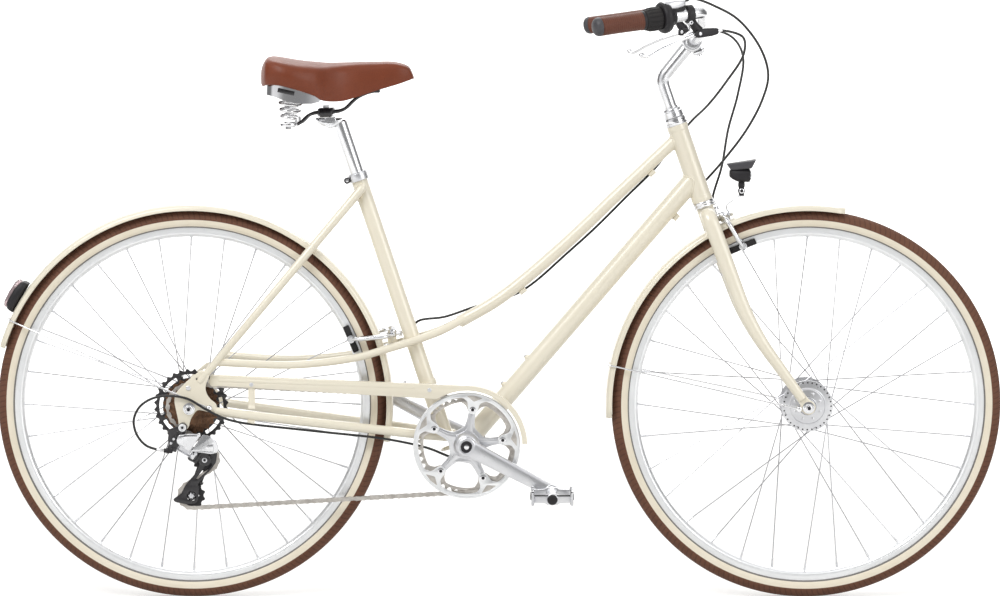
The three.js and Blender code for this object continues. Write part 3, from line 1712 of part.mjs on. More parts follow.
const cableBarrelRun = at(-0.9 * mountArmWidth, 0, -0.45 * mountArmWidth);
const cableBarrelRoot = mountPivot
  .clone()
  .addScaledVector(linkRun.clone().normalize(), -linkEyeRadius - 2 * linkCheek);

function derailleurMount() {
  const hangerY = -(rearDropoutInner + dropoutThickness + clearance);
  const hanger = at(rearAxle.x - hangerBoltBack, hangerY, rearAxle.z - hangerBoltDrop);
  const inner = at(hanger.x, -rearDropoutInner, hanger.z);
  const outerY = hangerY - mountArmWidth * 0.75;
  const boltHead = at(hanger.x, outerY, hanger.z);
  const armStart = at(hanger.x, (hangerY + outerY) / 2, hanger.z);
  const topCheek = mountPivot
    .clone()
    .addScaledVector(linkAxis, -(linkEyeShare * linkWidth + 2 * clearance + linkCheek));
  const armRun = topCheek.clone().sub(armStart);
  return join(
    rod(inner, boltHead, hangerBoltRadius, hangerBoltRadius, 6),
    rod(at(hanger.x, hangerY, hanger.z), boltHead, mountArmWidth / 2),
    bar(
      armStart.clone().addScaledVector(armRun, 0.5),
      armRun,
      lateral,
      armRun.length(),
      mountArmWidth * 0.6,
      mountArmWidth * 0.8,
    ),
    linkHolder(mountPivot, linkRun.clone().negate()),
    rod(
      cableBarrelRoot,
      cableBarrelRoot.clone().add(cableBarrelRun),
      cableAnchorRadius,
      cableAnchorRadius,
      8,
    ),
  );
}

const linkEnd = mountPivot.clone().addScaledVector(linkRun, 0.62);

const derailleurLink = () =>
  pinnedBar(mountPivot, linkEnd, linkAxis, 2 * linkEyeShare * linkWidth, linkEyeRadius, linkPinRadius);

function derailleurKnuckle() {
  const low = knucklePivot.y - knuckleLength / 2;
  const high = knucklePivot.y + knuckleLength / 2;
  const webFar = linkEnd
    .clone()
    .addScaledVector(linkRun.clone().normalize(), linkEyeRadius + linkCheek);
  const neckRun = knucklePivot.clone().sub(webFar);
  return join(
    linkHolder(linkEnd, linkRun),
    crossRod(knucklePivot, low, high, knuckleRadius),
    bar(
      webFar.clone().addScaledVector(neckRun, 0.5),
      neckRun,
      lateral,
      neckRun.length(),
      linkThickness,
      linkWidth * 0.6,
    ),
    crossRod(knucklePivot, low, -chainLine + cageInnerOffset - clearance, jockeyPinRadius, 8),
  );
}

function derailleurCage() {
  const run = lowerJockey.clone().sub(upperJockey);
  const middle = upperJockey.clone().add(lowerJockey).divideScalar(2);
  const half = cagePlateWidth / 2;
  const plateAt = (y) =>
    join(
      bar(middle.clone().setY(y), run, lateral, run.length(), cagePlateThickness, cagePlateWidth),
      crossRod(upperJockey, y - cagePlateThickness / 2, y + cagePlateThickness / 2, 1.15 * half, 8),
      crossRod(lowerJockey, y - cagePlateThickness / 2, y + cagePlateThickness / 2, half, 8),
    );
  const outer = -chainLine - cageInnerOffset - cagePlateThickness / 2;
  const inner = -chainLine + cageInnerOffset + cagePlateThickness / 2;
  const window = bar(
    middle.clone().setY(outer),
    run,
    lateral,
    run.length() * 0.35,
    cagePlateThickness * 2,
    cagePlateWidth * 0.4,
  );
  const axlePin = crossRod(lowerJockey, outer, inner, jockeyPinRadius, 8);
  const pivotRoom = crossBore(upperJockey, outer - cutOverrun, inner + cutOverrun, jockeyPinRadius, 8);
  return cut(join(cut(plateAt(outer), window), plateAt(inner), axlePin), pivotRoom);
}

// Chain guard: a long plate over the upper run that wraps the front of the ring.
function chainGuard() {
  const rear = at(rearAxle.x + chainGuardRearForward, 0, rearAxle.z + chainGuardRearLift);
  const wrapInner = chainGuardWrapRadius - chainGuardWrapWidth;
  const outline = [];
  const half = chainGuardHeight / 2;
  outline.push([rear.x, rear.z - half * 0.7]);
  outline.push([rear.x - half * 0.3, rear.z]);
  outline.push([rear.x, rear.z + half]);
  const steps = 8;
  for (let i = 0; i <= steps; i += 1) {
    const angle = radians(mix(92, 2, i / steps));
    outline.push([
      crankCentre.x + chainGuardWrapRadius * Math.cos(angle),
      crankCentre.z + chainGuardWrapRadius * Math.sin(angle),
    ]);
  }
  for (let i = 0; i <= steps; i += 1) {
    const angle = radians(mix(2, 122, i / steps));
    outline.push([
      crankCentre.x + wrapInner * Math.cos(angle),
      crankCentre.z + wrapInner * Math.sin(angle),
    ]);
  }
  const low = -chainGuardOut - chainGuardThickness;
  const high = -chainGuardOut;
  const inner = -chainGuardOut + chainGuardLip;
  const skin = plate(outline, low, high);
  const lipSteps = 8;
  const lipOutline = [[rear.x, rear.z + half]];
  const lipInner = [[rear.x, rear.z + half - chainGuardThickness]];
  for (let i = 0; i <= lipSteps; i += 1) {
    const angle = radians(mix(92, 2, i / lipSteps));
    const ring = (radius) => [
      crankCentre.x + radius * Math.cos(angle),
      crankCentre.z + radius * Math.sin(angle),
    ];
    lipOutline.push(ring(chainGuardWrapRadius));
    lipInner.push(ring(chainGuardWrapRadius - chainGuardThickness));
  }
  const lip = plate([...lipOutline, ...lipInner.reverse()], high - clearance, inner);
  const bracketX = rearAxle.x + chainGuardBracketForward;
  const stayPoint = chainStayLine(-1).getPointAt(0.87);
  const bracketTop = rear.z - half * 0.6;
  const bracketFoot = stayPoint.z + chainStayRadius + clearance;
  const bracketMiddle = (bracketTop + bracketFoot) / 2;
  const upright = bar(
    at(bracketX, (low + high) / 2, bracketMiddle),
    at(0, 0, 1),
    lateral,
    bracketTop - bracketFoot,
    chainGuardThickness,
    chainGuardBracketWidth,
  );
  const seat = bar(
    at(bracketX, (low - stayPoint.y * -1) / 2, bracketFoot + chainGuardThickness / 2),
    at(1, 0, 0),
    lateral,
    chainGuardBracketWidth,
    Math.abs(low - stayPoint.y) + chainGuardThickness,
    chainGuardThickness,
  );
  return join(skin, lip, upright, seat);
}

// Mudguards: an open channel round part of a wheel, drawn about the wheel's axle.
function mudguard(startTurn, endTurn, steps) {
  const rings = [];
  const outer = mudguardRadius;
  const inner = mudguardRadius - mudguardThickness;
  const edge = mudguardRadius - mudguardDepth;
  const shoulder = 0.6 * mudguardHalfWidth;
  const section = [
    [edge, -mudguardHalfWidth],
    [outer, -shoulder],
    [outer, shoulder],
    [edge, mudguardHalfWidth],
    [edge, mudguardHalfWidth - mudguardThickness],
    [inner, shoulder - mudguardThickness / 2],
    [inner, -shoulder + mudguardThickness / 2],
    [edge, -mudguardHalfWidth + mudguardThickness],
  ];
  for (let i = 0; i <= steps; i += 1) {
    const angle = radians(mix(startTurn, endTurn, i / steps));
    rings.push(section.map(([radius, y]) => at(radius * Math.cos(angle), y, radius * Math.sin(angle))));
  }
  return ringSolid(rings);
}

// Like loft, but the end faces are cut from the section's own outline.
function ringSolid(rings) {
  const count = rings[0].length;
  const corners = [];
  const push = (...points) => points.forEach((p) => corners.push(p.x, p.y, p.z));
  for (let i = 0; i + 1 < rings.length; i += 1) {
    for (let j = 0; j < count; j += 1) {
      const next = (j + 1) % count;
      push(rings[i][j], rings[i][next], rings[i + 1][next]);
      push(rings[i][j], rings[i + 1][next], rings[i + 1][j]);
    }
  }
  for (const [ring, flip] of [
    [rings[0], true],
    [rings[rings.length - 1], false],
  ]) {
    const half = count / 2;
    for (let j = 0; j + 1 < half; j += 1) {
      const a = ring[j];
      const b = ring[j + 1];
      const c = ring[count - 2 - j];
      const d = ring[count - 1 - j];
      if (flip) push(a, c, b, a, d, c);
      else push(a, b, c, a, c, d);
    }
  }
  const geometry = new THREE.BufferGeometry();
  geometry.setAttribute("position", new THREE.Float32BufferAttribute(corners, 3));
  return solidOf(geometry);
}

// A wire bent over the mudguard, from an eye at one axle end to an eye at the other.
function mudguardStay(turn, eyePlace, eyeSpread) {
  const angle = radians(turn);
  const wire = mudguardStayRadius;
  const along = at(Math.cos(angle), 0, Math.sin(angle));
  const corner = (radius, y) => along.clone().multiplyScalar(radius).setY(y);
  const half = mudguardHalfWidth + wire + clearance;
  const eyeMiddle = eyeSpread + wire;
  const side = (sign) => {
    const eye = at(eyePlace[0], sign * eyeMiddle, eyePlace[1]);
    const shoulder = eye.clone().lerp(corner(mudguardRadius, sign * eyeMiddle), mudguardStayStraightShare);
    return [
      eye,
      shoulder,
      corner(mudguardRadius - 1.5 * mudguardDepth, sign * half),
      corner(mudguardRadius + wire + clearance, sign * half),
    ];
  };
  const line = roundedPath([...side(-1), ...side(1).reverse()], 2 * wire, 1);
  const eyes = [-1, 1].map((sign) =>
    crossRod(at(eyePlace[0], 0, eyePlace[1]), sign * eyeSpread, sign * (eyeSpread + 2 * wire), 3 * wire, 6),
  );
  return join(bentTube(line, wire, 5), ...eyes);
}

// Seat post and saddle
function seatClamp() {
  const inner = around(seatTubeRadius + clearance, hubFaces);
  const low = seatTubeLength - seatClampHeight;
  const profile = [
    [inner, low],
    [seatClampRadius, low],
    [seatClampRadius, seatTubeLength],
    [inner, seatTubeLength],
    [inner, low],
  ];
  const ring = revolved(profile, seatFoot, hubFaces, turnTo(seatUp));
  const backwards = at(-seatUp.z, 0, seatUp.x);
  const earCentre = seatPoint(seatTubeLength - seatClampHeight / 2).addScaledVector(
    backwards,
    seatClampRadius + seatClampEar / 3,
  );
  const ear = bar(earCentre, backwards, lateral, seatClampEar, 1.6 * seatClampEar, 0.75 * seatClampHeight);
  const boltPlace = earCentre.clone().addScaledVector(backwards, clearance);
  const bolt = crossRod(boltPlace, -1.4 * seatClampEar, 1.4 * seatClampEar, seatClampBoltRadius, 8);
  return join(ring, ear, bolt);
}

// The saddle's places follow the end of its post.
const postTop = seatPoint(seatTubeLength + seatPostRise);
const saddleClampForward = saddleClampSetback - postTop.x;
const saddleClampHeight = postTop.z + saddleClampRise;
const springBack = saddleClampForward + springSetback;
const springFootHeight = saddleClampHeight - springFootDrop;
const springTopHeight = springFootHeight + springHeight;
const saddleNoseBack = saddleClampForward - saddleNoseReach;
const saddleBaseHeight = springTopHeight + saddleBaseRise;

function seatPost() {
  const headTop = saddleClampHeight - saddleClampDepth / 2 - clearance;
  const headLength = 1.2 * saddleClampLength;
  const headCentre = at(-saddleClampForward + 0.22 * headLength, 0, headTop - postHeadDepth / 2);
  return join(
    rod(seatPoint(seatTubeLength - seatPostInsertion), postTop, seatPostRadius),
    bar(headCentre, at(1, 0, 0), lateral, headLength, 0.62 * saddleClampWidth, postHeadDepth),
  );
}

const saddleClampCentre = at(-saddleClampForward, 0, saddleClampHeight);

function railLine(side) {
  const spread = side * railSpread;
  const clampHalf = saddleClampLength / 2;
  const footHeight = springFootHeight - springPlateThickness;
  return roundedPath(
    [
      at(-springBack, side * springSpread, footHeight),
      at(-springBack + springRadius, side * (springSpread - springRadius * 0.3), footHeight),
      at(-saddleClampForward - 2 * clampHalf, spread, saddleClampHeight),
      at(-saddleClampForward + 2.2 * clampHalf, spread, saddleClampHeight + railRadius),
      at(-saddleClampForward + 4 * clampHalf, 0.7 * spread, saddleBaseHeight - 4 * railRadius),
      at(-saddleNoseBack - 0.25 * saddleLength, 0.5 * spread, saddleBaseHeight - 2 * railRadius),
    ],
    2 * railRadius,
    1,
  );
}

function saddleClamp() {
  const body = bar(
    saddleClampCentre,
    at(1, 0, 0.03),
    lateral,
    saddleClampLength,
    saddleClampWidth,
    saddleClampDepth,
  );
  const holes = [-1, 1].map((side) => bentTube(railLine(side), around(railRadius + clearance, 6), 6));
  const bolt = rod(
    saddleClampCentre,
    saddleClampCentre.clone().add(at(0, 0, saddleClampDepth * 0.85)),
    0.3 * saddleClampLength,
    0.3 * saddleClampLength,
    6,
  );
  return cut(join(body, bolt), ...holes);
}

// Saddle stations from nose to tail: place, half width, top and bottom.
const saddleShares = [
  [0.0, 0.1, 0.5, 0.3],
  [0.03, 0.2, 0.72, 0.1],
  [0.1, 0.27, 0.84, 0.0],
  [0.25, 0.31, 0.85, -0.06],
  [0.4, 0.38, 0.82, -0.34],
  [0.53, 0.56, 0.81, -0.46],
  [0.62, 0.78, 0.82, -0.34],
  [0.7, 0.92, 0.84, -0.08],
  [0.8, 1.0, 0.9, 0.0],
  [0.9, 0.97, 0.98, 0.03],
  [0.96, 0.84, 0.97, 0.08],
  [0.99, 0.62, 0.8, 0.14],
  [1.0, 0.5, 0.64, 0.26],
];
const panShares = [
  [0.13, 0.17],
  [0.25, 0.2],
  [0.4, 0.26],
  [0.53, 0.42],
  [0.62, 0.6],
  [0.7, 0.73],
  [0.8, 0.8],
  [0.88, 0.76],
];

function saddleRing([placeShare, widthShare, topShare, bottomShare]) {
  const x = -saddleNoseBack - placeShare * saddleLength;
  const half = widthShare * saddleHalfWidth;
  const top = saddleBaseHeight + topShare * saddleHeight;
  const bottom = saddleBaseHeight + bottomShare * saddleHeight;
  const height = top - bottom;
  const sectionShares = [
    [0, 1],
    [0.5, 0.97],
    [0.84, 0.84],
    [1, 0.58],
    [0.97, 0.24],
    [0.9, 0],
  ];
  const right = sectionShares.map(([y, z]) => at(x, -y * half, bottom + z * height));
  const left = sectionShares.slice(1).map(([y, z]) => at(x, y * half, bottom + z * height));
  return [...right, ...left.reverse()];
}

// The pan's outline seen from above, as a prism between two heights.
function panPrism(growth, low, high) {
  const corner = ([placeShare, widthShare], side, i) => {
    const ahead = i === 0 ? growth : 0;
    const behind = i === panShares.length - 1 ? growth : 0;
    const x = -saddleNoseBack - placeShare * saddleLength + ahead - behind;
    return new THREE.Vector2(x, side * (widthShare * saddleHalfWidth + growth));
  };
  const right = panShares.map((share, i) => corner(share, -1, i));
  const left = panShares.map((share, i) => corner(share, 1, i)).reverse();
  const shape = new THREE.Shape([...right, ...left]);
  const depth = high - low;
  return placed(new THREE.ExtrudeGeometry(shape, { depth, bevelEnabled: false }), at(0, 0, low));
}

function saddleCover() {
  const cushion = loft(saddleShares.map(saddleRing));
  return cut(cushion, panPrism(clearance, saddleBaseHeight - saddleHeight, saddleBaseHeight));
}

// The steel pan under the cover, with the rails hooked into its nose.
function saddleFrame() {
  const panTop = saddleBaseHeight - clearance;
  const panLow = panTop - saddlePanThickness;
  const noseX = -saddleNoseBack - 0.25 * saddleLength;
  const noseBlock = bar(
    at(noseX, 0, panLow - railRadius),
    at(1, 0, 0),
    lateral,
    4 * railRadius,
    railSpread + 3 * railRadius,
    3 * railRadius,
  );
  const plates = [-1, 1].flatMap((side) => [
    rod(
      at(-springBack, side * springSpread, springFootHeight - 2 * springPlateThickness),
      at(-springBack, side * springSpread, springFootHeight - clearance),
      springEndRadius + springWireRadius,
      springEndRadius + springWireRadius,
      7,
    ),
    rod(
      at(-springBack, side * springSpread, springTopHeight + clearance),
      at(-springBack, side * springSpread, panLow + clearance),
      springRadius + springWireRadius,
      springRadius + springWireRadius,
      7,
    ),
  ]);
  const rails = [-1, 1].map((side) => bentTube(railLine(side), railRadius, 6));
  return join(panPrism(0, panLow, panTop), noseBlock, ...rails, ...plates);
}

// A coil spring's wire: wider turns at the top, with a straight end square to each plate.
function springLine(side) {
  const steps = springTurns * springStepsPerTurn;
  const wire = 2 * springWireRadius;
  const low = springFootHeight + wire + springWireRadius;
  const high = springTopHeight - wire - springWireRadius;
  const points = [];
  for (let i = 0; i <= steps; i += 1) {
    const share = i / steps;
    const radius = mix(springEndRadius, springRadius, share);
    const angle = 2 * Math.PI * springTurns * share;
    const x = radius * Math.cos(angle) - springBack;
    const y = side * (radius * Math.sin(angle) + springSpread);
    points.push(at(x, y, mix(low, high, share)));
  }
  const first = points[0].clone().setZ(springFootHeight);
  const last = points[steps].clone().setZ(springTopHeight);
  return new BentLine([first, first.clone().setZ(springFootHeight + wire), ...points,
    last.clone().setZ(springTopHeight - wire), last]);
}

// The least gap between turns, measured between points at least half a turn apart.
function leastTurnGap(line) {
  let least = Infinity;
  line.points.forEach((point, i) => {
    line.points.slice(i + springStepsPerTurn / 2).forEach((other) => {
      least = Math.min(least, point.distanceTo(other) - 2 * springWireRadius);
    });
  });
  return least;
}
console.log(`Saddle spring: least gap between turns ${leastTurnGap(springLine(1)).toFixed(2)} mm`);

const saddleSpring = (side) => bentTube(springLine(side), springWireRadius, springWireFaces);

// Lamps
const headlampCentre = at(headlampForward, 0, headlampRise);
const headlampPivot = at(headlampForward, 0, headlampRise - headlampHeight / 2 - headlampEarDrop);

function headlamp() {
  const profile = [
    [0, -0.5 * headlampLength],
    [0.3 * headlampHeight, -0.48 * headlampLength],
    [0.4 * headlampHeight, -0.1 * headlampLength],
    [0.5 * headlampHeight, 0.4 * headlampLength],
    [0.46 * headlampHeight, 0.5 * headlampLength],
    [0, 0.5 * headlampLength],
  ];
  const ear = bar(
    headlampPivot.clone().add(at(0, 0, headlampEarDrop)),
    at(0, 0, 1),
    lateral,
    2 * headlampEarDrop + headlampPinRadius,
    bracketFork - 2 * clearance,
    3 * headlampPinRadius,
  );
  const eye = crossRod(
    headlampPivot,
    -bracketFork / 2 + clearance,
    bracketFork / 2 - clearance,
    2 * headlampPinRadius,
    8,
  );
  const hole = crossBore(headlampPivot, -bracketFork, bracketFork, headlampPinRadius, 8);
  const shell = revolved(profile, headlampCentre, 12, turnTo(at(1, 0, 0)));
  return cut(join(shell, ear, eye), hole);
}

function headlampBracket() {
  const plateStart = brakeBoltRoot + 2 * (brakeLayer + clearance) + brakeNutLength + clearance;
  const hub = brakePoint(frontBrake, 0, plateStart + bracketThickness / 2, 0);
  const hubDisc = rod(
    brakePoint(frontBrake, 0, plateStart, 0),
    brakePoint(frontBrake, 0, plateStart + bracketThickness, 0),
    0.6 * bracketWidth,
    0.6 * bracketWidth,
    8,
  );
  const shelf = headlampPivot.clone().add(at(0, 0, -3 * headlampPinRadius));
  const neckTop = hub.clone().addScaledVector(steerUp, 2.4 * brakeNutRadius);
  const arm = strip([hub, neckTop, shelf], lateral, bracketWidth, bracketThickness);
  const cheeks = [-1, 1].map((side) =>
    bar(
      headlampPivot.clone().add(at(0, side * (bracketFork / 2 + bracketThickness / 2), -headlampPinRadius)),
      at(0, 0, 1),
      lateral,
      6 * headlampPinRadius,
      bracketThickness,
      3 * headlampPinRadius,
    ),
  );
  const pin = crossRod(headlampPivot, -bracketFork, bracketFork, headlampPinRadius, 6);
  const floor = bar(shelf, at(1, 0, 0), lateral, bracketWidth, bracketFork + 2 * bracketThickness, bracketThickness);
  const hole = bore(
    brakePoint(frontBrake, 0, 0, 0),
    brakePoint(frontBrake, 0, plateStart + brakeNutLength, 0),
    brakeBoltRadius,
    8,
  );
  return cut(join(hubDisc, arm, floor, ...cheeks, pin), hole);
}

// The tail lamp sits on the middle of one of the mudguard's flat steps.
function tailLamp() {
  const step = (rearMudguardEnd - rearMudguardStart) / rearMudguardSteps;
  const angle = radians(rearMudguardStart + step * tailLampStep);
  const outwards = at(Math.cos(angle), 0, Math.sin(angle));
  const along = at(-Math.sin(angle), 0, Math.cos(angle));
  const foot = mudguardRadius * Math.cos(radians(step / 2)) + clearance;
  const centre = rearAxle.clone().addScaledVector(outwards, foot + tailLampDepth / 2);
  const rings = [-0.5, -0.3, 0.3, 0.5].map((share) => {
    const size = Math.abs(share) > 0.4 ? 0.7 : 1;
    const place = centre.clone().addScaledVector(along, share * tailLampLength);
    const corner = (y, out) =>
      place
        .clone()
        .addScaledVector(lateral, (y * size * tailLampWidth) / 2)
        .addScaledVector(outwards, out * tailLampDepth);
    return [corner(-1, -0.4), corner(-0.85, 0.3 * size), corner(0, 0.5 * size), corner(0.85, 0.3 * size), corner(1, -0.4)];
  });
  const seat = bar(
    rearAxle.clone().addScaledVector(outwards, foot + 0.1 * tailLampDepth),
    along,
    lateral,
    0.5 * tailLampLength,
    0.4 * tailLampWidth,
    0.2 * tailLampDepth,
  );
  return join(loft(rings), seat);
}

// Cable routes, chosen by hand in millimetres
const shiftRoute = [
  at(371, -190, 1060),
  at(411, -172, 1038),
  at(452, -140, 990),
  at(470, -105, 941),
  at(462, -72, 895),
  at(437, -36, 841),
  at(404, -8, 793),
  at(379, 14, 761),
  at(361, 28, 742),
  at(335, 27, 731),
  at(305, 22, 706),
  at(200, 22, 585),
  at(100, 22, 470),
  at(0, 22, 356),
  at(-24, 24, 316),
  at(-30, 16, 277),
  at(-48, 0, 252),
  at(-80, -12, 253),
  at(-130, -30, 274),
  at(-205, -38, 291),
  at(-300, -48, 303),
  at(-400, -58, 315),
];
const loopRoute = [
  at(-430, -63, 319),
  at(-462, -72, 325),
  at(-490, -80, 334),
  at(-521, -82, 350),
  at(-552, -82, 368),
  at(-588, -80, 373),
  at(-617, -77, 367),
  at(-637, -76, 352),
  at(-647, -76, 328),
  at(-637, -77, 297),
  at(-620, -79, 277),
];
const rearBrakeRoute = [
  at(418, -196, 1008),
  at(423, -165, 979),
  at(396, -100, 927),
  at(368, -40, 885),
  at(345, 14, 858),
  at(327, 26, 836),
  at(306, 16, 808),
  at(279, 8, 773),
  at(226, 7, 720),
  at(172, 7, 666),
  at(117, 7, 616),
  at(63, 8, 568),
  at(30, 13, 546),
  at(-5, 17, 534),
  at(-45, 13, 523),
  at(-98, 13, 505),
  at(-147, 22, 496),
];
const frontBrakeRoute = [
  at(424, 190, 1006),
  at(444, 150, 970),
  at(432, 105, 902),
  at(412, 68, 838),
  at(400, 46, 775),
];

// A cable along its route, with a short straight lead at both ends.
function cable(start, leaving, route, end, arriving, steps) {
  const lead = 4 * cableRadius;
  const out = start.clone().addScaledVector(leaving, lead);
  const back = end.clone().addScaledVector(arriving, -lead);
  return tube(smooth([start, out, ...route, back, end]), steps, cableRadius, cableFaces);
}

// Where the lever's cable leaves the nose of its body.
function leverOutlet(side) {
  return leverPivot(side).addScaledVector(barAlong(side), 0.8 * leverBodyLength + clearance);
}

function anchorTop(brake) {
  const side = -brake.anchorSide;
  const layer = side === brake.anchorSide ? 1 : 0;
  const middle = brakeBoltRoot + layer * (brakeLayer + clearance) + brakeLayer / 2;
  return brakePoint(
    brake,
    -cableAnchorRise - cableAnchorRadius - cableEndGap,
    middle,
    brake.anchorSide * cableAnchorSpread,
  );
}

// Assembly
const bicycle = new THREE.Group();
const add = (name, body, material, parent = bicycle) => {
  const piece = pieceOf(name, body, material);
  parent.add(piece);
  return piece;
};
const groupAt = (place, turn = 0) => {
  const group = new THREE.Group();
  group.position.copy(place);
  group.rotation.y = turn;
  bicycle.add(group);
  return group;
};

add("head_and_down_tube", headAndDownTube(), cream);
add("top_tube", topTube(), cream);
add("seat_tube", seatTube(), cream);
add("chain_stays", chainStays(), cream);
add("headset", headset(), polished);
add("seat_clamp", seatClamp(), polished);
add("seat_post", seatPost(), polished);
add("saddle_clamp", saddleClamp(), blackSteel);
add("saddle_frame", saddleFrame(), polished);
add("saddle_spring_left", saddleSpring(1), polished);
add("saddle_spring_right", saddleSpring(-1), polished);
add("saddle_cover", saddleCover(), brownVinyl);

add("fork", fork(), cream);
add("stem", stem(), polished);
add("handlebar", handlebar(), polished);
add("grip_left", grip(1, leftGripLength), brownVinyl);
add("grip_right", grip(-1, rightGripLength), brownVinyl);
add("shifter_sleeve", shifterSleeve(), blackPlastic);
add("shifter_body", shifterBody(), satinSilver);
add("lever_body_left", leverBody(1), blackPlastic);
add("lever_body_right", leverBody(-1), blackPlastic);
add("brake_lever_left", brakeLever(1), polished);
add("brake_lever_right", brakeLever(-1), polished);
add("front_brake_arm_left", brakeArm(frontBrake, 1), polished);
add("front_brake_arm_right", brakeArm(frontBrake, -1), polished);
add("rear_brake_arm_left", brakeArm(rearBrake, 1), polished);
add("rear_brake_arm_right", brakeArm(rearBrake, -1), polished);
add("headlamp", headlamp(), blackPlastic);
add("headlamp_bracket", headlampBracket(), polished);
add("tail_lamp", tailLamp(), blackPlastic);

const frontWheel = groupAt(frontAxle);
add("front_tyre", tyre(), brownRubber, frontWheel);
add("front_rim", rim(), satinSilver, frontWheel);
add("front_hub", frontHub(), satinSilver, frontWheel);
const frontAxleBody = axleWithNuts(frontHubWidth / 2, forkDropoutInner, forkDropoutThickness);
add("front_axle", frontAxleBody, polished, frontWheel);
const frontEye = [-forkEyeletBack, -forkEyeletDrop];
add("front_mudguard", mudguard(frontMudguardStart, frontMudguardEnd, frontMudguardSteps), cream, frontWheel);
const frontEyeSpread = forkDropoutInner + forkDropoutThickness + clearance;
add("front_mudguard_stay", mudguardStay(frontStayTurn, frontEye, frontEyeSpread), polished, frontWheel);

const rearWheel = groupAt(rearAxle);
add("rear_tyre", tyre(), brownRubber, rearWheel);
add("rear_rim", rim(), satinSilver, rearWheel);
add("rear_hub", rearHub(), satinSilver, rearWheel);
add("rear_axle", axleWithNuts(rearHubWidth / 2, rearDropoutInner, dropoutThickness), polished, rearWheel);
add("cassette", cassette(), bronzeSteel, rearWheel);
const rearEye = [-0.1 * dropoutReach, 0.5 * dropoutReach];
add("rear_mudguard", mudguard(rearMudguardStart, rearMudguardEnd, rearMudguardSteps), cream, rearWheel);
const rearEyeSpread = rearDropoutInner + dropoutThickness + clearance;
add("rear_mudguard_stay", mudguardStay(rearStayTurn, rearEye, rearEyeSpread), polished, rearWheel);

const cranks = groupAt(crankCentre, radians(crankDownTurn));
add("bottom_bracket", cartridge(), satinSilver, cranks);
add("chainring", chainring(), polished, cranks);
add("crank_right", rightCrank(), polished, cranks);
const leftSide = groupAt(crankCentre, radians(crankDownTurn + 180));
add("crank_left", leftCrank(), polished, leftSide);
const pedalPlace = (turn) =>
  at(
    crankCentre.x + crankLength * Math.cos(radians(turn)),
    0,
    crankCentre.z - crankLength * Math.sin(radians(turn)),
  );
add("pedal_right", pedal(-1), satinSilver, groupAt(pedalPlace(crankDownTurn)));
add("pedal_left", pedal(1), satinSilver, groupAt(pedalPlace(crankDownTurn + 180)));
add("chain", chain(), bronzeSteel);
add("chain_guard", chainGuard(), cream);

add("derailleur_mount", derailleurMount(), blackSteel);
add("derailleur_link", derailleurLink(), satinSilver);
add("derailleur_knuckle", derailleurKnuckle(), blackSteel);
add("derailleur_cage", derailleurCage(), blackSteel);
add("upper_jockey_wheel", jockeyWheel(), blackPlastic, groupAt(upperJockey));
add("lower_jockey_wheel", jockeyWheel(), blackPlastic, groupAt(lowerJockey));

const barrelOut = cableBarrelRun.clone().normalize();
const barrelTip = cableBarrelRoot.clone().add(cableBarrelRun).addScaledVector(barrelOut, clearance);
const shiftPoints = [...shiftRoute, ...loopRoute];
const addCable = (name, start, leaving, route, end, arriving, steps) =>
  add(name, cable(start, leaving, route, end, arriving, steps), blackHousing);
addCable("shift_cable", shifterOutlet(), barAlong(-1), shiftPoints, barrelTip, barrelOut.clone().negate(), 42);
addCable(
  "rear_brake_cable",
  leverOutlet(-1),
  barAlong(-1),
  rearBrakeRoute,
  anchorTop(rearBrake),
  rearBrake.reach,
  27,
);
addCable(
  "front_brake_cable",
  leverOutlet(1),
  barAlong(1),
  frontBrakeRoute,
  anchorTop(frontBrake),
  frontBrake.reach,
  16,
);

export default bicycle;
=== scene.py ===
from math import atan2, asin, copysign, cos, exp, hypot, pi, radians, sin, sqrt
import bmesh
import bpy
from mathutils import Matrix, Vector


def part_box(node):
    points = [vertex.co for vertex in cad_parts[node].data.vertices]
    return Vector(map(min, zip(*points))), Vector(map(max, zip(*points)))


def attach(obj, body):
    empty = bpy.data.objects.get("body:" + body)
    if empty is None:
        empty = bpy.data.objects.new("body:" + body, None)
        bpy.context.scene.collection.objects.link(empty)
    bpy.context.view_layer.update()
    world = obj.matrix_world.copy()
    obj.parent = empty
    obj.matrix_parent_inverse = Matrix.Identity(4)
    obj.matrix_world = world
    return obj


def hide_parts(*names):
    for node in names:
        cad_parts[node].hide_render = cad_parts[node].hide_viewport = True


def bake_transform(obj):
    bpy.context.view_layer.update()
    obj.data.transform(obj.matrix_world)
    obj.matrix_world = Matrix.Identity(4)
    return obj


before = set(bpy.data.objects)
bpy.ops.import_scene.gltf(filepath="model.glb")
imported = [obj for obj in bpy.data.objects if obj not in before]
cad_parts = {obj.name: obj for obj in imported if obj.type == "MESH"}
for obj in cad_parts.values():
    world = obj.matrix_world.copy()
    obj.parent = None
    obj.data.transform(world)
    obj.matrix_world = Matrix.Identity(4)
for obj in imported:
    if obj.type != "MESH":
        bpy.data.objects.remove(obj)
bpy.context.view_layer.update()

toMetres = 0.001  # every place below is in millimetres, as in the CAD


def at(x, y, z):
    return Vector((x, y, z))


lateral = at(0, 1, 0)
rearAxle = at(-550, 0, 349)
frontAxle = at(550, 0, 349)
crankCentre = at(-58, 0, 281)
headBottom = at(363, 0, 713.5)
headAngle, seatAngle = radians(71), radians(71.6)
steerUp = at(-cos(headAngle), 0, sin(headAngle))
steerOut = at(sin(headAngle), 0, cos(headAngle))
seatFoot = at(-97, 0, 292)
seatUp = at(-cos(seatAngle), 0, sin(seatAngle))


# A point at a distance and a turn, seen from the side
def polar(radius, turn, y=0):
    return at(cos(turn) * radius, y, sin(turn) * radius)


def flatPolar(radius, turn):
    return cos(turn) * radius, sin(turn) * radius


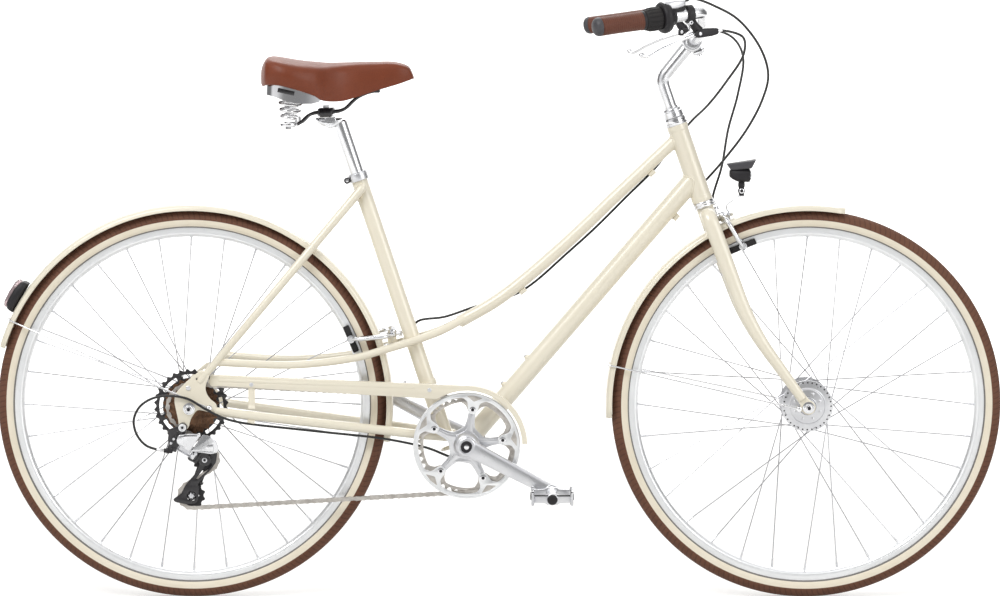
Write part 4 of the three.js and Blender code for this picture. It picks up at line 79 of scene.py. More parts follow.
def steerPoint(along, out=0, side=0):
    return headBottom + steerUp * along + steerOut * out + lateral * side


brakeBolt = -36  # the front brake's bolt, along the steering line


def seatPoint(along, side=0):
    return seatFoot + seatUp * along + lateral * side


# Shapes are (points, faces) pairs; several make one piece

def mix(a, b, share):
    return a + (b - a) * share


# Rows of (share, value...) read at one share
def between(rows, share):
    for low, high in zip(rows, rows[1:]):
        if share <= high[0]:
            k = 0 if high[0] == low[0] else max(0, (share - low[0]) / (high[0] - low[0]))
            return [mix(a, b, k) for a, b in zip(low[1:], high[1:])]
    return list(rows[-1][1:])


def smoothPath(points, perRun=8):
    pts = [Vector(p) for p in points]
    out = []
    for i in range(len(pts) - 1):
        p1, p2 = pts[i], pts[i + 1]
        p0 = pts[i - 1] if i else p1 * 2 - p2
        p3 = pts[i + 2] if i + 2 < len(pts) else p2 * 2 - p1
        d0, d1, d2 = [max((b - a).length, 1e-6) ** 0.5 for a, b in ((p0, p1), (p1, p2), (p2, p3))]
        t1 = ((p1 - p0) / d0 - (p2 - p0) / (d0 + d1) + (p2 - p1) / d1) * d1
        t2 = ((p2 - p1) / d1 - (p3 - p1) / (d1 + d2) + (p3 - p2) / d2) * d1
        for k in range(perRun):
            t = k / perRun
            out.append(p1 * (2 * t**3 - 3 * t**2 + 1) + t1 * (t**3 - 2 * t**2 + t)
                       + p2 * (-2 * t**3 + 3 * t**2) + t2 * (t**3 - t**2))
    return out + [pts[-1]]


def bentPath(points, bend, steps=6, closed=False):
    pts = [Vector(p) for p in points]
    out = []
    for i, now in enumerate(pts):
        if not closed and i in (0, len(pts) - 1):
            out.append(now)
            continue
        back, on = pts[i - 1] - now, pts[(i + 1) % len(pts)] - now
        a = now + back.normalized() * min(bend, back.length * 0.48)
        b = now + on.normalized() * min(bend, on.length * 0.48)
        for k in range(steps + 1):
            t = k / steps
            out.append(a * (1 - t) ** 2 + now * 2 * t * (1 - t) + b * t**2)
    return out


def lengthOf(path):
    return sum((b - a).length for a, b in zip(path, path[1:]))


def gridFaces(rings, count, closedRound=True, closedAlong=False):
    faces = []
    for i in range(rings if closedAlong else rings - 1):
        for j in range(count if closedRound else count - 1):
            a, b = i * count + j, i * count + (j + 1) % count
            c, d = ((i + 1) % rings) * count + (j + 1) % count, ((i + 1) % rings) * count + j
            faces.append((a, b, c, d))
    return faces


def endFaces(rings, count):
    return [tuple(range(count))[::-1], tuple(range((rings - 1) * count, rings * count))]


# A bar along a path; size is a number, a (half side, half up) pair or a function of the share
def sweep(path, size, sides=16, side=None, edge=0.5, closed=False, turn=0, carry=False):
    path = [Vector(p) for p in path]
    whole = lengthOf(path) or 1
    if not closed and edge:
        first, last = path[0], path[-1]
        second = first.lerp(path[1], min(0.4, edge / (path[1] - first).length))
        nextToLast = last.lerp(path[-2], min(0.4, edge / (path[-2] - last).length))
        path = [first, second] + path[1:-1] + [nextToLast, last]
    n = len(path)
    points, gone, across = [], 0, None
    for i, p in enumerate(path):
        if closed:
            way = path[(i + 1) % n] - path[i - 1]
        else:
            way = path[min(i + 1, n - 1)] - path[max(i - 1, 0)]
        way.normalize()
        if i:
            gone += (p - path[i - 1]).length
        if side is not None and not (carry and i):
            across = Vector(side)
        elif across is None:
            across = way.cross(at(0.31, 0.83, 0.46))
        across = (across - way * across.dot(way)).normalized()
        up = way.cross(across)
        value = size(min(1, gone / whole)) if callable(size) else size
        a, b = value if isinstance(value, (tuple, list)) else (value, value)
        if not closed and edge and i in (0, n - 1):
            a, b = max(a - edge, a * 0.3), max(b - edge, b * 0.3)
        for j in range(sides):
            angle = 2 * pi * (j + 0.5) / sides + turn
            points.append(p + across * a * cos(angle) + up * b * sin(angle))
    faces = gridFaces(n, sides, True, closed)
    if not closed:
        faces += endFaces(n, sides)
    return points, faces


def straightBar(start, end, size, sides=16, side=None, edge=0.5):
    return sweep([start, start.lerp(end, 0.5), end], size, sides, side, edge)


# Half side and half up that change evenly along a bar
def tapering(first, last):
    return lambda share: (mix(first[0], last[0], share), mix(first[1], last[1], share))


# Half side and half up from rows of (share, half side, half up)
def sizesAlong(rows):
    return lambda share: tuple(between(rows, share))


# A lathe form: profile is (radius, along) rows; closed joins its ends into a ring
def turned(profile, origin, axis, steps=32, closed=False):
    axis = axis.normalized()
    u = axis.cross(at(0.2, 0.9, 0.1) if abs(axis.y) < 0.8 else at(1, 0, 0)).normalized()
    v = axis.cross(u)
    points = []
    for radius, along in profile:
        for j in range(steps):
            angle = 2 * pi * (j + 0.5) / steps
            points.append(origin + axis * along + (u * cos(angle) + v * sin(angle)) * max(radius, 0.001))
    faces = gridFaces(len(profile), steps, True, closed)
    if not closed:
        faces += endFaces(len(profile), steps)
    return points, faces


# Profile rows with their corners rounded off
def eased(profile, radius, closed=False):
    rows = [at(r, a, 0) for r, a in profile]
    return [(p.x, p.y) for p in bentPath(rows, radius, 2, closed)]


# The profile of a plain ring or disc
def square(inner, outer, low, high):
    return [(inner, low), (outer, low), (outer, high), (inner, high)]


# A turned solid with eased edges
def lathe(profile, soft, origin, axis, steps=32):
    return turned(eased(profile, soft), origin, axis, steps)


# A turned ring with eased edges
def hoop(profile, soft, origin, axis, steps=32):
    return turned(eased(profile, soft, True), origin, axis, steps, closed=True)


def roundRod(start, end, radius, edge=0.8, steps=24):
    run = end - start
    long = run.length
    edge = min(edge, long / 3, radius / 2)
    profile = [(radius - edge, 0), (radius - 0.3 * edge, 0.3 * edge), (radius, edge), (radius, long - edge),
               (radius - 0.3 * edge, long - 0.3 * edge), (radius - edge, long)]
    return turned(profile, start, run, steps)


def hexNut(centre, axis, radius, height, washer=0):
    axis = axis.normalized()
    shapes = [turned([(radius * 0.5, 0), (radius * 0.86, 0), (radius, height * 0.12), (radius, height * 0.86),
                      (radius * 0.86, height), (radius * 0.5, height)], centre + axis * washer, axis, 6)]
    if washer:
        shapes.append(lathe(square(radius * 0.4, radius * 1.25, 0, washer), 0.2, centre, axis, 24))
    return shapes


# A cap screw: a rounded head and, as its own shape, the lining of its hexagonal socket, which some pieces paint black
# as painted shade
def socketHead(centre, axis, radius, height):
    axis = axis.normalized()
    points, faces = turned([(radius * 0.55, height), (radius * 0.8, height), (radius, height * 0.75),
        (radius, 0), (0, 0)], centre, axis, 20)
    well = turned([(radius * 0.55, height), (radius * 0.5, height * 0.35), (0, height * 0.35)], centre, axis, 6)
    return (points, [f for f in faces if len(f) < 10]), well


# A box with rounded edges: length, width and height
def block(centre, along, across, size, soft=1.2, segments=2):
    x = along.normalized()
    y = (across - x * across.dot(x)).normalized()
    z = x.cross(y)
    box = bmesh.new()
    bmesh.ops.create_cube(box, size=1)
    for v in box.verts:
        v.co = Vector((v.co.x * size[0], v.co.y * size[1], v.co.z * size[2]))
    bmesh.ops.bevel(box, geom=box.edges[:], offset=min(soft, min(size) * 0.45), segments=segments,
                    profile=0.5, affect="EDGES")
    points = [centre + x * v.co.x + y * v.co.y + z * v.co.z for v in box.verts]
    box.verts.index_update()
    faces = [tuple(v.index for v in f.verts) for f in box.faces]
    box.free()
    return points, faces


def loft(rings):
    count = len(rings[0])
    points = [Vector(p) for ring in rings for p in ring]
    return points, gridFaces(len(rings), count) + endFaces(len(rings), count)


# A flat plate with holes and eased edges. Its plane is XZ unless right and up say otherwise
def plate(outline, low, high, holes=(), soft=0.4, origin=None, right=None, up=None):
    right = right or at(1, 0, 0)
    up = up or at(0, 0, 1)
    out = right.cross(up) * -1
    origin = origin or at(0, 0, 0)
    curve = bpy.data.curves.new("plateOutline", "CURVE")
    curve.dimensions = "2D"
    curve.fill_mode = "BOTH"
    soft = min(soft, (high - low) * 0.45)
    curve.extrude = (high - low) / 2 - soft
    curve.bevel_depth = soft
    curve.bevel_resolution = 1
    curve.offset = -soft
    for line in [outline, *holes]:
        spline = curve.splines.new("POLY")
        spline.points.add(len(line) - 1)
        for i, p in enumerate(line):
            spline.points[i].co = (p[0], p[1], 0, 1)
        spline.use_cyclic_u = True
    holder = bpy.data.objects.new("plateOutline", curve)
    mesh = bpy.data.meshes.new_from_object(holder)
    middle = (low + high) / 2
    points = [origin + right * v.co.x + up * v.co.y + out * (v.co.z + middle) for v in mesh.vertices]
    faces = [tuple(f.vertices) for f in mesh.polygons]
    bpy.data.objects.remove(holder)
    bpy.data.curves.remove(curve)
    bpy.data.meshes.remove(mesh)
    return points, faces


def ringLine(radius, steps, centre=(0, 0)):
    turns = [2 * pi * k / steps for k in range(steps)]
    return [(centre[0] + radius * cos(turn), centre[1] + radius * sin(turn)) for turn in turns]


def softLine(corners, bend, steps=4):
    return [(p.x, p.y) for p in bentPath([at(x, z, 0) for x, z in corners], bend, steps, True)]


# A long hole between two centres
def slotLine(a, b, radius, steps=6):
    way = atan2(b[1] - a[1], b[0] - a[0])
    line = []
    for centre, start in ((b, way - pi / 2), (a, way + pi / 2)):
        for k in range(steps + 1):
            angle = start + pi * k / steps
            line.append((centre[0] + radius * cos(angle), centre[1] + radius * sin(angle)))
    return line


# The bead where a tube of one radius meets the outside of a larger one
def weldBead(start, way, radius, core, coreWay, coreRadius, bead=1.7, steps=40):
    way, coreWay = way.normalized(), coreWay.normalized()
    u = way.cross(coreWay).normalized()
    v = way.cross(u)
    line = []
    for k in range(steps):
        angle = 2 * pi * k / steps
        p = start + u * radius * cos(angle) + v * radius * sin(angle)
        gap = (p - core) - coreWay * (p - core).dot(coreWay)
        run = way - coreWay * way.dot(coreWay)
        a, b, c = run.dot(run), 2 * gap.dot(run), gap.dot(gap) - coreRadius**2
        root = b * b - 4 * a * c
        t = (-b - sqrt(max(root, 0))) / (2 * a)
        line.append(p + way * t)
    return sweep(line, bead, 8, closed=True)


# One object from a list of (shape or list of shapes, material)
def makePiece(name, parts, body, replaces=(), sharp=38, weld=0.004):
    mesh = bpy.data.meshes.new(name)
    points, faces, slots, mats = [], [], [], []
    for shapes, mat in parts:
        if mat not in mats:
            mats.append(mat)
        for shape in (shapes if isinstance(shapes, list) else [shapes]):
            first = len(points)
            points.extend(Vector(p) * toMetres for p in shape[0])
            for face in shape[1]:
                faces.append(tuple(first + i for i in face))
                slots.append(mats.index(mat))
    mesh.from_pydata(points, [], faces)
    for mat in mats:
        mesh.materials.append(mat)
    for face, index in zip(mesh.polygons, slots):
        face.material_index = index
    work = bmesh.new()
    work.from_mesh(mesh)
    bmesh.ops.remove_doubles(work, verts=work.verts, dist=weld * toMetres)
    bmesh.ops.dissolve_degenerate(work, edges=work.edges, dist=weld * toMetres)
    bmesh.ops.recalc_face_normals(work, faces=work.faces)
    work.to_mesh(mesh)
    work.free()
    mesh.polygons.foreach_set("use_smooth", [True] * len(mesh.polygons))
    mesh.set_sharp_from_angle(angle=radians(sharp))
    piece = bpy.data.objects.new(name, mesh)
    bpy.context.scene.collection.objects.link(piece)
    if body:
        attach(piece, body)
    if replaces:
        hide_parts(*replaces)
    return piece


# Shared effects for the materials
def groupOf(name, inputs, outputs):
    tree = bpy.data.node_groups.new(name, "ShaderNodeTree")
    for label, value in inputs.items():
        kind = "NodeSocketVector" if isinstance(value, tuple) else "NodeSocketFloat"
        socket = tree.interface.new_socket(name=label, in_out="INPUT", socket_type=kind)
        socket.default_value = value
    for label in outputs:
        tree.interface.new_socket(name=label, in_out="OUTPUT", socket_type="NodeSocketFloat")
    return tree, tree.nodes.new("NodeGroupInput"), tree.nodes.new("NodeGroupOutput")


def feed(tree, value, node, name):
    tree.links.new(value, node.inputs[name])


# A node with its settings, and its sockets linked or set by name
def addNode(tree, kind, settings=None, **links):
    node = tree.nodes.new(kind)
    for key, value in (settings or {}).items():
        setattr(node, key, value)
    for key, value in links.items():
        where = int(key[1:]) if key[0] == "i" and key[1:].isdigit() else key.replace("_", " ")
        socket = node.inputs[where]
        if isinstance(value, bpy.types.NodeSocket):
            tree.links.new(value, socket)
        else:
            socket.default_value = value
    return node


def mathNode(tree, operation, a, b=0.0, clamp=False):
    return addNode(tree, "ShaderNodeMath", {"operation": operation, "use_clamp": clamp}, i0=a, i1=b).outputs[0]


def blendColour(tree, factor, a, b, kind="MIX"):
    node = tree.nodes.new("ShaderNodeMix")
    node.data_type = "RGBA"
    node.blend_type = kind
    for index, value in ((0, factor), (6, a), (7, b)):
        if isinstance(value, bpy.types.NodeSocket):
            tree.links.new(value, node.inputs[index])
        else:
            node.inputs[index].default_value = value
    return node.outputs[2]


def stepMask(tree, value, low, high):
    return addNode(tree, "ShaderNodeMapRange", {"interpolation_type": "SMOOTHSTEP"}, Value=value,
                   From_Min=low, From_Max=high).outputs[0]


def objectPlace(tree):
    return tree.nodes.new("ShaderNodeTexCoord").outputs["Object"]


# Slow, soft change of tone over a surface
def buildMottle():
    tree, inside, outside = groupOf("mottle", {"Scale": 12.0, "Spread": 0.4}, ["Mask"])
    place = objectPlace(tree)
    noise = addNode(tree, "ShaderNodeTexNoise", Vector=place, Scale=inside.outputs["Scale"], Detail=3.0,
                    Roughness=0.55)
    half = mathNode(tree, "MULTIPLY", inside.outputs["Spread"], 0.5)
    low = mathNode(tree, "SUBTRACT", 0.5, half)
    high = mathNode(tree, "ADD", 0.5, half)
    feed(tree, stepMask(tree, noise.outputs[0], low, high), outside, "Mask")
    return tree


# Fine pebbled grain: a height and a mask of its hollows, where materials paint shade
def buildGrain():
    tree, inside, outside = groupOf("grain", {"Scale": 900.0, "Detail": 2.0}, ["Height", "Hollows"])
    place = objectPlace(tree)
    cells = addNode(tree, "ShaderNodeTexVoronoi", {"feature": "SMOOTH_F1"}, Vector=place,
                    Scale=inside.outputs["Scale"])
    cells.inputs["Smoothness"].default_value = 0.7
    noise = addNode(tree, "ShaderNodeTexNoise", Vector=place, Scale=inside.outputs["Scale"],
                    Detail=inside.outputs["Detail"])
    height = mathNode(tree, "ADD", mathNode(tree, "MULTIPLY", cells.outputs["Distance"], 0.7),
                      mathNode(tree, "MULTIPLY", noise.outputs[0], 0.5))
    feed(tree, height, outside, "Height")
    feed(tree, stepMask(tree, height, 0.55, 0.8), outside, "Hollows")
    return tree


# The faint ripple of sprayed paint or plate
def buildPeel():
    tree, inside, outside = groupOf("peel", {"Scale": 260.0}, ["Height"])
    place = objectPlace(tree)
    noise = addNode(tree, "ShaderNodeTexNoise", Vector=place, Scale=inside.outputs["Scale"], Detail=1.0,
                    Roughness=0.4)
    feed(tree, noise.outputs[0], outside, "Height")
    return tree


# Scattered small scuffs and chips
def buildWear():
    tree, inside, outside = groupOf("wear", {"Scale": 60.0, "Amount": 0.1}, ["Mask"])
    place = objectPlace(tree)
    patches = addNode(tree, "ShaderNodeTexNoise", Vector=place, Scale=inside.outputs["Scale"], Detail=6.0,
                      Roughness=0.7)
    where = addNode(tree, "ShaderNodeTexNoise", Vector=place, Scale=6.0, Detail=1.0)
    level = mathNode(tree, "SUBTRACT", 0.78, inside.outputs["Amount"])
    spots = stepMask(tree, patches.outputs[0], level, mathNode(tree, "ADD", level, 0.05))
    feed(tree, mathNode(tree, "MULTIPLY", spots, stepMask(tree, where.outputs[0], 0.45, 0.6)), outside, "Mask")
    return tree


# Dust that settles on what faces up
def buildDust():
    tree, inside, outside = groupOf("dust", {"Scale": 25.0, "Amount": 0.2}, ["Mask"])
    place = objectPlace(tree)
    normal = addNode(tree, "ShaderNodeSeparateXYZ", Vector=tree.nodes.new("ShaderNodeNewGeometry").outputs["Normal"])
    noise = addNode(tree, "ShaderNodeTexNoise", Vector=place, Scale=inside.outputs["Scale"], Detail=4.0)
    facing = stepMask(tree, normal.outputs["Z"], 0.2, 1.0)
    patchy = mathNode(tree, "MULTIPLY", facing, stepMask(tree, noise.outputs[0], 0.3, 0.7))
    feed(tree, mathNode(tree, "MULTIPLY", patchy, inside.outputs["Amount"]), outside, "Mask")
    return tree


# Fine lines left by a brush or a lathe, along one direction
def buildBrush():
    tree, inside, outside = groupOf("brush", {"Stretch": (900.0, 40.0, 900.0)}, ["Height", "Mask"])
    place = objectPlace(tree)
    scaled = addNode(tree, "ShaderNodeVectorMath", {"operation": "MULTIPLY"}, i0=place, i1=inside.outputs["Stretch"])
    noise = addNode(tree, "ShaderNodeTexNoise", Vector=scaled.outputs[0], Scale=1.0, Detail=3.0, Roughness=0.6)
    feed(tree, noise.outputs[0], outside, "Height")
    feed(tree, stepMask(tree, noise.outputs[0], 0.42, 0.66), outside, "Mask")
    return tree


# Radius about a wheel's axle, and even slanted marks round its tread
def buildWheelLines():
    tree, inside, outside = groupOf("wheelLines", {"Axle X": 0.55, "Count": 120.0}, ["Radius", "Marks"])
    parts = addNode(tree, "ShaderNodeSeparateXYZ", Vector=objectPlace(tree))
    x = mathNode(tree, "SUBTRACT", parts.outputs["X"], inside.outputs["Axle X"])
    z = mathNode(tree, "SUBTRACT", parts.outputs["Z"], frontAxle.z * toMetres)
    radius = mathNode(tree, "SQRT", mathNode(tree, "ADD", mathNode(tree, "MULTIPLY", x, x),
        mathNode(tree, "MULTIPLY", z, z)))
    side = mathNode(tree, "ABSOLUTE", parts.outputs["Y"])
    turn = mathNode(tree, "ARCTAN2", z, x)
    slanted = mathNode(tree, "ADD", turn, mathNode(tree, "MULTIPLY", side, 1.6))
    marks = mathNode(tree, "SINE", mathNode(tree, "MULTIPLY", slanted, inside.outputs["Count"]))
    feed(tree, radius, outside, "Radius")
    feed(tree, marks, outside, "Marks")
    return tree


effects = {"mottle": buildMottle(), "grain": buildGrain(), "peel": buildPeel(), "wear": buildWear(),
           "dust": buildDust(), "brush": buildBrush(), "wheelLines": buildWheelLines()}
print("effects made")


def useEffect(tree, effect, **values):
    node = tree.nodes.new("ShaderNodeGroup")
    node.node_tree = effects[effect]
    for key, value in values.items():
        node.inputs[key.replace("_", " ")].default_value = value
    return node


def newMaterial(name):
    material = bpy.data.materials.new(name)
    material.use_nodes = True
    tree = material.node_tree
    return material, tree, tree.nodes["Principled BSDF"]


def setSurface(surface, settings):
    for key, value in settings.items():
        surface.inputs[key].default_value = value


def bumpTo(tree, surface, height, strength, distance):
    bump = addNode(tree, "ShaderNodeBump", Strength=strength, Distance=distance, Height=height)
    feed(tree, bump.outputs[0], surface, "Normal")
    return bump


# Gloss paint with orange peel, a soft change of tone, settled dust and small chips
def paintMaterial(name, values):
    material, tree, surface = newMaterial(name)
    setSurface(surface, {"Coat Weight": values["coat"], "Coat Roughness": values["coatRoughness"], "Coat IOR": 1.5})
    tone = useEffect(tree, "mottle", Scale=values["toneScale"], Spread=0.7)
    dust = useEffect(tree, "dust", Amount=values["dust"])
    chips = useEffect(tree, "wear", Scale=values["chipScale"], Amount=values["chips"])
    peel = useEffect(tree, "peel", Scale=values["peelScale"])
    colour = blendColour(tree, tone.outputs["Mask"], values["colour"], values["shade"])
    colour = blendColour(tree, dust.outputs["Mask"], colour, values["dustColour"])
    colour = blendColour(tree, chips.outputs["Mask"], colour, values["chipColour"])
    feed(tree, colour, surface, "Base Color")
    rough = addNode(tree, "ShaderNodeMapRange", Value=tone.outputs["Mask"], To_Min=values["rough"][0],
                    To_Max=values["rough"][1])
    rough = mathNode(tree, "ADD", rough.outputs[0], mathNode(tree, "MULTIPLY", dust.outputs["Mask"], 0.35))
    feed(tree, rough, surface, "Roughness")
    bumpTo(tree, surface, peel.outputs["Height"], values["peel"], 0.0006)
    return material


# Bare or plated metal: brushed lines, a slow change of gloss, and dull spots
def metalMaterial(name, values):
    material, tree, surface = newMaterial(name)
    surface.inputs["Metallic"].default_value = 1.0
    brush = useEffect(tree, "brush", Stretch=values["stretch"])
    tone = useEffect(tree, "mottle", Scale=values["toneScale"], Spread=0.6)
    spots = useEffect(tree, "wear", Scale=values["spotScale"], Amount=values["spots"])
    colour = blendColour(tree, tone.outputs["Mask"], values["colour"], values["shade"])
    colour = blendColour(tree, spots.outputs["Mask"], colour, values["spotColour"])
    feed(tree, colour, surface, "Base Color")
    low, high = values["rough"]
    rough = addNode(tree, "ShaderNodeMapRange", Value=tone.outputs["Mask"], To_Min=low, To_Max=high).outputs[0]
    rough = mathNode(tree, "ADD", rough, mathNode(tree, "MULTIPLY", brush.outputs["Mask"], values["brushRough"]))
    rough = mathNode(tree, "ADD", rough, mathNode(tree, "MULTIPLY", spots.outputs["Mask"], 0.25), True)
    feed(tree, rough, surface, "Roughness")
    bumpTo(tree, surface, brush.outputs["Height"], values["brush"], 0.0003)
    return material


# Moulded plastic, rubber or vinyl: grain with paler wear and dust, and painted shade in the grain's hollows
def mouldedMaterial(name, values):
    material, tree, surface = newMaterial(name)
    setSurface(surface, {"Coat Weight": values.get("coat", 0.0), "Coat Roughness": 0.3,
        "Specular IOR Level": values["specular"], "Sheen Weight": values.get("sheen", 0.0), "Sheen Roughness": 0.5})
    grain = useEffect(tree, "grain", Scale=values["grainScale"])
    tone = useEffect(tree, "mottle", Scale=values["toneScale"], Spread=0.7)
    dust = useEffect(tree, "dust", Amount=values["dust"])
    scuffs = useEffect(tree, "wear", Scale=values["scuffScale"], Amount=values["scuffs"])
    colour = blendColour(tree, tone.outputs["Mask"], values["colour"], values["shade"])
    # painted shade: the grain's hollows are darkened towards a darker copy of the colour
    colour = blendColour(tree, mathNode(tree, "MULTIPLY", grain.outputs["Hollows"], values["hollow"]), colour,
        values["hollowColour"])
    colour = blendColour(tree, scuffs.outputs["Mask"], colour, values["scuffColour"])
    colour = blendColour(tree, dust.outputs["Mask"], colour, values["dustColour"])
    feed(tree, colour, surface, "Base Color")
    low, high = values["rough"]
    rough = addNode(tree, "ShaderNodeMapRange", Value=tone.outputs["Mask"], To_Min=low, To_Max=high).outputs[0]
    rough = mathNode(tree, "ADD", rough, mathNode(tree, "MULTIPLY", dust.outputs["Mask"], 0.3), True)
    feed(tree, rough, surface, "Roughness")
    bumpTo(tree, surface, grain.outputs["Height"], values["grain"], 0.0005)
    return material


# Brown tread over a pale casing that shows on the side walls, with painted shade in the tread's sipe marks
def tyreMaterial(name, axleX, values):
    material, tree, surface = newMaterial(name)
    lines = useEffect(tree, "wheelLines", Axle_X=axleX, Count=values["sipes"])
    fine = useEffect(tree, "grain", Scale=values["grainScale"])
    tone = useEffect(tree, "mottle", Scale=30.0, Spread=0.6)
    dust = useEffect(tree, "wear", Scale=40.0, Amount=values["scuffs"])
    radius = lines.outputs["Radius"]
    tread = blendColour(tree, tone.outputs["Mask"], values["tread"], values["treadShade"])
    sipes = mathNode(tree, "MULTIPLY", stepMask(tree, lines.outputs["Marks"], 0.55, 0.9),
                     stepMask(tree, radius, values["treadFrom"], values["treadFrom"] + 0.004))
    # painted shade: the sipe marks darken the tread towards the groove colour, as well as cutting into its bump
    tread = blendColour(tree, mathNode(tree, "MULTIPLY", sipes, 0.45), tread, values["groove"])
    tread = blendColour(tree, mathNode(tree, "MULTIPLY", dust.outputs["Mask"], 0.5), tread, values["dustColour"])
    wall = blendColour(tree, tone.outputs["Mask"], values["wall"], values["wallShade"])
    colour = blendColour(tree, stepMask(tree, radius, values["treadFrom"] - 0.0003, values["treadFrom"]
        + 0.0003), wall, tread)
    bead = blendColour(tree, stepMask(tree, radius, values["beadTo"] - 0.0002, values["beadTo"] + 0.0004),
        values["bead"], colour)
    feed(tree, bead, surface, "Base Color")
    surface.inputs["Roughness"].default_value = 0.72
    surface.inputs["Specular IOR Level"].default_value = 0.35
    height = mathNode(tree, "SUBTRACT", mathNode(tree, "MULTIPLY", fine.outputs["Height"], 0.25), sipes)
    bumpTo(tree, surface, height, values["bump"], 0.0008)
    return material


creamPaint = paintMaterial("creamPaint", {"colour": (0.86, 0.805, 0.665, 1), "shade": (0.825, 0.765, 0.62, 1),
    "dustColour": (0.8, 0.76, 0.66, 1), "chipColour": (0.62, 0.56, 0.45, 1), "coat": 0.8,
    "coatRoughness": 0.06, "rough": (0.32, 0.4), "toneScale": 9.0, "chipScale": 160.0, "chips": 0.02,
    "dust": 0.12, "peelScale": 420.0, "peel": 0.12})
blackPaint = paintMaterial("blackPaint", {"colour": (0.012, 0.011, 0.013, 1),
    "shade": (0.019, 0.017, 0.02, 1), "dustColour": (0.1, 0.095, 0.09, 1), "chipColour": (0.3, 0.29, 0.28, 1),
    "coat": 0.3, "coatRoughness": 0.15, "rough": (0.3, 0.42), "toneScale": 40.0, "chipScale": 300.0,
    "chips": 0.03, "dust": 0.08, "peelScale": 900.0, "peel": 0.15})
polishedSilver = metalMaterial("polishedSilver", {"colour": (0.76, 0.765, 0.78, 1),
    "shade": (0.66, 0.665, 0.685, 1), "spotColour": (0.5, 0.5, 0.52, 1), "stretch": (500.0, 60.0, 500.0),
    "toneScale": 20.0, "spotScale": 200.0, "spots": 0.02, "rough": (0.14, 0.24), "brushRough": 0.05, "brush": 0.05})
satinSilver = metalMaterial("satinSilver", {"colour": (0.7, 0.705, 0.72, 1), "shade": (0.6, 0.605, 0.63, 1),
    "spotColour": (0.42, 0.42, 0.44, 1), "stretch": (700.0, 50.0, 700.0), "toneScale": 26.0,
    "spotScale": 220.0, "spots": 0.03, "rough": (0.26, 0.36), "brushRough": 0.1, "brush": 0.12})
chromePlate = metalMaterial("chromePlate", {"colour": (0.78, 0.78, 0.79, 1), "shade": (0.68, 0.68, 0.7, 1),
    "spotColour": (0.4, 0.36, 0.33, 1), "stretch": (300.0, 300.0, 300.0), "toneScale": 15.0,
    "spotScale": 400.0, "spots": 0.02, "rough": (0.06, 0.13), "brushRough": 0.02, "brush": 0.02})
rimSilver = metalMaterial("rimSilver", {"colour": (0.86, 0.87, 0.88, 1), "shade": (0.78, 0.79, 0.8, 1),
    "spotColour": (0.5, 0.5, 0.5, 1), "stretch": (90.0, 1500.0, 90.0), "toneScale": 12.0, "spotScale": 150.0,
    "spots": 0.02, "rough": (0.3, 0.42), "brushRough": 0.12, "brush": 0.12})
spokeSteel = metalMaterial("spokeSteel", {"colour": (0.5, 0.5, 0.52, 1), "shade": (0.4, 0.4, 0.42, 1),
    "spotColour": (0.3, 0.28, 0.26, 1), "stretch": (300.0, 300.0, 300.0), "toneScale": 30.0,
    "spotScale": 300.0, "spots": 0.03, "rough": (0.25, 0.35), "brushRough": 0.05, "brush": 0.05})
chainSteel = metalMaterial("chainSteel", {"colour": (0.6, 0.575, 0.54, 1), "shade": (0.42, 0.39, 0.36, 1),
    "spotColour": (0.14, 0.11, 0.09, 1), "stretch": (800.0, 800.0, 800.0), "toneScale": 90.0,
    "spotScale": 500.0, "spots": 0.06, "rough": (0.3, 0.45), "brushRough": 0.1, "brush": 0.1})
bronzeSteel = metalMaterial("bronzeSteel", {"colour": (0.16, 0.09, 0.055, 1), "shade": (0.07, 0.04, 0.026, 1),
    "spotColour": (0.04, 0.028, 0.02, 1), "stretch": (500.0, 2000.0, 500.0), "toneScale": 60.0,
    "spotScale": 400.0, "spots": 0.05, "rough": (0.3, 0.45), "brushRough": 0.12, "brush": 0.15})
brownVinyl = mouldedMaterial("brownVinyl", {"colour": (0.225, 0.052, 0.02, 1),
    "shade": (0.165, 0.037, 0.014, 1), "hollowColour": (0.09, 0.02, 0.009, 1),
    "scuffColour": (0.36, 0.14, 0.075, 1), "dustColour": (0.36, 0.2, 0.14, 1), "grainScale": 1100.0,
    "grain": 0.22, "hollow": 0.35, "toneScale": 14.0, "scuffScale": 180.0, "scuffs": 0.03, "dust": 0.04,
    "rough": (0.36, 0.46), "sheen": 0.02, "coat": 0.06, "specular": 0.26})
brownRubber = mouldedMaterial("brownRubber", {"colour": (0.15, 0.05, 0.029, 1),
    "shade": (0.12, 0.039, 0.022, 1), "hollowColour": (0.06, 0.02, 0.012, 1),
    "scuffColour": (0.3, 0.15, 0.1, 1), "dustColour": (0.3, 0.19, 0.15, 1), "grainScale": 700.0, "grain": 0.4,
    "hollow": 0.4, "toneScale": 30.0, "scuffScale": 180.0, "scuffs": 0.04, "dust": 0.06, "rough": (0.5, 0.62),
    "sheen": 0.05, "specular": 0.3})
blackPlastic = mouldedMaterial("blackPlastic", {"colour": (0.013, 0.012, 0.014, 1),
    "shade": (0.019, 0.017, 0.02, 1), "hollowColour": (0.007, 0.007, 0.008, 1),
    "scuffColour": (0.12, 0.12, 0.12, 1), "dustColour": (0.2, 0.19, 0.18, 1), "grainScale": 1500.0,
    "grain": 0.25, "hollow": 0.4, "toneScale": 40.0, "scuffScale": 260.0, "scuffs": 0.03, "dust": 0.05,
    "rough": (0.42, 0.55), "specular": 0.35})
greyPlastic = mouldedMaterial("greyPlastic", {"colour": (0.075, 0.073, 0.08, 1),
    "shade": (0.06, 0.058, 0.065, 1), "hollowColour": (0.05, 0.05, 0.055, 1),
    "scuffColour": (0.22, 0.22, 0.23, 1), "dustColour": (0.3, 0.29, 0.28, 1), "grainScale": 1500.0,
    "grain": 0.2, "hollow": 0.3, "toneScale": 40.0, "scuffScale": 260.0, "scuffs": 0.03, "dust": 0.06,
    "rough": (0.4, 0.5), "specular": 0.4})
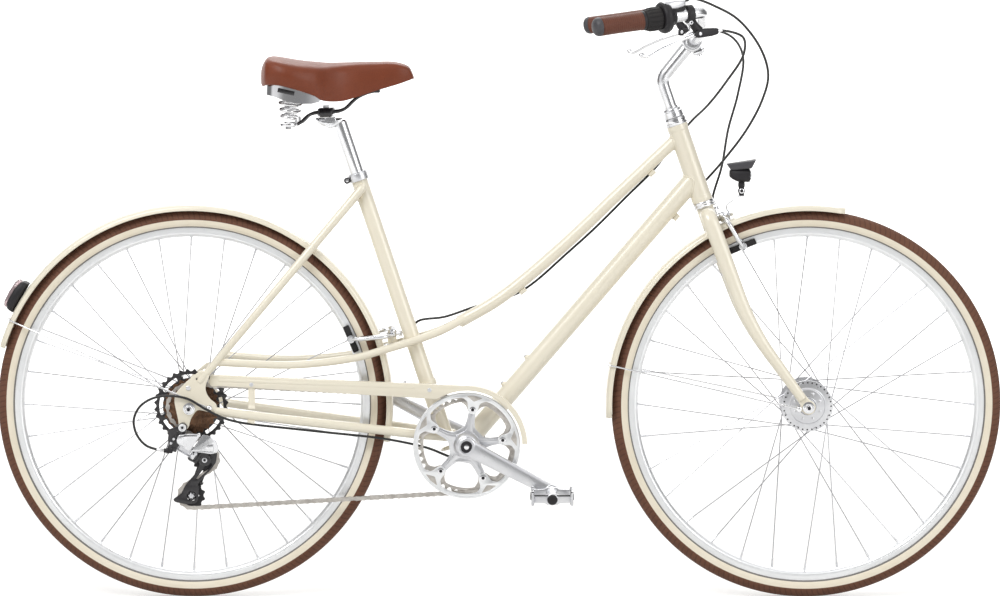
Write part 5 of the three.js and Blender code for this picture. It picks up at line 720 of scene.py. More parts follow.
blackRubber = mouldedMaterial("blackRubber", {"colour": (0.015, 0.014, 0.015, 1),
    "shade": (0.023, 0.021, 0.021, 1), "hollowColour": (0.008, 0.008, 0.008, 1),
    "scuffColour": (0.1, 0.095, 0.09, 1), "dustColour": (0.2, 0.18, 0.16, 1), "grainScale": 900.0,
    "grain": 0.35, "hollow": 0.4, "toneScale": 60.0, "scuffScale": 200.0, "scuffs": 0.06, "dust": 0.08,
    "rough": (0.6, 0.75), "specular": 0.3})
cableSheath = mouldedMaterial("cableSheath", {"colour": (0.016, 0.016, 0.016, 1),
    "shade": (0.022, 0.022, 0.022, 1), "hollowColour": (0.01, 0.01, 0.01, 1),
    "scuffColour": (0.09, 0.09, 0.09, 1), "dustColour": (0.14, 0.14, 0.13, 1), "grainScale": 2500.0,
    "grain": 0.08, "hollow": 0.2, "toneScale": 50.0, "scuffScale": 350.0, "scuffs": 0.03, "dust": 0.04,
    "rough": (0.34, 0.44), "coat": 0.08, "specular": 0.35})
# groove is the painted shade colour inside the tread's sipe marks
tyreLooks = {"tread": (0.155, 0.066, 0.038, 1), "treadShade": (0.125, 0.052, 0.03, 1),
             "groove": (0.06, 0.025, 0.016, 1), "wall": (0.87, 0.8, 0.66, 1),
             "wallShade": (0.83, 0.75, 0.6, 1), "bead": (0.2, 0.19, 0.18, 1),
             "dustColour": (0.3, 0.2, 0.15, 1), "treadFrom": 0.332, "beadTo": 0.3202, "sipes": 220.0,
             "grainScale": 1300.0, "scuffs": 0.04, "bump": 0.35}
frontTyreRubber = tyreMaterial("frontTyreRubber", 0.55, tyreLooks)
rearTyreRubber = tyreMaterial("rearTyreRubber", -0.55, tyreLooks)


# Moulded lens with fine optic ribs
def lensMaterial(name, colour, roughness, transmission):
    material, tree, surface = newMaterial(name)
    setSurface(surface, {"Base Color": colour, "Transmission Weight": transmission, "IOR": 1.49,
        "Roughness": roughness})
    brush = useEffect(tree, "brush", Stretch=(20.0, 1100.0, 700.0))
    bumpTo(tree, surface, brush.outputs["Height"], 0.35, 0.0006)
    return material


clearLens = lensMaterial("clearLens", (0.95, 0.96, 0.98, 1), 0.06, 0.85)
tailLens = lensMaterial("tailLens", (0.86, 0.66, 0.68, 1), 0.1, 0.7)
print("materials made")

# Camera first: far back on the drive side, level with the handlebar and tipped a little down
cameraSettings = {"place": (0.012, -5.85, 1.053), "tipDown": 5.012, "turn": 0.106, "focalPixels": 3281.0,
                  "pictureWidth": 1000, "sensorWidth": 36.0}


def makeCamera(settings):
    data = bpy.data.cameras.new("mainCamera")
    data.sensor_width = settings["sensorWidth"]
    data.lens = settings["focalPixels"] / settings["pictureWidth"] * settings["sensorWidth"]
    data.clip_end = 60.0
    camera = bpy.data.objects.new("mainCamera", data)
    camera.location = settings["place"]
    camera.rotation_euler = (radians(90 - settings["tipDown"]), 0, radians(settings["turn"]))
    bpy.context.scene.collection.objects.link(camera)
    bpy.context.scene.camera = camera


makeCamera(cameraSettings)

# Floor, backdrop and soft studio light
studioSettings = {"floorColour": (0.62, 0.615, 0.6, 1), "floorLift": 0.5, "worldLevel": 0.56,
                  "keyPower": 150.0, "fillPower": 54.0, "rimPower": 60.0, "gloss": ((0.0, 0.3), (0.035, 0.34),
                      (0.13, 0.95), (0.36, 1.0), (0.52, 0.22), (0.8, 0.22), (0.9, 1.0))}


def makeStudio(settings):
    scene = bpy.context.scene
    scene.view_settings.view_transform = "Standard"
    world = bpy.data.worlds.new("studioWorld")
    world.use_nodes = True
    scene.world = world
    tree = world.node_tree
    tree.nodes.clear()
    path = tree.nodes.new("ShaderNodeLightPath")
    # metal sees a white backdrop and side panels, with a dimmer room between them and in front
    way = addNode(tree, "ShaderNodeSeparateXYZ", Vector=tree.nodes.new("ShaderNodeTexCoord").outputs["Generated"])
    depth = addNode(tree, "ShaderNodeMapRange", Value=way.outputs["Y"], From_Min=-1.0, From_Max=1.0)
    ramp = addNode(tree, "ShaderNodeValToRGB", Fac=depth.outputs[0])
    stops = ramp.color_ramp.elements
    for i, (place, grey) in enumerate(settings["gloss"]):
        stop = stops[i] if i < 2 else stops.new(place)
        stop.position, stop.color = place, (grey, grey, grey, 1)
    gloss = mathNode(tree, "MAXIMUM", ramp.outputs[0], stepMask(tree, way.outputs["Z"], 0.35, 0.75))
    level = addNode(tree, "ShaderNodeMix", Factor=path.outputs["Is Glossy Ray"], A=settings["worldLevel"],
                    B=gloss).outputs[0]
    plain = mathNode(tree, "MAXIMUM", path.outputs["Is Camera Ray"], path.outputs["Is Transmission Ray"])
    back = addNode(tree, "ShaderNodeBackground", Color=(1, 1, 1, 1), Strength=mathNode(tree, "MAXIMUM", level,
        plain))
    out = tree.nodes.new("ShaderNodeOutputWorld")
    tree.links.new(back.outputs[0], out.inputs[0])
    # the floor curves up into the backdrop behind the bicycle
    width, front, back, bendRadius, top = 9.0, -7.0, 4.5, 2.0, 7.0
    profile = [(front, 0.0), (-3.0, 0.0), (0.0, 0.0), (2.0, 0.0)]
    for k in range(13):
        angle = radians(90 * k / 12)
        profile.append((back - bendRadius + bendRadius * sin(angle), bendRadius - bendRadius * cos(angle)))
    profile.append((back, top))
    points = [(x, y, z) for y, z in profile for x in (-width / 2, width / 2)]
    faces = [(2 * i, 2 * i + 1, 2 * i + 3, 2 * i + 2) for i in range(len(profile) - 1)]
    mesh = bpy.data.meshes.new("studioFloor")
    mesh.from_pydata(points, [], faces)
    mesh.polygons.foreach_set("use_smooth", [True] * len(mesh.polygons))
    floor = bpy.data.objects.new("studioFloor", mesh)
    scene.collection.objects.link(floor)
    material, tree, surface = newMaterial("studioPaper")
    surface.inputs["Base Color"].default_value = settings["floorColour"]
    surface.inputs["Roughness"].default_value = 0.9
    surface.inputs["Specular IOR Level"].default_value = 0.0
    path = tree.nodes.new("ShaderNodeLightPath")
    seen = mathNode(tree, "MAXIMUM", path.outputs["Is Camera Ray"], path.outputs["Is Glossy Ray"])
    seen = mathNode(tree, "MAXIMUM", seen, path.outputs["Is Transmission Ray"])
    surface.inputs["Emission Color"].default_value = (1, 1, 1, 1)
    # paper near the bicycle keeps its shadow, paper further off is plain white, and its back is clear
    away = addNode(tree, "ShaderNodeVectorMath", {"operation": "LENGTH"}, Vector=objectPlace(tree))
    lift = addNode(tree, "ShaderNodeMapRange", Value=away.outputs["Value"], From_Min=1.8, From_Max=3.4,
                   To_Min=settings["floorLift"], To_Max=1.0)
    feed(tree, mathNode(tree, "MULTIPLY", seen, lift.outputs[0]), surface, "Emission Strength")
    behind = tree.nodes.new("ShaderNodeNewGeometry").outputs["Backfacing"]
    feed(tree, mathNode(tree, "SUBTRACT", 1.0, behind), surface, "Alpha")
    mesh.materials.append(material)
    for name, place, aim, size, power in (("keyLight", (-2.6, -3.4, 4.4), (0, 0, 0.5), (3.2, 2.4),
            settings["keyPower"]), ("fillLight", (3.6, -3.0, 2.2), (0.1, 0, 0.6), (2.4, 2.4),
            settings["fillPower"]), ("rimLight", (0.4, 2.6, 3.8), (0, 0, 0.6), (3.0, 1.4), settings["rimPower"]),):
        light = bpy.data.lights.new(name, "AREA")
        light.shape = "RECTANGLE"
        light.size, light.size_y = size
        light.energy = power
        holder = bpy.data.objects.new(name, light)
        holder.location = place
        holder.rotation_euler = (Vector(aim) - Vector(place)).to_track_quat("-Z", "Y").to_euler()
        scene.collection.objects.link(holder)


makeStudio(studioSettings)
print("camera and studio made")

# Cables, on the routes that the CAD gives them
rightBarWay = at(0.9071, 0.4014, 0.12665)
leftBarWay = at(0.9071, -0.4014, 0.12665)
leftOutlet, rightOutlet = at(372.1, 216.2, 1017.5), at(372.1, -216.2, 1017.5)
cableSettings = {"radius": 2.2, "capRadius": 3.1, "capLength": 11.0, "sides": 12}


def routeOf(start, leaving, middle, end, arriving):
    return smoothPath([start, start + leaving * 10, *middle, end - arriving * 10, end], 6)


def cableShapes(path, settings, caps=(True, True)):
    shapes = [sweep(path, settings["radius"], settings["sides"], edge=0.3)]
    ends = []
    for here, way in ((path[0], path[1] - path[0]), (path[-1], path[-2] - path[-1])):
        way.normalize()
        cap = [(0, -0.4), (settings["capRadius"] - 0.4, -0.4), (settings["capRadius"], 0),
               (settings["capRadius"], settings["capLength"] - 3),
               (settings["radius"] + 0.25, settings["capLength"]), (0, settings["capLength"])]
        ends.append(turned(cap, here, way, 16))
    return shapes, [end for end, wanted in zip(ends, caps) if wanted]


shiftRoute = routeOf(at(321.9, -238.4, 1071.5), rightBarWay, [at(371, -190, 1060), at(411, -172, 1038),
    at(452, -140, 990), at(470, -105, 941), at(462, -72, 895), at(437, -36, 841), at(404, -8, 793),
    at(379, 14, 761), at(361, 28, 742), at(335, 27, 731), at(305, 22, 706), at(200, 22, 585),
    at(100, 22, 470), at(0, 22, 356), at(-24, 24, 316), at(-30, 16, 277), at(-48, 0, 252), at(-80, -12, 253),
    at(-130, -30, 274), at(-205, -38, 291), at(-300, -48, 303), at(-400, -58, 315), at(-430, -63, 319),
    at(-462, -72, 325), at(-490, -80, 334), at(-521, -82, 350), at(-552, -82, 368), at(-588, -80, 373),
    at(-617, -77, 367), at(-638, -76, 352), at(-648, -76, 329), at(-643, -77, 304), at(-627, -79.5, 285)],
    at(-596, -82, 275.7), at(0.985, 0, -0.17))
rearBrakeRoute = routeOf(rightOutlet, rightBarWay, [at(418, -196, 1008), at(423, -165, 979),
    at(396, -100, 927), at(368, -40, 885), at(345, 14, 858), at(327, 26, 836), at(306, 16, 808),
    at(279, 8, 773), at(226, 7, 720), at(172, 7, 666), at(117, 7, 616), at(63, 8, 568), at(30, 13, 546),
    at(-5, 17, 534), at(-45, 13, 523), at(-98, 13, 505), at(-147, 22, 496)], at(-171.3, 32, 474), at(-1, 0, 0))
frontBrakeRoute = routeOf(leftOutlet, leftBarWay, [at(424, 190, 1006), at(444, 150, 970),
    at(432, 105, 902), at(412, 68, 838), at(400, 46, 775)], at(385.9, 32, 705.2), at(0.3256, 0, -0.9455))

sheath, caps = cableShapes(shiftRoute, cableSettings)
shiftCable = makePiece("shiftCable", [(sheath, cableSheath), (caps, chromePlate)], None,
    ["shift_cable"])
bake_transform(shiftCable)
sheath, caps = cableShapes(rearBrakeRoute, cableSettings)
rearBrakeCable = makePiece("rearBrakeCable", [(sheath, cableSheath), (caps, chromePlate)], None,
    ["rear_brake_cable"])
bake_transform(rearBrakeCable)
sheath, caps = cableShapes(frontBrakeRoute, cableSettings)
makePiece("frontBrakeCable", [(sheath, cableSheath), (caps, chromePlate)], "steering",
          ["front_brake_cable"])
print("cables made:", [round(lengthOf(route)) for route in (shiftRoute, rearBrakeRoute, frontBrakeRoute)], "mm")

# Frame
frameSettings = {"headRadius": 18.0, "headLength": 144.0, "collar": 0.7, "downRadius": 17.5, "downTop": 44.6,
                 "shellRadius": 21.0, "shellHalf": 34.0, "topRadius": 11.1, "stayRadius": 7.0,
                 "seatRadius": 14.3, "seatLength": 497.0, "seatStayRadius": (8.0, 6.5),
                 "chainStayRadius": 8.5, "bossRadius": 4.0, "bossHeight": 7.0, "bead": 1.9}
topTubeLine = smoothPath([at(322.5, 0, 831), at(216.7, 0, 731.3), at(108.9, 0, 628.65), at(1.1, 0, 539.7),
    at(-71.5, 0, 496.9)], 12)
midStayCorners = [(-55, 2.4, 507.7), (-106.7, 14.9, 481.1), (-165, 26.9, 461.6), (-209, 34.1, 449.2),
                  (-254.1, 38.9, 436.9), (-364.1, 49.9, 425.1), (-503.3, 61.0, 430.9)]
chainStayCorners = [(-79, 22, 292), (-138.6, 33.7, 298.2), (-206.8, 39.6, 306.6), (-300.5, 48.4, 318),
    (-505, 70.8, 344)]
downFoot = at(-58, 0, 281)
downHead = steerPoint(frameSettings["downTop"])
downWay = (downHead - downFoot).normalized()


def onPath(path, share):
    goal, gone = lengthOf(path) * share, 0
    for a, b in zip(path, path[1:]):
        step = (b - a).length
        if gone + step >= goal:
            return a.lerp(b, (goal - gone) / step), (b - a).normalized()
        gone += step
    return path[-1], (path[-1] - path[-2]).normalized()


# A small slotted stop brazed under a tube, with its foot
def cableStop(place, way, down, radius=3.4, length=13):
    centre = place + down * (radius + 0.6)
    ring = eased([(1.3, -length / 2), (radius + 1.0, -length / 2), (radius + 1.0, length / 2),
                  (2.7, length / 2), (2.7, -length / 2 + 2), (1.3, -length / 2 + 2)], 0.3, True)
    return [turned(ring, centre, way, 20, closed=True), block(place + down * 0.2, way, down.cross(way),
        (length * 0.9, 4.6, 3.4), 0.8)]


def makeFrame(s):
    bead = s["bead"]
    radius, length = s["headRadius"], s["headLength"]
    wide = radius + s["collar"]
    head = hoop([(13.0, 0), (wide, 0), (wide, 9), (radius, 12), (radius, length - 12), (wide, length - 9),
                 (wide, length), (13.0, length)], 0.7, headBottom, steerUp, 48)
    down = sweep([downFoot + downWay * 6, downFoot.lerp(downHead, 0.5), downHead - downWay * 4], s["downRadius"], 40)
    shell = hoop(square(16.0, s["shellRadius"], -s["shellHalf"], s["shellHalf"]), 1.0, crankCentre, lateral, 48)
    joints = [weldBead(downFoot.lerp(downHead, 0.9), downWay, s["downRadius"], headBottom, steerUp,
        s["headRadius"], bead, 56), weldBead(downFoot.lerp(downHead, 0.1), -downWay, s["downRadius"],
        crankCentre, lateral, s["shellRadius"], bead, 56)]
    bottleLow = downFoot.lerp(downHead, 0.195)
    upNormal = lateral.cross(downWay) * -1
    if upNormal.z < 0:
        upNormal = upNormal * -1
    bosses, bolts = [], []
    for step in (0, 64):
        foot = bottleLow + downWay * step + upNormal * (s["downRadius"] - 1.2)
        bosses.append(lathe([(0, 0), (s["bossRadius"] + 2, 0), (s["bossRadius"] + 1.6, 1.8),
            (s["bossRadius"], 3.0), (s["bossRadius"], s["bossHeight"] - 2), (0, s["bossHeight"] - 2)], 0.5,
            foot, upNormal, 24))
        cap, well = socketHead(foot + upNormal * (s["bossHeight"] - 2.2), upNormal, 3.6, 2.2)
        bolts += [cap, well]
    stop = cableStop(downFoot.lerp(downHead, 0.88) - upNormal * (s["downRadius"] - 0.6), downWay, -upNormal)
    makePiece("headAndDownTube", [([head, down, shell, *joints, *bosses, *stop], creamPaint),
        (bolts, satinSilver)], "frame", ["head_and_down_tube"])

    # the top tube runs on as two thin stays
    tube = sweep(topTubeLine, s["topRadius"], 32, side=lateral)
    stays = []
    for side in (1, -1):
        line = smoothPath([at(x, side * y, z) for x, y, z in midStayCorners], 10)
        stays.append(sweep(line, s["stayRadius"], 24, side=lateral))
    headWay = (topTubeLine[0] - topTubeLine[1]).normalized()
    onward = [weldBead(topTubeLine[4], headWay, s["topRadius"], headBottom, steerUp, s["headRadius"], bead, 40)]
    endWay = topTubeLine[-1] - topTubeLine[-2]
    nose = turned([(0, 0), (s["topRadius"] * 0.5, -0.6), (s["topRadius"] * 0.85, -3), (s["topRadius"], -8),
                   (s["topRadius"], -12)], topTubeLine[-1] + endWay.normalized() * 4, endWay, 32)
    stops = []
    for share in (0.16, 0.76):
        place, way = onPath(topTubeLine, share)
        under = lateral.cross(way)
        under = -under if under.z > 0 else under
        stops += cableStop(place + under * (s["topRadius"] - 0.6), way, under)
    makePiece("topTube", [([tube, nose, *stays, *onward, *stops], creamPaint)], "frame", ["top_tube"])


makeFrame(frameSettings)
print("frame made")

rearFrameSettings = {"dropoutReach": 50.0, "dropoutInner": 67.8, "dropoutThick": 6.0, "bridgeRadius": 6.0,
    "bridgePlace": (-192, 0, 455), "crossPlace": (-154.4, 0, 464.5), "yokePlace": (-87.5, 0, 292),
    "slotLength": 30.0}


def dropoutPlate(side, s):
    size = s["dropoutReach"]
    outline = [(-0.48, 0.56), (-0.1, 0.96), (0.44, 1.4), (0.76, 1.2), (0.58, 0.84), (0.6, 0.58), (0.74, 0.34),
               (0.98, 0.18), (1.0, -0.2), (0.3, -0.02), (0.16, -0.2), (0.04, -0.4)]
    outline = [(x * size, z * size) for x, z in outline] + [(-1.1, -35), (-11, -41), (-19.25, -34),
        (-18.7, -24), (-24, 1), (-26.5, 14)]
    holes = [ringLine(2.6, 20, (15, 53)), ringLine(3.2, 20, (36, 1.5)), ringLine(4.2, 24, (-11, -32))]
    low, high = s["dropoutInner"], s["dropoutInner"] + s["dropoutThick"]
    low, high = (low, high) if side > 0 else (-high, -low)
    return plate(softLine(outline, 7), low, high, holes, 1.0, rearAxle)


def makeRearFrame(f, s):
    # seat tube with its stays and slotted top; the slot and its round end are thin black pieces, painted shade
    radius, length = f["seatRadius"], f["seatLength"]
    tube = lathe([(radius, 0), (radius, length), (12.9, length), (12.9, length - 30)], 0.6, seatFoot, seatUp, 48)
    bead = weldBead(seatPoint(60), -seatUp, radius, crankCentre, lateral, f["shellRadius"], f["bead"], 48)
    stays = []
    for side in (1, -1):
        top, foot = seatPoint(469, side * 18), at(-533, side * 70.8, 395)
        outer, inner = f["seatStayRadius"]
        run = (foot - top).length
        profile = [(0, -9), (outer * 0.5, -8), (outer * 0.86, -4.5), (outer, 0), (inner, run - 6),
                   (inner * 0.8, run - 1), (0, run)]
        stays.append(turned(profile, top, foot - top, 28))
    backWay = at(-seatUp.z, 0, seatUp.x)
    # painted shade: a thin black strip fills the slot and a black disc its round end
    seatSlotShade = block(seatPoint(466) + backWay * (radius - 0.1), seatUp, lateral, (s["slotLength"], 2.2, 0.6), 0.2)
    seatSlotEndShade = lathe(square(0, 3.0, 0, 0.5), 0.2, seatPoint(450) + backWay * (radius - 0.25), backWay, 20)
    makePiece("seatTube", [([tube, bead, *stays], creamPaint), ([seatSlotShade, seatSlotEndShade], blackPlastic)], "frame",
              ["seat_tube"])

    # chain stays, their yoke and the dropouts
    shapes = []
    for side in (1, -1):
        line = smoothPath([at(x, side * y, z) for x, y, z in chainStayCorners], 10)
        shapes.append(sweep(line, tapering((8.5, 8.5), (6.6, 8.0)), 28, side=lateral, edge=3))
        shapes.append(dropoutPlate(side, s))
    yoke = Vector(s["yokePlace"])
    shapes.append(roundRod(yoke - lateral * 22, yoke + lateral * 22, f["chainStayRadius"], 4, 28))
    stopPlace, way = onPath(smoothPath([at(x, -y, z) for x, y, z in chainStayCorners], 10), 0.85)
    shapes += cableStop(stopPlace - at(0, 0, 7.0), way, at(0, 0, -1))
    bridge, cross = Vector(s["bridgePlace"]), Vector(s["crossPlace"])
    eyeBolts = []
    for side in (1, -1):
        place, way = rearAxle + at(-1, side * (s["dropoutInner"] + s["dropoutThick"]), 37), lateral * side
        eyeBolts += [lathe([(2.0, -0.5), (4.4, -0.5), (4.4, 1.2), (3.2, 2.0), (2.0, 2.0)], 0.4, place, way, 24)]
    makePiece("chainStays", [(shapes, creamPaint), (eyeBolts, satinSilver)], "frame", ["chain_stays"])
    ties = [roundRod(bridge - lateral * 30, bridge + lateral * 30, s["bridgeRadius"], 1, 24),
            roundRod(bridge, bridge + at(0, 0, 15.7), 8.0, 1.2, 28),
            roundRod(cross - lateral * 25, cross + lateral * 25, 6.2, 1, 24)]
    makePiece("stayBridges", [(ties, creamPaint)], "frame")


makeRearFrame(frameSettings, rearFrameSettings)

# Headset, fork and front brake bolt
forkSettings = {"crownDrop": 24.0, "bladeSpread": 38.0, "bendDrop": 235.0, "bendOut": 6.0, "bendSpread": 44.6,
                "tipInner": 50.0, "tipThick": 5.0, "lugRadius": 13.0, "columnRadius": 15.4, "boltRadius": 4.0,
                "nutRadius": 6.5, "eyelet": (-17, -2)}


def makeHeadset():
    lower = [(14, -10.3), (19.0, -10.3), (19.5, -9.4), (19.5, -6.4), (17.6, -6.0), (17.6, -5.2), (19.0, -5.0),
             (19.5, -4.2), (19.5, -1.0), (18.9, -0.1), (14, -0.1)]
    upper = [(14, 144.1), (18.9, 144.1), (19.5, 145.0), (19.5, 148.4), (18.0, 149.0), (18.0, 149.8),
             (19.3, 150.2), (19.3, 154.6), (18.4, 157.6), (14, 158.2)]
    rings = [turned(lower, headBottom, steerUp, 56, closed=True), turned(upper, headBottom, steerUp, 56,
        closed=True)]
    makePiece("headset", [(rings, chromePlate)], "frame", ["headset"])


def makeFork(s):
    blades, tips = [], []
    for side in (1, -1):
        dropoutY = side * (s["tipInner"] + s["tipThick"] / 2)
        bend = steerPoint(-s["bendDrop"], s["bendOut"], dropoutY)
        axle = at(frontAxle.x, dropoutY, frontAxle.z)
        end = axle + (bend - axle).normalized() * 16
        first = steerPoint(-s["crownDrop"], 0, side * 2)
        corner = steerPoint(-s["crownDrop"], 0, side * s["bladeSpread"])
        low = steerPoint(-s["bendDrop"], s["bendOut"], side * s["bendSpread"])
        middle = corner.lerp(low, 0.3)
        line = bentPath([first, corner, middle], 26, 10)[:-1] + bentPath([middle, low, end], 60, 10)

        def bladeSize(k):
            return between([(0, 13.5, 13.5), (0.07, 12.4, 13.8), (0.16, 11.2, 14.6), (0.5, 10.2, 13.0),
                            (0.86, 9.2, 9.6), (1, 8.0, 8.6)], k)

        blades.append(sweep(line, lambda k: tuple(bladeSize(k)), 32, side=steerUp if side > 0 else -steerUp,
            edge=3, carry=True))
        neck = end - axle
        lift = atan2(neck.z, neck.x)
        eye = atan2(s["eyelet"][1], s["eyelet"][0])
        outline = [flatPolar(23.7, lift - 0.36), flatPolar(23.7, lift + 0.36)]
        for turn, radius in ((mix(lift, eye + 2 * pi, 0.72), 13.6), (eye - 0.25, 20.5), (eye + 0.02, 22.0),
                (eye + 0.25, 20.5)):
            outline.append(flatPolar(radius, turn))
        for k in range(13):
            turn = mix(eye + 0.45, lift - 0.84, k / 12)
            outline.append(flatPolar(s["lugRadius"], turn))
        low, high = s["tipInner"], s["tipInner"] + s["tipThick"]
        low, high = (low, high) if side > 0 else (-high, -low)
        tips.append(plate(softLine(outline, 2, 3), low, high, [ringLine(2.6, 16, s["eyelet"])], 1.0, frontAxle))
    column = lathe([(0, -41), (13.5, -41), (s["columnRadius"], -36), (s["columnRadius"], -10.7),
                    (12.6, -10.7), (12.6, 158.4)], 1.0, headBottom, steerUp, 40)
    boss = roundRod(steerPoint(brakeBolt), steerPoint(brakeBolt, 15.6), 8.0, 1.2, 28)
    locknut = turned([(12.8, 158.6), (17.4, 158.6), (18.0, 159.3), (18.0, 168.5), (17.2, 169.3),
                      (16.2, 169.8), (16.2, 173.6), (15.4, 174.6), (11.6, 174.6)], headBottom, steerUp, 12)
    keyed = lathe(square(12.8, 18.4, 158.5, 160.6), 0.3, headBottom, steerUp, 40)
    bolt = roundRod(steerPoint(brakeBolt, 10), steerPoint(brakeBolt, 43.6), s["boltRadius"], 0.8, 20)
    nuts = hexNut(steerPoint(brakeBolt, 28.6), steerOut, s["nutRadius"], 6.0) + hexNut(steerPoint(brakeBolt,
        37.7), steerOut, s["nutRadius"], 6.0)
    makePiece("fork", [([*blades, *tips, column, boss], creamPaint),
        ([locknut, keyed, bolt, *nuts], polishedSilver)], "steering", ["fork"])


makeHeadset()
makeFork(forkSettings)
print("rear frame and fork made")

# Wheels: both on the same tyre and rim, with their own hubs
wheelSettings = {"tyreCentre": 330.0, "tyreRadius": 19.0, "rimOuter": 318.7, "rimInner": 301.0,
                 "rimHalf": 12.0, "steps": 180, "spokeRadius": 1.0, "spokesPerSide": 16, "spokeEnd": 298.8,
                 "valveFoot": 301.5, "lugDepth": 1.1, "grooveDepth": 0.9, "valveTurn": {"frontWheel": 119.0,
                     "rearWheel": 53.3}}


# A round section with a raised tread: two grooves round it and notched shoulders
def tyreShape(axle, s):
    rows = []
    for k in range(41):
        angle = radians(-128 + 256 * k / 40)
        out, across = flatPolar(s["tyreRadius"], angle)
        tread = abs(angle) < radians(84)
        size = 1.0 if tread else 0.965
        radius, y = s["tyreCentre"] + out * size, across * size
        groove = tread and 3.0 < abs(y) < 5.4
        rows.append((radius - (s["grooveDepth"] if groove else 0), y, tread and 10.0 < abs(y) < 17.5))
    inner = [(318.4, 14.6, False), (317.9, 11.6, False), (314.0, 10.6, False), (314.0, -10.6, False),
             (317.9, -11.6, False), (318.4, -14.6, False)]
    rows += inner
    steps = s["steps"] * 2
    points = []
    for radius, y, lug in rows:
        for j in range(steps):
            angle = 2 * pi * j / steps
            r = radius - (s["lugDepth"] if lug and j % 4 == 0 else 0)
            points.append(axle + polar(r, angle, y))
    return points, gridFaces(len(rows), steps, True, True)


def rimShape(axle, s):
    half, outer, inner = s["rimHalf"], s["rimOuter"], s["rimInner"]
    side = [(outer, half - 0.5), (outer - 0.5, half), (outer - 8.6, half), (outer - 9.0, half - 0.35),
            (outer - 9.4, half), (307.6, half), (306.4, half - 0.35), (303.4, half - 4.0),
            (301.8, half - 6.6), (inner, half - 9.4)]
    profile = side + [(r, -y) for r, y in side[::-1]] + [(outer, -half + 1.8), (315.0, -half + 1.8),
        (312.6, -6), (312.6, 6), (315.0, half - 1.8), (outer, half - 1.8)]
    return turned(profile, axle, lateral, s["steps"], closed=True)


def spokeShapes(axle, holeRadius, flangeY, s):
    spokes, nipples = [], []
    step = 360 / s["spokesPerSide"]
    for side in (1, -1):
        for i in range(s["spokesPerSide"]):
            leading = 1 if i % 2 == 0 else -1
            hubTurn = radians(i * step + (step / 2 if side > 0 else 0))
            rimTurn = hubTurn + radians(leading * 3 * step)
            y = flangeY[0 if side > 0 else 1]
            start = axle + polar(holeRadius, hubTurn, y + leading * 2.2)
            end = axle + polar(s["spokeEnd"], rimTurn, side * 2.5)
            way = (end - start).normalized()
            through = start - lateral * leading * 2.6
            head = lathe([(0, 0), (1.9, 0), (1.9, 0.7), (0, 1.4)], 0.3, through, lateral * -leading, 10)
            spokes += [sweep([through, start - lateral * leading * 0.2, start + way * 2.5,
                              start.lerp(end, 0.5), end], s["spokeRadius"], 8, edge=0), head]
            nipple = [(1.1, -13.5), (1.7, -13.0), (1.7, -6.0), (2.0, -4.6), (2.0, 2.8)]
            nipples.append(turned(nipple, end, way, 10))
    return spokes, nipples


def valveShape(name, axle, s):
    turn = radians(s["valveTurn"][name])
    inward = at(-cos(turn), 0, -sin(turn))
    foot = axle - inward * s["valveFoot"]
    stem = lathe([(0, 0), (6.0, 0), (6.0, 1.4), (4.2, 2.2), (3.9, 3), (3.9, 26), (0, 26)], 0.4, foot, inward, 18)
    cap = lathe([(0, 25), (4.4, 25), (4.4, 30), (3.6, 37), (0, 37.5)], 0.6, foot, inward, 12)
    return stem, cap


# Axle with its cones inside the frame ends and its domed nuts outside; a black disc in each end is painted shade for
# the axle's bore
def axleShapes(axle, half, hub, inside, outside):
    shapes = [roundRod(axle - lateral * half, axle + lateral * half, 5.0, 1.2, 20)]
    hollows = []
    for side in (1, -1):
        way = lateral * side
        hollows.append(turned([(3.1, half - 1), (3.1, half + 0.12), (0, half + 0.12)], axle, way, 16))
        shapes.append(lathe([(5, hub), (9, hub), (9, hub + inside - 1.6), (7.4, hub + inside),
            (5, hub + inside)], 0.5, axle, way, 24))
        shapes += hexNut(axle + way * (outside + 1.6), way, 8.5, 6.4)
        shapes.append(lathe(square(5, 10.6, outside, outside + 1.6), 0.3, axle, way, 32))
    return [(shapes, polishedSilver), (hollows, blackPlastic)]


def makeWheel(name, axle, body, tyreRubber, s):
    makePiece(name + "Tyre", [(tyreShape(axle, s), tyreRubber)], body,
              [name.replace("Wheel", "_tyre")], sharp=28)
    stem, cap = valveShape(name, axle, s)
    makePiece(name + "Rim", [(rimShape(axle, s), rimSilver)], body, [name.replace("Wheel", "_rim")])
    makePiece(name + "Valve", [(stem, satinSilver), (cap, blackPlastic)], body)


def makeFrontHub(s):
    axle = frontAxle
    body = lathe([(20, -30), (24, -27), (24, 27), (20, 30)], 1.5, axle, lateral, 56)
    shell, marks = [], []
    for side in (1, -1):
        way = lateral * side
        shell.append(lathe([(22, 27.4), (46, 27.6), (46, 32.4), (33, 32.6), (31, 34.6), (30, 36), (16, 36.2),
            (14.5, 38), (13, 40), (13, 44), (6, 44)], 0.7, axle, way, 72))
        marks.append(hoop(square(13.6, 15.4, 36.3, 37.6), 0.3, axle, way, 48))
        for k in range(8):
            turn = radians(45 * k + 22.5)
            place = axle + polar(24, turn, 36 * side)
            shell.append(lathe([(0, -0.5), (2.6, -0.5), (2.6, 0.5), (1.2, 1.0), (0, 1.0)], 0.25, place, way, 14))
        # painted shade: small black dots round each flange stand for the shade in its spoke holes
        for k in range(32):
            turn = radians(11.25 * k)
            marks.append(turned([(1.5, -0.3), (1.5, 0.15), (0, 0.15)], axle + polar(42.2, turn, 32.4 * side),
                way, 8))
    spokes, nipples = spokeShapes(axle, 40, (30, -30), s)
    makePiece("frontHub", [([body, *shell], satinSilver), (marks, blackRubber), (spokes, spokeSteel),
        (nipples, satinSilver)], "front_wheel", ["front_hub"])
    makePiece("frontAxle", axleShapes(axle, 67.3, 44.3, 5.4, 55.3), "steering", ["front_axle"])


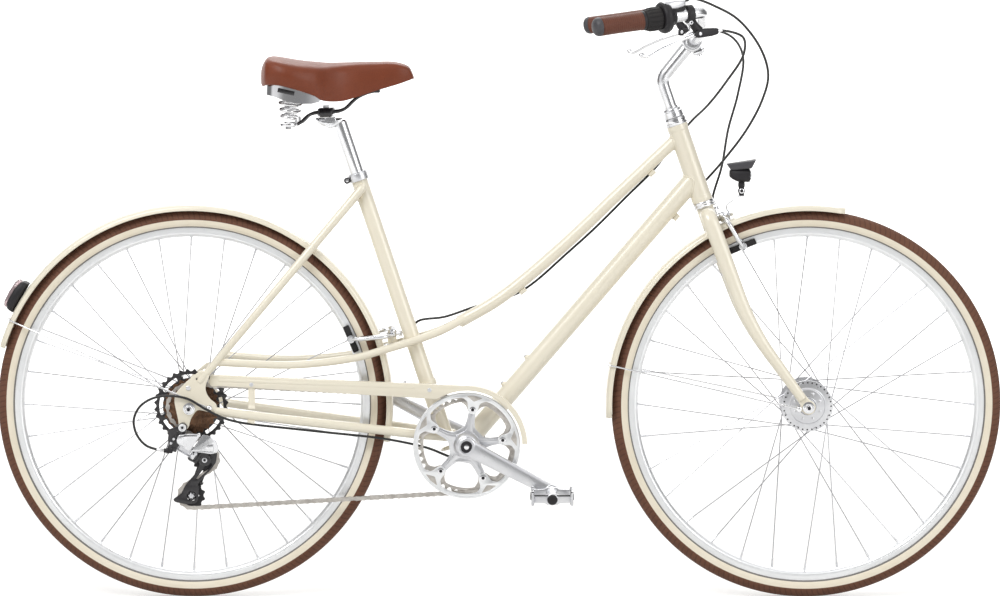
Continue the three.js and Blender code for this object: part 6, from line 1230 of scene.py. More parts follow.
def makeRearHub(s):
    axle = rearAxle
    shell = [lathe([(13, -20), (15, -17), (15, 31), (13, 34)], 1.2, axle, lateral, 40)]
    for low, high in ((-22.5, -17.5), (31.5, 36.5)):
        shell.append(lathe(square(12, 24, low, high), 1.0, axle, lateral, 56))
    shell.append(lathe([(5.5, 36), (14, 36), (12, 44), (12, 62), (5.5, 62)], 1.0, axle, lateral, 36))
    shell.append(lathe(square(5.5, 9, -62, -22), 0.8, axle, lateral, 36))
    spokes, nipples = spokeShapes(axle, 20, (34, -20), s)
    makePiece("rearHub", [(shell, satinSilver), (spokes, spokeSteel), (nipples, satinSilver)], "rear_wheel",
              ["rear_hub"])
    makePiece("rearAxle", axleShapes(axle, 86.1, 62.3, 5.2, 74.1), "frame", ["rear_axle"])


makeWheel("frontWheel", frontAxle, "front_wheel", frontTyreRubber, wheelSettings)
makeWheel("rearWheel", rearAxle, "rear_wheel", rearTyreRubber, wheelSettings)
makeFrontHub(wheelSettings)
makeRearHub(wheelSettings)
print("wheels made")

# Chainset: a star-shaped spider with a steel toothed ring behind it and a silver guard ring in front
chainsetSettings = {"armLength": 170.0, "crankTurn": 27.4, "boltCircle": 65.0, "ringTeeth": 42,
    "guardOuter": 95.5, "guardInner": 86.5, "ringInner": 77.5, "spiderY": (-50.8, -46.8),
    "guardY": (-54.1, -51.1), "ringY": (-46.5, -43.5)}


def pitchRadius(teeth):
    return 12.7 / (2 * sin(pi / teeth))


# Round valleys and blunt teeth, as on a real sprocket
def toothedLine(teeth, height, root):
    line, middle = [], pitchRadius(teeth)
    for i in range(teeth):
        for share, radius in ((0.0, middle - root), (0.14, middle - root * 0.82), (0.27, middle - root * 0.1),
                (0.4, middle + height * 0.86), (0.5, middle + height), (0.6, middle + height * 0.86),
                (0.73, middle - root * 0.1), (0.86, middle - root * 0.82)):
            angle = 2 * pi * (i + share) / teeth
            line.append(flatPolar(radius, angle))
    return line


def turnedLine(points, degrees):
    c, s = flatPolar(1, radians(degrees))
    return [(x * c - y * s, x * s + y * c) for x, y in points]


def aroundFive(run, first):
    line = []
    for i in range(5):
        line += turnedLine(run, first + 72 * i)
    return line


# One forged arm from its boss to its pedal eye, and the pedal axle
def crankArm(side, s):
    turn = radians(-s["crankTurn"] if side < 0 else 180 - s["crankTurn"])
    way = polar(1, turn)
    up = at(-sin(turn), 0, cos(turn))
    rows = [(-15.0, 5.0, 68.5, 5.5), (-13.5, 9.5, 68.4, 7.0), (-8.0, 14.6, 68.3, 7.8), (0, 16.8, 68.5, 8.0),
            (12, 16.2, 69.2, 7.6), (34, 14.6, 70.6, 7.0), (80, 13.4, 74.2, 6.6), (130, 12.2, 77.8, 6.5),
            (155, 12.2, 79.5, 7.0), (166, 12.9, 80.3, 7.6), (174, 11.8, 80.5, 7.6), (180, 8.0, 80.5, 7.0),
            (182.4, 4.0, 80.5, 5.0)]
    rings = []
    for along, half, middle, thick in rows:
        ring = []
        for k in range(28):
            angle = 2 * pi * k / 28
            a, b = flatPolar(1, angle)
            power = 2 / 2.7
            ring.append(crankCentre + way * along + up * half * copysign(abs(a) ** power, a)
                        + lateral * (side * middle + thick * copysign(abs(b) ** power, b)))
        rings.append(ring)
    arm = loft(rings)
    tip = crankCentre + way * s["armLength"]
    outer = lateral * side
    boss = lathe([(8, 59.2), (14.5, 59.2), (17, 62), (17, 75), (14.8, 76.6), (11.5, 76.9), (11.0, 74.0),
                  (0, 74.0)], 0.8, crankCentre, outer, 48)
    eye = lathe([(6, 71), (12.4, 71.4), (13.0, 73), (13.0, 88), (12.2, 89), (6, 89)], 0.6, tip, outer, 36)
    axle = roundRod(tip + outer * 70, tip + outer * 180, 6.0, 0.8, 20)
    cap = lathe([(0, 73.6), (10.6, 73.6), (10.6, 76.2), (8.6, 77.0), (4.4, 77.0), (4.2, 75.2), (0, 75.2)],
                0.4, crankCentre, outer, 28)
    flats = lathe(square(6.2, 9.2, 88.6, 91.2), 0.3, tip, outer, 6)
    return [arm, boss, eye], [axle, flats], [cap]


def makeChainset(s):
    first = -s["crankTurn"] + 36
    half = 7.0
    valley = 13.0 / cos(radians(36))
    star = [(valley * 2.0, -half * 1.35), (44, -half * 1.0), (57, -half * 0.95),
            (65 + half * 0.9, -half * 0.7), (65 + half * 1.15, 0), (65 + half * 0.9, half * 0.7),
            (57, half * 0.95), (44, half * 1.0), (valley * 2.0, half * 1.35)]
    spider = plate(softLine(aroundFive(star, first), 3.5, 3), *s["spiderY"], [], 0.9, crankCentre)
    raised = plate(softLine(aroundFive([(26, -half * 0.9), (40, -half * 0.55), (54, -half * 0.42), (57, 0),
        (54, half * 0.42), (40, half * 0.55), (26, half * 0.9)], first), 2.5, 3), -54.4, -50.0, [], 1.3,
                   crankCentre)
    hub = lathe([(9, 46.9), (24, 46.9), (24, 54), (21, 58), (17.5, 62), (9, 62)], 1.2, crankCentre, -lateral, 56)
    arm, axle, cap = crankArm(-1, s)
    spindle = roundRod(crankCentre - lateral * 66, crankCentre + lateral * 71.6, 8.0, 1.0, 28)
    makePiece("rightCrank", [([spider, raised, hub, *arm], satinSilver), ([spindle, *axle], polishedSilver),
        (cap, blackPlastic), ([lathe(square(0, 5.4, -76.6, -75.0), 0.4, crankCentre, lateral, 20)],
        chromePlate)], "cranks", ["crank_right"])
    arm, axle, cap = crankArm(1, s)
    makePiece("leftCrank", [(arm, satinSilver), (axle, polishedSilver), (cap, blackPlastic)], "cranks",
              ["crank_left"])
    # toothed ring behind the spider, guard ring in front, bolts through both

    def windowLine(bore, tab):
        run = [(bore - 3, -tab * 2.3), (bore - 9, -tab * 1.25), (65 - 3, -tab * 0.95), (56.6, -tab * 0.5),
               (56.6, tab * 0.5), (65 - 3, tab * 0.95), (bore - 9, tab * 1.25), (bore - 3, tab * 2.3)]
        for share in (0.3, 0.36, 0.43, 0.5, 0.57, 0.64, 0.7):
            angle = radians(72 * share)
            run.append(flatPolar(bore, angle))
        return softLine(aroundFive(run, first), 3.5, 3)

    teeth = plate(toothedLine(s["ringTeeth"], 3.4, 3.0), *s["ringY"], [windowLine(s["ringInner"], 9.5)], 0.5,
                  crankCentre)
    guard = plate(ringLine(s["guardOuter"], 120), *s["guardY"], [windowLine(s["guardInner"], 9.0)], 0.9, crankCentre)
    pocketLine = softLine([(79.5, 0), (88.0, -14.5), (90.3, 0), (88.0, 14.5)], 2.0, 3)
    pockets = [plate(turnedLine(pocketLine, first + 72 * i), -54.35, -53.5, [], 0.2, crankCentre) for i in range(5)]
    ridge = hoop([(91.4, 53.2), (94.4, 53.2), (94.0, 54.9), (91.8, 54.9)], 0.5, crankCentre, -lateral, 120)
    bolts, socketShades = [], []
    for i in range(5):
        x, z = turnedLine([(s["boltCircle"], 0)], first + 72 * i)[0]
        place = crankCentre + at(x, -54.0, z)
        cap, well = socketHead(place, -lateral, 5.6, 1.6)
        bolts += [cap, roundRod(place + lateral * 1, place + lateral * 12, 4.0, 0.6, 16)]
        socketShades.append(well)
    # painted shade: the bolts' socket linings are black
    makePiece("chainringAndGuard", [([teeth, *pockets], chainSteel), ([guard, ridge], rimSilver),
        (bolts, chromePlate), (socketShades, blackPlastic)], "cranks", ["chainring"])
    cups = []
    for side in (1, -1):
        cups.append(lathe([(9, 34.2), (19.9, 34.2), (19.9, 37.2), (15.5, 37.4), (14, 36.2), (9, 36.2)], 0.5,
                          crankCentre, lateral * side, 48))
        for k in range(8):
            turn = radians(45 * k)
            cups.append(block(crankCentre + polar(19.2, turn, 35.7 * side), at(-sin(turn), 0, cos(turn)),
                              lateral, (5, 2.8, 1.4), 0.3))
    makePiece("bottomBracketCups", [(cups, blackPaint)], "frame", ["bottom_bracket"])


# Alloy platform pedal: toothed front and rear plates on a barrel
def makePedal(name, node, side, body):
    crankTurn, armLength = chainsetSettings["crankTurn"], chainsetSettings["armLength"]
    turn = radians(-crankTurn if side < 0 else 180 - crankTurn)
    centre = crankCentre + polar(armLength, turn)
    out = lateral * side
    metal, black = [], []
    metal.append(lathe([(6.1, 92), (9.5, 92), (11, 94.5), (11, 100), (8.6, 104), (8.6, 168), (10.4, 174),
        (10.4, 180), (6.1, 182)], 1.0, centre, out, 32))
    black.append(lathe([(0, 181), (9.2, 181), (9.2, 184.5), (7.4, 187.6), (0, 188.2)], 0.8, centre, out, 28))
    for end in (1, -1):
        # toothed plate: a comb along its top and bottom edges
        line = []
        steps = 12
        for k in range(steps):
            y = 93 + 90 * k / (steps - 1)
            line += [(y - 2.4, 8.6), (y - 1.2, 10.6), (y + 1.2, 10.6), (y + 2.4, 8.6)]
        low = [(y, -z) for y, z in reversed(line)]
        outline = [(max(92.2, min(183.8, y)), z) for y, z in line + low]
        windows = [softLine([(100 + 21 * k, -5), (115 + 21 * k, -5), (115 + 21 * k, 5), (100 + 21 * k, 5)],
            2.5, 3) for k in range(4)]
        metal.append(plate(outline, -2.0, 2.0, windows, 0.5, centre + at(end * 34.5, 0, 0), right=out,
            up=at(0, 0, 1)))
    depth = 5.0
    for y in (99.5, 176.5):
        arms = [(-34, -6), (-12, -7), (-10, -9.6), (10, -9.6), (12, -7), (34, -6), (34, 6), (12, 7),
                (10, 9.6), (-10, 9.6), (-12, 7), (-34, 6)]
        metal.append(plate(softLine(arms, 2.5, 3), side * y - depth / 2, side * y + depth / 2, [], 1.0, centre))
    for x in (-34.0, 34.0):
        for y, z in ((112, -9.4), (138, -9.4), (164, -9.4), (112, 9.4), (138, 9.4), (164, 9.4), (176.5, 8.6)):
            black.append(block(centre + out * y + at(x, 0, z), at(0, 1, 0), at(1, 0, 0), (9, 4.6, 3.4), 0.6))
    black.append(block(centre + out * 176.5 + at(0, 0, 6.6), at(1, 0, 0), lateral, (62, 5.6, 1.8), 0.4))
    for end in (1, -1):
        black.append(block(centre + out * 138 + at(end * 37.4, 0, 0), lateral, at(0, 0, 1), (34, 9, 1.6), 0.6))
    makePiece(name, [(metal, satinSilver), (black, blackPlastic)], body, [node])


makeChainset(chainsetSettings)
makePedal("rightPedal", "pedal_right", -1, "right_pedal")
makePedal("leftPedal", "pedal_left", 1, "left_pedal")
print("chainset made")

# Sprockets: the largest is black with long windows, the rest are bronze
sprocketSettings = {"teeth": (32, 24, 22, 20, 18, 16, 14), "firstY": -30.0, "step": 5.0, "thick": 2.0}


def makeSprockets(s):
    black, bronze = [], []
    for i, teeth in enumerate(s["teeth"]):
        y = s["firstY"] - s["step"] * i
        line = toothedLine(teeth, 1.9 if i == 0 else 2.3, 2.2)
        if i == 0:
            holes = []
            for k in range(8):
                arc = []
                for radius, turns in ((57.2, range(-17, 18, 2)), (50.8, range(17, -18, -2))):
                    arc += [flatPolar(radius, radians(45 * k + t)) for t in turns]
                holes.append(softLine(arc, 1.5, 2))
                holes.append(ringLine(4.4, 14, turnedLine([(39.5, 0)], 45 * k + 22.5)[0]))
            black.append(plate(line, y - s["thick"] / 2, y + s["thick"] / 2, holes, 0.3, rearAxle))
        else:
            holes = [ringLine(3.0, 12, turnedLine([(pitchRadius(teeth) - 9.5, 0)], 40 * k + 13 * i)[0])
                     for k in range(9)] if i < 4 else []
            bronze.append(plate(line, y - s["thick"] / 2, y + s["thick"] / 2, holes, 0.3, rearAxle))
        if i:
            bronze.append(hoop(square(17, 19.5, y + 0.9, y + 4.1), 0.3, rearAxle, lateral, 40))
    last = s["firstY"] - s["step"] * 6
    lockring = hoop([(9.2, last - 1), (19, last - 1), (19, last - 2.2), (14, last - 2.8), (9.2, last - 2.8)],
                    0.3, rearAxle, lateral, 40)
    core = hoop(square(9.3, 18.4, last - 0.9, -29.1), 0.4, rearAxle, lateral, 40)
    makePiece("sprockets", [(black, blackPaint), ([*bronze, core, lockring], bronzeSteel)], "sprockets",
              ["cassette"])


makeSprockets(sprocketSettings)

# Chain: pins half an inch apart, joined in turn by inner and outer plates
chainSettings = {"halfInch": 12.7, "line": 45.0, "plateThick": 0.9, "innerY": 2.2, "outerY": 3.2,
                 "plateHalf": 4.1, "waist": 2.9, "rollerRadius": 3.9, "pinRadius": 1.7, "ringFrom": -190,
                 "ringTeeth": 42, "sprocketTeeth": 20, "jockeyTeeth": 11}
upperJockey, lowerJockey = at(-524, -45, 256), at(-549, -45, 190)


# Centre, pitch radius and way round of each wheel that the chain meets
def chainWheels(s):
    ring, sprocket, jockey = [pitchRadius(s[key]) for key in ("ringTeeth", "sprocketTeeth", "jockeyTeeth")]
    return [(crankCentre, ring, 1), (rearAxle, sprocket, 1), (upperJockey, jockey, -1), (lowerJockey, jockey, 1)]


# The pin line: round the ring, over the sprocket, back past both jockey wheels
def chainPath(s):
    wheels = chainWheels(s)
    leans = []
    for i, (centre, radius, turn) in enumerate(wheels):
        other, otherRadius, otherTurn = wheels[(i + 1) % 4]
        gap = hypot(other.x - centre.x, other.z - centre.z)
        leans.append(atan2(other.z - centre.z, other.x - centre.x)
                     + asin((turn * radius - otherTurn * otherRadius) / gap))
    path = []
    for i, (centre, radius, turn) in enumerate(wheels):
        arrive, leave = leans[i - 1], leans[i]
        sweepAngle = (leave - arrive) * turn
        while sweepAngle < 0:
            sweepAngle += 2 * pi
        for k in range(61):
            way = arrive + turn * sweepAngle * k / 60
            path.append((at(centre.x + turn * radius * sin(way), -s["line"], centre.z - turn * radius * cos(way)), i))
    return path


# Pins spaced evenly round the closed path, with the wheel each run starts from
def evenPlaces(path, pitch):
    loop = path + [path[0]]
    whole = lengthOf([p for p, _ in loop])
    count = 2 * round(whole / pitch / 2)
    step, places, gone, goal = whole / count, [], 0.0, 0.0
    for (a, i), (b, j) in zip(loop, loop[1:]):
        run = (b - a).length
        while goal <= gone + run + 1e-9 and len(places) < count:
            places.append((a.lerp(b, (goal - gone) / run if run else 0), (i, j)))
            goal += step
        gone += run
    return places


# One figure-of-eight side plate between two pins
def linkPlate(a, b, y, s, bulge):
    way = (b - a).normalized()
    up = at(0, 0, 1) * way.x - at(1, 0, 0) * way.z
    half = (b - a).length / 2
    middle = (a + b) / 2
    line = []
    for end, start in ((1, -75), (-1, 105)):
        for k in range(5):
            angle = radians(start + 37.5 * k)
            line.append((end * half + s["plateHalf"] * cos(angle), s["plateHalf"] * sin(angle)))
        line.append((0, s["waist"] * end + (0.3 if bulge else 0) * end))
    thick = s["plateThick"] / 2
    points, count = [], len(line)
    for level in (-thick, thick):
        for x, z in line:
            p = middle + way * x + up * z
            points.append(at(p.x, y + level, p.z))
    faces = [tuple(range(count))[::-1], tuple(range(count, 2 * count))]
    faces += [(i, (i + 1) % count, count + (i + 1) % count, count + i) for i in range(count)]
    return points, faces


# Plates and pins for the run of links from first up to last
def chainShapes(pins, first, last, s, total):
    plates, pinShapes = [], []
    for n in range(first, last):
        a, b = pins[n % total][0], pins[(n + 1) % total][0]
        outerPlates = n % 2 == 0
        offset = s["outerY"] if outerPlates else s["innerY"]
        for side in (1, -1):
            plates.append(linkPlate(a, b, -s["line"] + side * offset, s, outerPlates))
        pinShapes.append(turned([(s["pinRadius"] - 0.3, -3.9), (s["pinRadius"], -3.6), (s["pinRadius"], 3.6),
            (s["pinRadius"] - 0.3, 3.9)], a, lateral, 8))
        pinShapes.append(turned([(s["rollerRadius"], -1.6), (s["rollerRadius"], 1.6)], a, lateral, 12))
    return plates, pinShapes


def makeChain(s):
    pins = evenPlaces(chainPath(s), s["halfInch"])
    total = len(pins)
    tags = [tag for _, tag in pins]
    toJockeys, toRing = tags.index((2, 2)), tags.index((3, 0))
    nearRing = next(n for n in range(toRing, total) if pins[n][0].x > s["ringFrom"])
    runs = []
    for name, first, last, body, nodes in (("rollerChain", nearRing, total + toJockeys, "frame", ["chain"]),
            ("chainAtJockeys", toJockeys, toRing, None, []), ("chainLowerRun", toRing, nearRing, None, [])):
        plates, rods = chainShapes(pins, first, last, s, total)
        runs.append(makePiece(name, [(plates + rods, chainSteel)], body, nodes, sharp=30))
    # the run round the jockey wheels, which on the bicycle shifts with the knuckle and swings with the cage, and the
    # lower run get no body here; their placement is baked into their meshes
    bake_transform(runs[1])
    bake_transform(runs[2])
    print("chain made:", total, "links")


makeChain(chainSettings)

# Rear derailleur
derailleurSettings = {"cageY": ((-51.6, -50.0), (-40.0, -38.4))}
mountPivot, linkEnd, knucklePivot = at(-572, -78, 287), at(-542.24, -65.54, 267.78), at(-524, -57.9, 256)
linkRun = (knucklePivot - mountPivot).normalized()
linkAxis = at(-0.5425, 0, -0.8400)
hangerBolt = at(-561, -74.1, 317)


def makeJockey(name, node, centre, body):
    line = toothedLine(chainSettings["jockeyTeeth"], 1.9, 1.7)
    holes = [ringLine(2.5, 12, turnedLine([(10.6, 0)], 72 * k)[0]) for k in range(5)]
    wheel = plate(line, -1.6, 1.6, holes, 0.5, centre)
    hubRing = hoop(square(3.05, 8.4, -3, 3), 0.5, centre, lateral, 28)
    seal = hoop(square(3.05, 6.0, -3.3, 3.3), 0.3, centre, lateral, 28)
    makePiece(name, [([wheel, hubRing], blackPlastic), ([seal], satinSilver)], body, [node])


# A fork that holds a pin: two cheeks, the web behind them, the pin and its heads
def holderShapes(centre, away):
    away = away.normalized()
    forged, pins = [], []
    for end in (-1, 1):
        cheek = centre + linkAxis * end * 12.1 + away * 3.0
        forged.append(block(cheek, away, linkAxis, (17.0, 3.4, 11.0), 1.3, 3))
        pins.append(lathe([(0, 0), (3.6, 0), (3.6, 0.9), (2.4, 1.3), (0, 1.3)], 0.3,
                          centre + linkAxis * end * 13.8, linkAxis * end, 20))
    forged.append(block(centre + away * 9.0, away, linkAxis, (5.5, 27.0, 11.6), 1.6, 3))
    pins.append(roundRod(centre - linkAxis * 13.6, centre + linkAxis * 13.6, 2.9, 0.4, 16))
    return forged, pins


def makeDerailleurMount():
    forged, pins = holderShapes(mountPivot, -linkRun)
    boss = lathe([(0, -0.2), (8.0, 0), (8.0, 10.5), (6.8, 12), (0, 12)], 0.8, hangerBolt, -lateral, 36)
    ringMark = hoop(square(4.4, 7.0, 11.8, 13.0), 0.3, hangerBolt, -lateral, 36)
    cap, well = socketHead(hangerBolt - lateral * 11.6, -lateral, 4.3, 1.6)
    stud = roundRod(hangerBolt + lateral * 6.3, hangerBolt - lateral * 4, 3.9, 0.6, 16)
    armStart = hangerBolt - lateral * 6
    armEnd = mountPivot + linkAxis * -15.5
    arm = straightBar(armStart, armEnd, tapering((5.4, 7.2), (5.0, 6.2)), 24, side=lateral, edge=2)
    armPlate = plate(softLine([(-585.1, 313.7), (-587.3, 295.3), (-583.4, 276.9), (-573.3, 276.9),
        (-565, 287.1), (-570.9, 309.7), (-552.6, 313.8), (-560.7, 321.9)], 2.5, 3), -83.5, -78.5, [], 0.9)
    root, barrelWay = at(-579, -82, 275.1), at(-1, 0, 0.04).normalized()
    web = block(at(-577, -80.5, 278.5), at(1, 0, 0), lateral, (10, 7.0, 9), 1.2)
    barrel = lathe([(0, 0), (4.5, 0), (4.5, 9), (3.9, 9.6), (3.9, 15.6), (0, 16)], 0.4, root, barrelWay, 20)
    knurl = lathe(square(0, 5.2, 6, 11), 0.4, root, barrelWay, 10)
    screws = [lathe([(0, 0), (2.3, 0), (2.3, 2.4), (0.6, 2.8), (0, 2.8)], 0.3, mountPivot - linkRun * 9.5
                    + linkAxis * -6 + at(0, -5.5, 0) + linkAxis * 9 * k, -lateral, 14) for k in range(2)]
    # painted shade: the hanger bolt's socket lining is black
    makePiece("derailleurMount", [([*forged, boss, arm, armPlate, web], blackPaint),
        ([barrel, knurl], blackPlastic), ([*pins, stud, cap, *screws], satinSilver), ([ringMark], rimSilver),
        ([well], blackPlastic)], "frame", ["derailleur_mount"])


# A silver cowl: a plate bent outwards by rows of (x, y)
def cowl(corners, places):
    points, faces = plate(softLine(corners, 3.0, 3), -1.7, 1.7, [], 1.1)
    return [at(p.x, p.y + between(places, p.x)[0], p.z) for p in points], faces


# Ribbed silver link between its two pins, with its part of the cowl
def makeDerailleurLink():
    run = linkEnd - mountPivot
    side = linkAxis
    across = run.normalized().cross(side).normalized()
    body, ribs = [], []
    for middle in (-8.1, 8.1):
        body.append(sweep([mountPivot + side * middle, mountPivot.lerp(linkEnd, 0.5) + side * middle,
            linkEnd + side * middle], lambda t: (1.9, 5.4), 16, side=side, edge=1))
    cover = block(mountPivot.lerp(linkEnd, 0.5) + across * 1.2, run, side, (run.length - 13.5, 19.4, 6.4), 1.8, 3)
    for k in range(5):
        ribs.append(block(mountPivot.lerp(linkEnd, 0.5) + across * 4.2 + run.normalized() * (k - 2) * 3.7,
                          side, run, (16.5, 1.6, 1.6), 0.5))
    eyes = [roundRod(p - side * 10.05, p + side * 10.05, 5.5, 0.8, 24) for p in (mountPivot, linkEnd)]
    linkCowl = cowl([(-570.8, 296.6), (-567.7, 304.8), (-548.4, 306.8), (-528.1, 304.8), (-548.5, 274.5),
                     (-556.8, 279.2), (-570.9, 290.5)], [(-572, -89.0), (-561, -88.6), (-545, -84.0),
        (-527, -79.0)])
    # painted shade: a dark grey rod along the cowl stands for a groove in it
    groove = sweep([at(-566, -90.0, 300.5), at(-556, -89.2, 302.2), at(-545, -86.0, 302.4),
                    at(-535, -83.2, 302)], 0.8, 8)
    bridge = block(mountPivot.lerp(linkEnd, 0.52) + across * 8.5, run, side, (16, 15, 11), 1.6, 3)
    makePiece("derailleurLink", [([*body, cover, *ribs, bridge], satinSilver),
        ([*eyes, linkCowl], polishedSilver), ([groove], greyPlastic)], "link",
              ["derailleur_link"])


def makeDerailleurKnuckle():
    forged, pins = holderShapes(linkEnd, linkRun)
    barrel = lathe([(0, -63.9), (9.2, -63.9), (11, -62.4), (11, -53.4), (10.2, -51.9), (3, -51.9)], 0.8,
                   at(-524, 0, 256), lateral, 36)
    neckStart = linkEnd + linkRun * 11
    neck = straightBar(neckStart, knucklePivot, tapering((4.8, 6.2), (5.0, 8.5)), 20, side=lateral, edge=1)
    cap, well = socketHead(at(-524, -63.7, 256), -lateral, 4.6, 1.4)
    pin = roundRod(at(-524, -52, 256), at(-524, -40.2, 256), 2.9, 0.4, 16)
    tab = block(linkEnd + linkRun * 4 + at(0, -7, 3), at(1, 0, -0.4), lateral, (10, 3.2, 7), 1.0)
    clamp = lathe([(0, 0), (3.4, 0), (3.4, 2.6), (1.4, 3), (0, 3)], 0.3, linkEnd + linkRun * 4
                  + at(0, -8.2, 3), -lateral, 6)
    knuckleCowl = cowl([(-526, 304), (-511.9, 299.7), (-502.8, 291.5), (-498.8, 279.2), (-500.9, 270),
        (-512.1, 267.9), (-524.3, 270), (-540.5, 272), (-546, 274.2)],
        [(-547, -74.0), (-530, -74.0), (-512, -72.5), (-498, -68.0)])
    post = block(at(-517, -68.5, 279), at(1, 0, 0), at(0, 0, 1), (20, 14, 9), 1.6, 3)
    stay = block(at(-524, -63, 268), at(1, 0, 0), at(0, 0, 1), (13, 16, 8), 1.6, 3)
    # painted shade: the pivot screw's socket lining is black
    makePiece("derailleurKnuckle", [([*forged, barrel, neck, tab, stay], blackPaint),
        ([post, knuckleCowl], polishedSilver), ([*pins, cap, pin, clamp], satinSilver),
        ([well], blackPlastic)], "knuckle", ["derailleur_knuckle"])


# Two pierced plates that carry both jockey wheels
def makeDerailleurCage(s):
    outerY, innerY = s["cageY"]
    down = lowerJockey - upperJockey
    length = hypot(down.x, down.z)
    way = (down.x / length, down.z / length)
    sideWay = (-way[1], way[0])

    def cageLine(along, across):
        return (upperJockey.x + way[0] * along + sideWay[0] * across, upperJockey.z + way[1] * along
                + sideWay[1] * across)

    outline = softLine([(-502.7, 268.7), (-504.9, 250.2), (-515.2, 235.7), (-527.6, 223.3), (-537.9, 210.9),
        (-535.9, 204.8), (-536, 196.5), (-537.1, 183), (-541.2, 176.6), (-556.7, 174.5), (-579, 178.9),
        (-582.3, 184.1), (-566, 195), (-562, 206), (-552, 219), (-537, 235.7), (-533.4, 256.3), (-528, 268),
        (-516, 272)], 4, 3)
    slots = [softLine([(-511, 247), (-517, 239), (-530, 226.5), (-538, 219), (-540.5, 221), (-531, 234),
        (-522, 247), (-515, 250.5)], 1.5, 3), ringLine(8.6, 28, (lowerJockey.x, lowerJockey.z - 0.5))[::-1]]
    inner = []
    for start, centre, radius in ((90, 0, 9.8), (-90, length, 8.5)):
        for k in range(13):
            angle = radians(start + 15 * k)
            inner.append(cageLine(centre + radius * cos(angle), radius * sin(angle)))
    spokeBar = [block(at(lowerJockey.x, -50.8, lowerJockey.z - 0.5), polar(1, k), lateral, (19, 1.5, 3.2),
                      0.3) for k in (0.35, 1.4, 2.45)]
    plates = [plate(outline, *outerY, slots, 0.4), plate(inner, *innerY,
        [slotLine(cageLine(18, 0), cageLine(50, 0), 3.2)], 0.4), *spokeBar]
    foot = at(lowerJockey.x, 0, lowerJockey.z)
    bolts = [lathe([(0, 51.4), (4.2, 51.4), (4.2, 52.6), (2.6, 53.0), (0, 53.0)], 0.3, foot, -lateral, 20),
             roundRod(foot - lateral * 51, foot - lateral * 38.6, 2.9, 0.4, 16),
             lathe([(0, -38.6), (3.4, -38.6), (3.4, -37.6), (0, -37.4)], 0.3, foot, lateral, 16)]
    stopX, stopZ = cageLine(length * 0.62, 9.4)
    stop = lathe(square(0, 2.4, -51.4, -38.8), 0.4, at(stopX, 0, stopZ), lateral, 14)
    makePiece("derailleurCage", [([*plates, stop], blackPaint), (bolts, satinSilver)], "cage",
              ["derailleur_cage"])


makeJockey("upperJockeyWheel", "upper_jockey_wheel", upperJockey, "upper_jockey")
makeJockey("lowerJockeyWheel", "lower_jockey_wheel", lowerJockey, "lower_jockey")
makeDerailleurMount()
makeDerailleurLink()
makeDerailleurKnuckle()
makeDerailleurCage(derailleurSettings)
print("derailleur made")

# Chain guard, mudguards and their stays
guardSettings = {"rearX": -512.0, "low": 387.6, "middle": 396.0, "high": 408.0, "arc": 108.0,
                 "innerArc": 99.0, "y": (-62.5, -60.0), "lipReach": 10.0, "bracketX": -440.0,
                 "bracketWidth": 12.0, "clampAlong": 100.0}
mudguardSettings = {"outer": 360.0, "edge": 349.0, "half": 25.0, "shoulder": 15.0, "thick": 1.8, "roll": 1.5,
    "front": (79.2, 183.8), "rear": (-10.8, 163.1), "stayWire": 1.6, "stayY": 26.9, "frontStay": 168.4,
    "rearStay": 154.6}


def makeChainGuard(s):
    cx, cz = crankCentre.x, crankCentre.z
    outer = [(cx + s["arc"] * cos(radians(a)), cz + s["arc"] * sin(radians(a)))
             for a in [92 - 3 * k for k in range(31)]]
    inner = [(cx + s["innerArc"] * cos(radians(a)), cz + s["innerArc"] * sin(radians(a)))
             for a in [2 + 3 * k for k in range(41)]]
    back = softLine([(s["rearX"] + 14, s["low"] - 0.7), (s["rearX"] - 1, s["low"]),
                     (s["rearX"] - 3.6, s["middle"]), (s["rearX"] - 1, s["high"]),
                     (s["rearX"] + 14, s["high"] - 0.6)], 6, 4)
    back = [p for p in back if p[0] < s["rearX"] + 13.5]
    skin = plate(back + outer + inner, *s["y"], [], 0.9)
    top = [(s["rearX"] + 4, s["high"] - 0.1)] + outer

    def drawnIn(x, z, shift):
        far = hypot(x - cx, z - cz)
        return (cx + (far + shift) * (x - cx) / far, cz + (far + shift) * (z - cz) / far)

    # its first point lies on the straight back part and only moves down
    lip = [[(x, z + shift) if i == 0 else drawnIn(x, z, shift) for i, (x, z) in enumerate(top)]
           for shift in (0.0, -2.2)]
    lipShape = plate(lip[0] + lip[1][::-1], s["y"][1] - 0.6, s["y"][1] + s["lipReach"], [], 0.7)
    bead = sweep([at(-498, s["y"][0] - 0.1, 398.5), at(-300, s["y"][0] - 0.1, 391.5),
                  at(-150, s["y"][0] - 0.1, 386.2)], (2.6, 0.7), 12, side=at(0, 0, 1), edge=0.4)
    x = s["bracketX"]
    stayTop = 337.5 + 8.6  # the chain stay's middle and its half height
    upright = [at(x, s["y"][1] + 1.0, 392), at(x, s["y"][1] + 1.0, stayTop + 6), at(x, -64.5, stayTop + 1.4),
               at(x, -54, stayTop + 1.2)]
    bracket = sweep(bentPath(upright, 5, 5), (s["bracketWidth"] / 2, 1.25), 12, side=at(1, 0, 0), edge=0.5,
                    turn=pi / 12)
    clampCentre = seatPoint(s["clampAlong"])
    band = hoop(square(14.4, 16.0, -5, 5), 0.4, clampCentre, seatUp, 40)
    arm = [at(-124, -60.4, 380), at(-124, -58.5, 388.5), at(-126, -30, 388.5),
           at(clampCentre.x, -15.2, clampCentre.z + 1)]
    strap = sweep(bentPath(arm, 6, 5), (5.0, 1.2), 12, side=at(1, 0, 0), edge=0.5, turn=pi / 12)
    screws = []
    for px, pz in ((x, 391.0), (-124, 381.5)):
        cap, well = socketHead(at(px, s["y"][0], pz), -lateral, 3.6, 1.8)
        screws += [cap, well]
    makePiece("chainGuard", [([skin, lipShape, bead, bracket, band, strap], creamPaint),
        (screws, satinSilver)], "frame", ["chain_guard"])


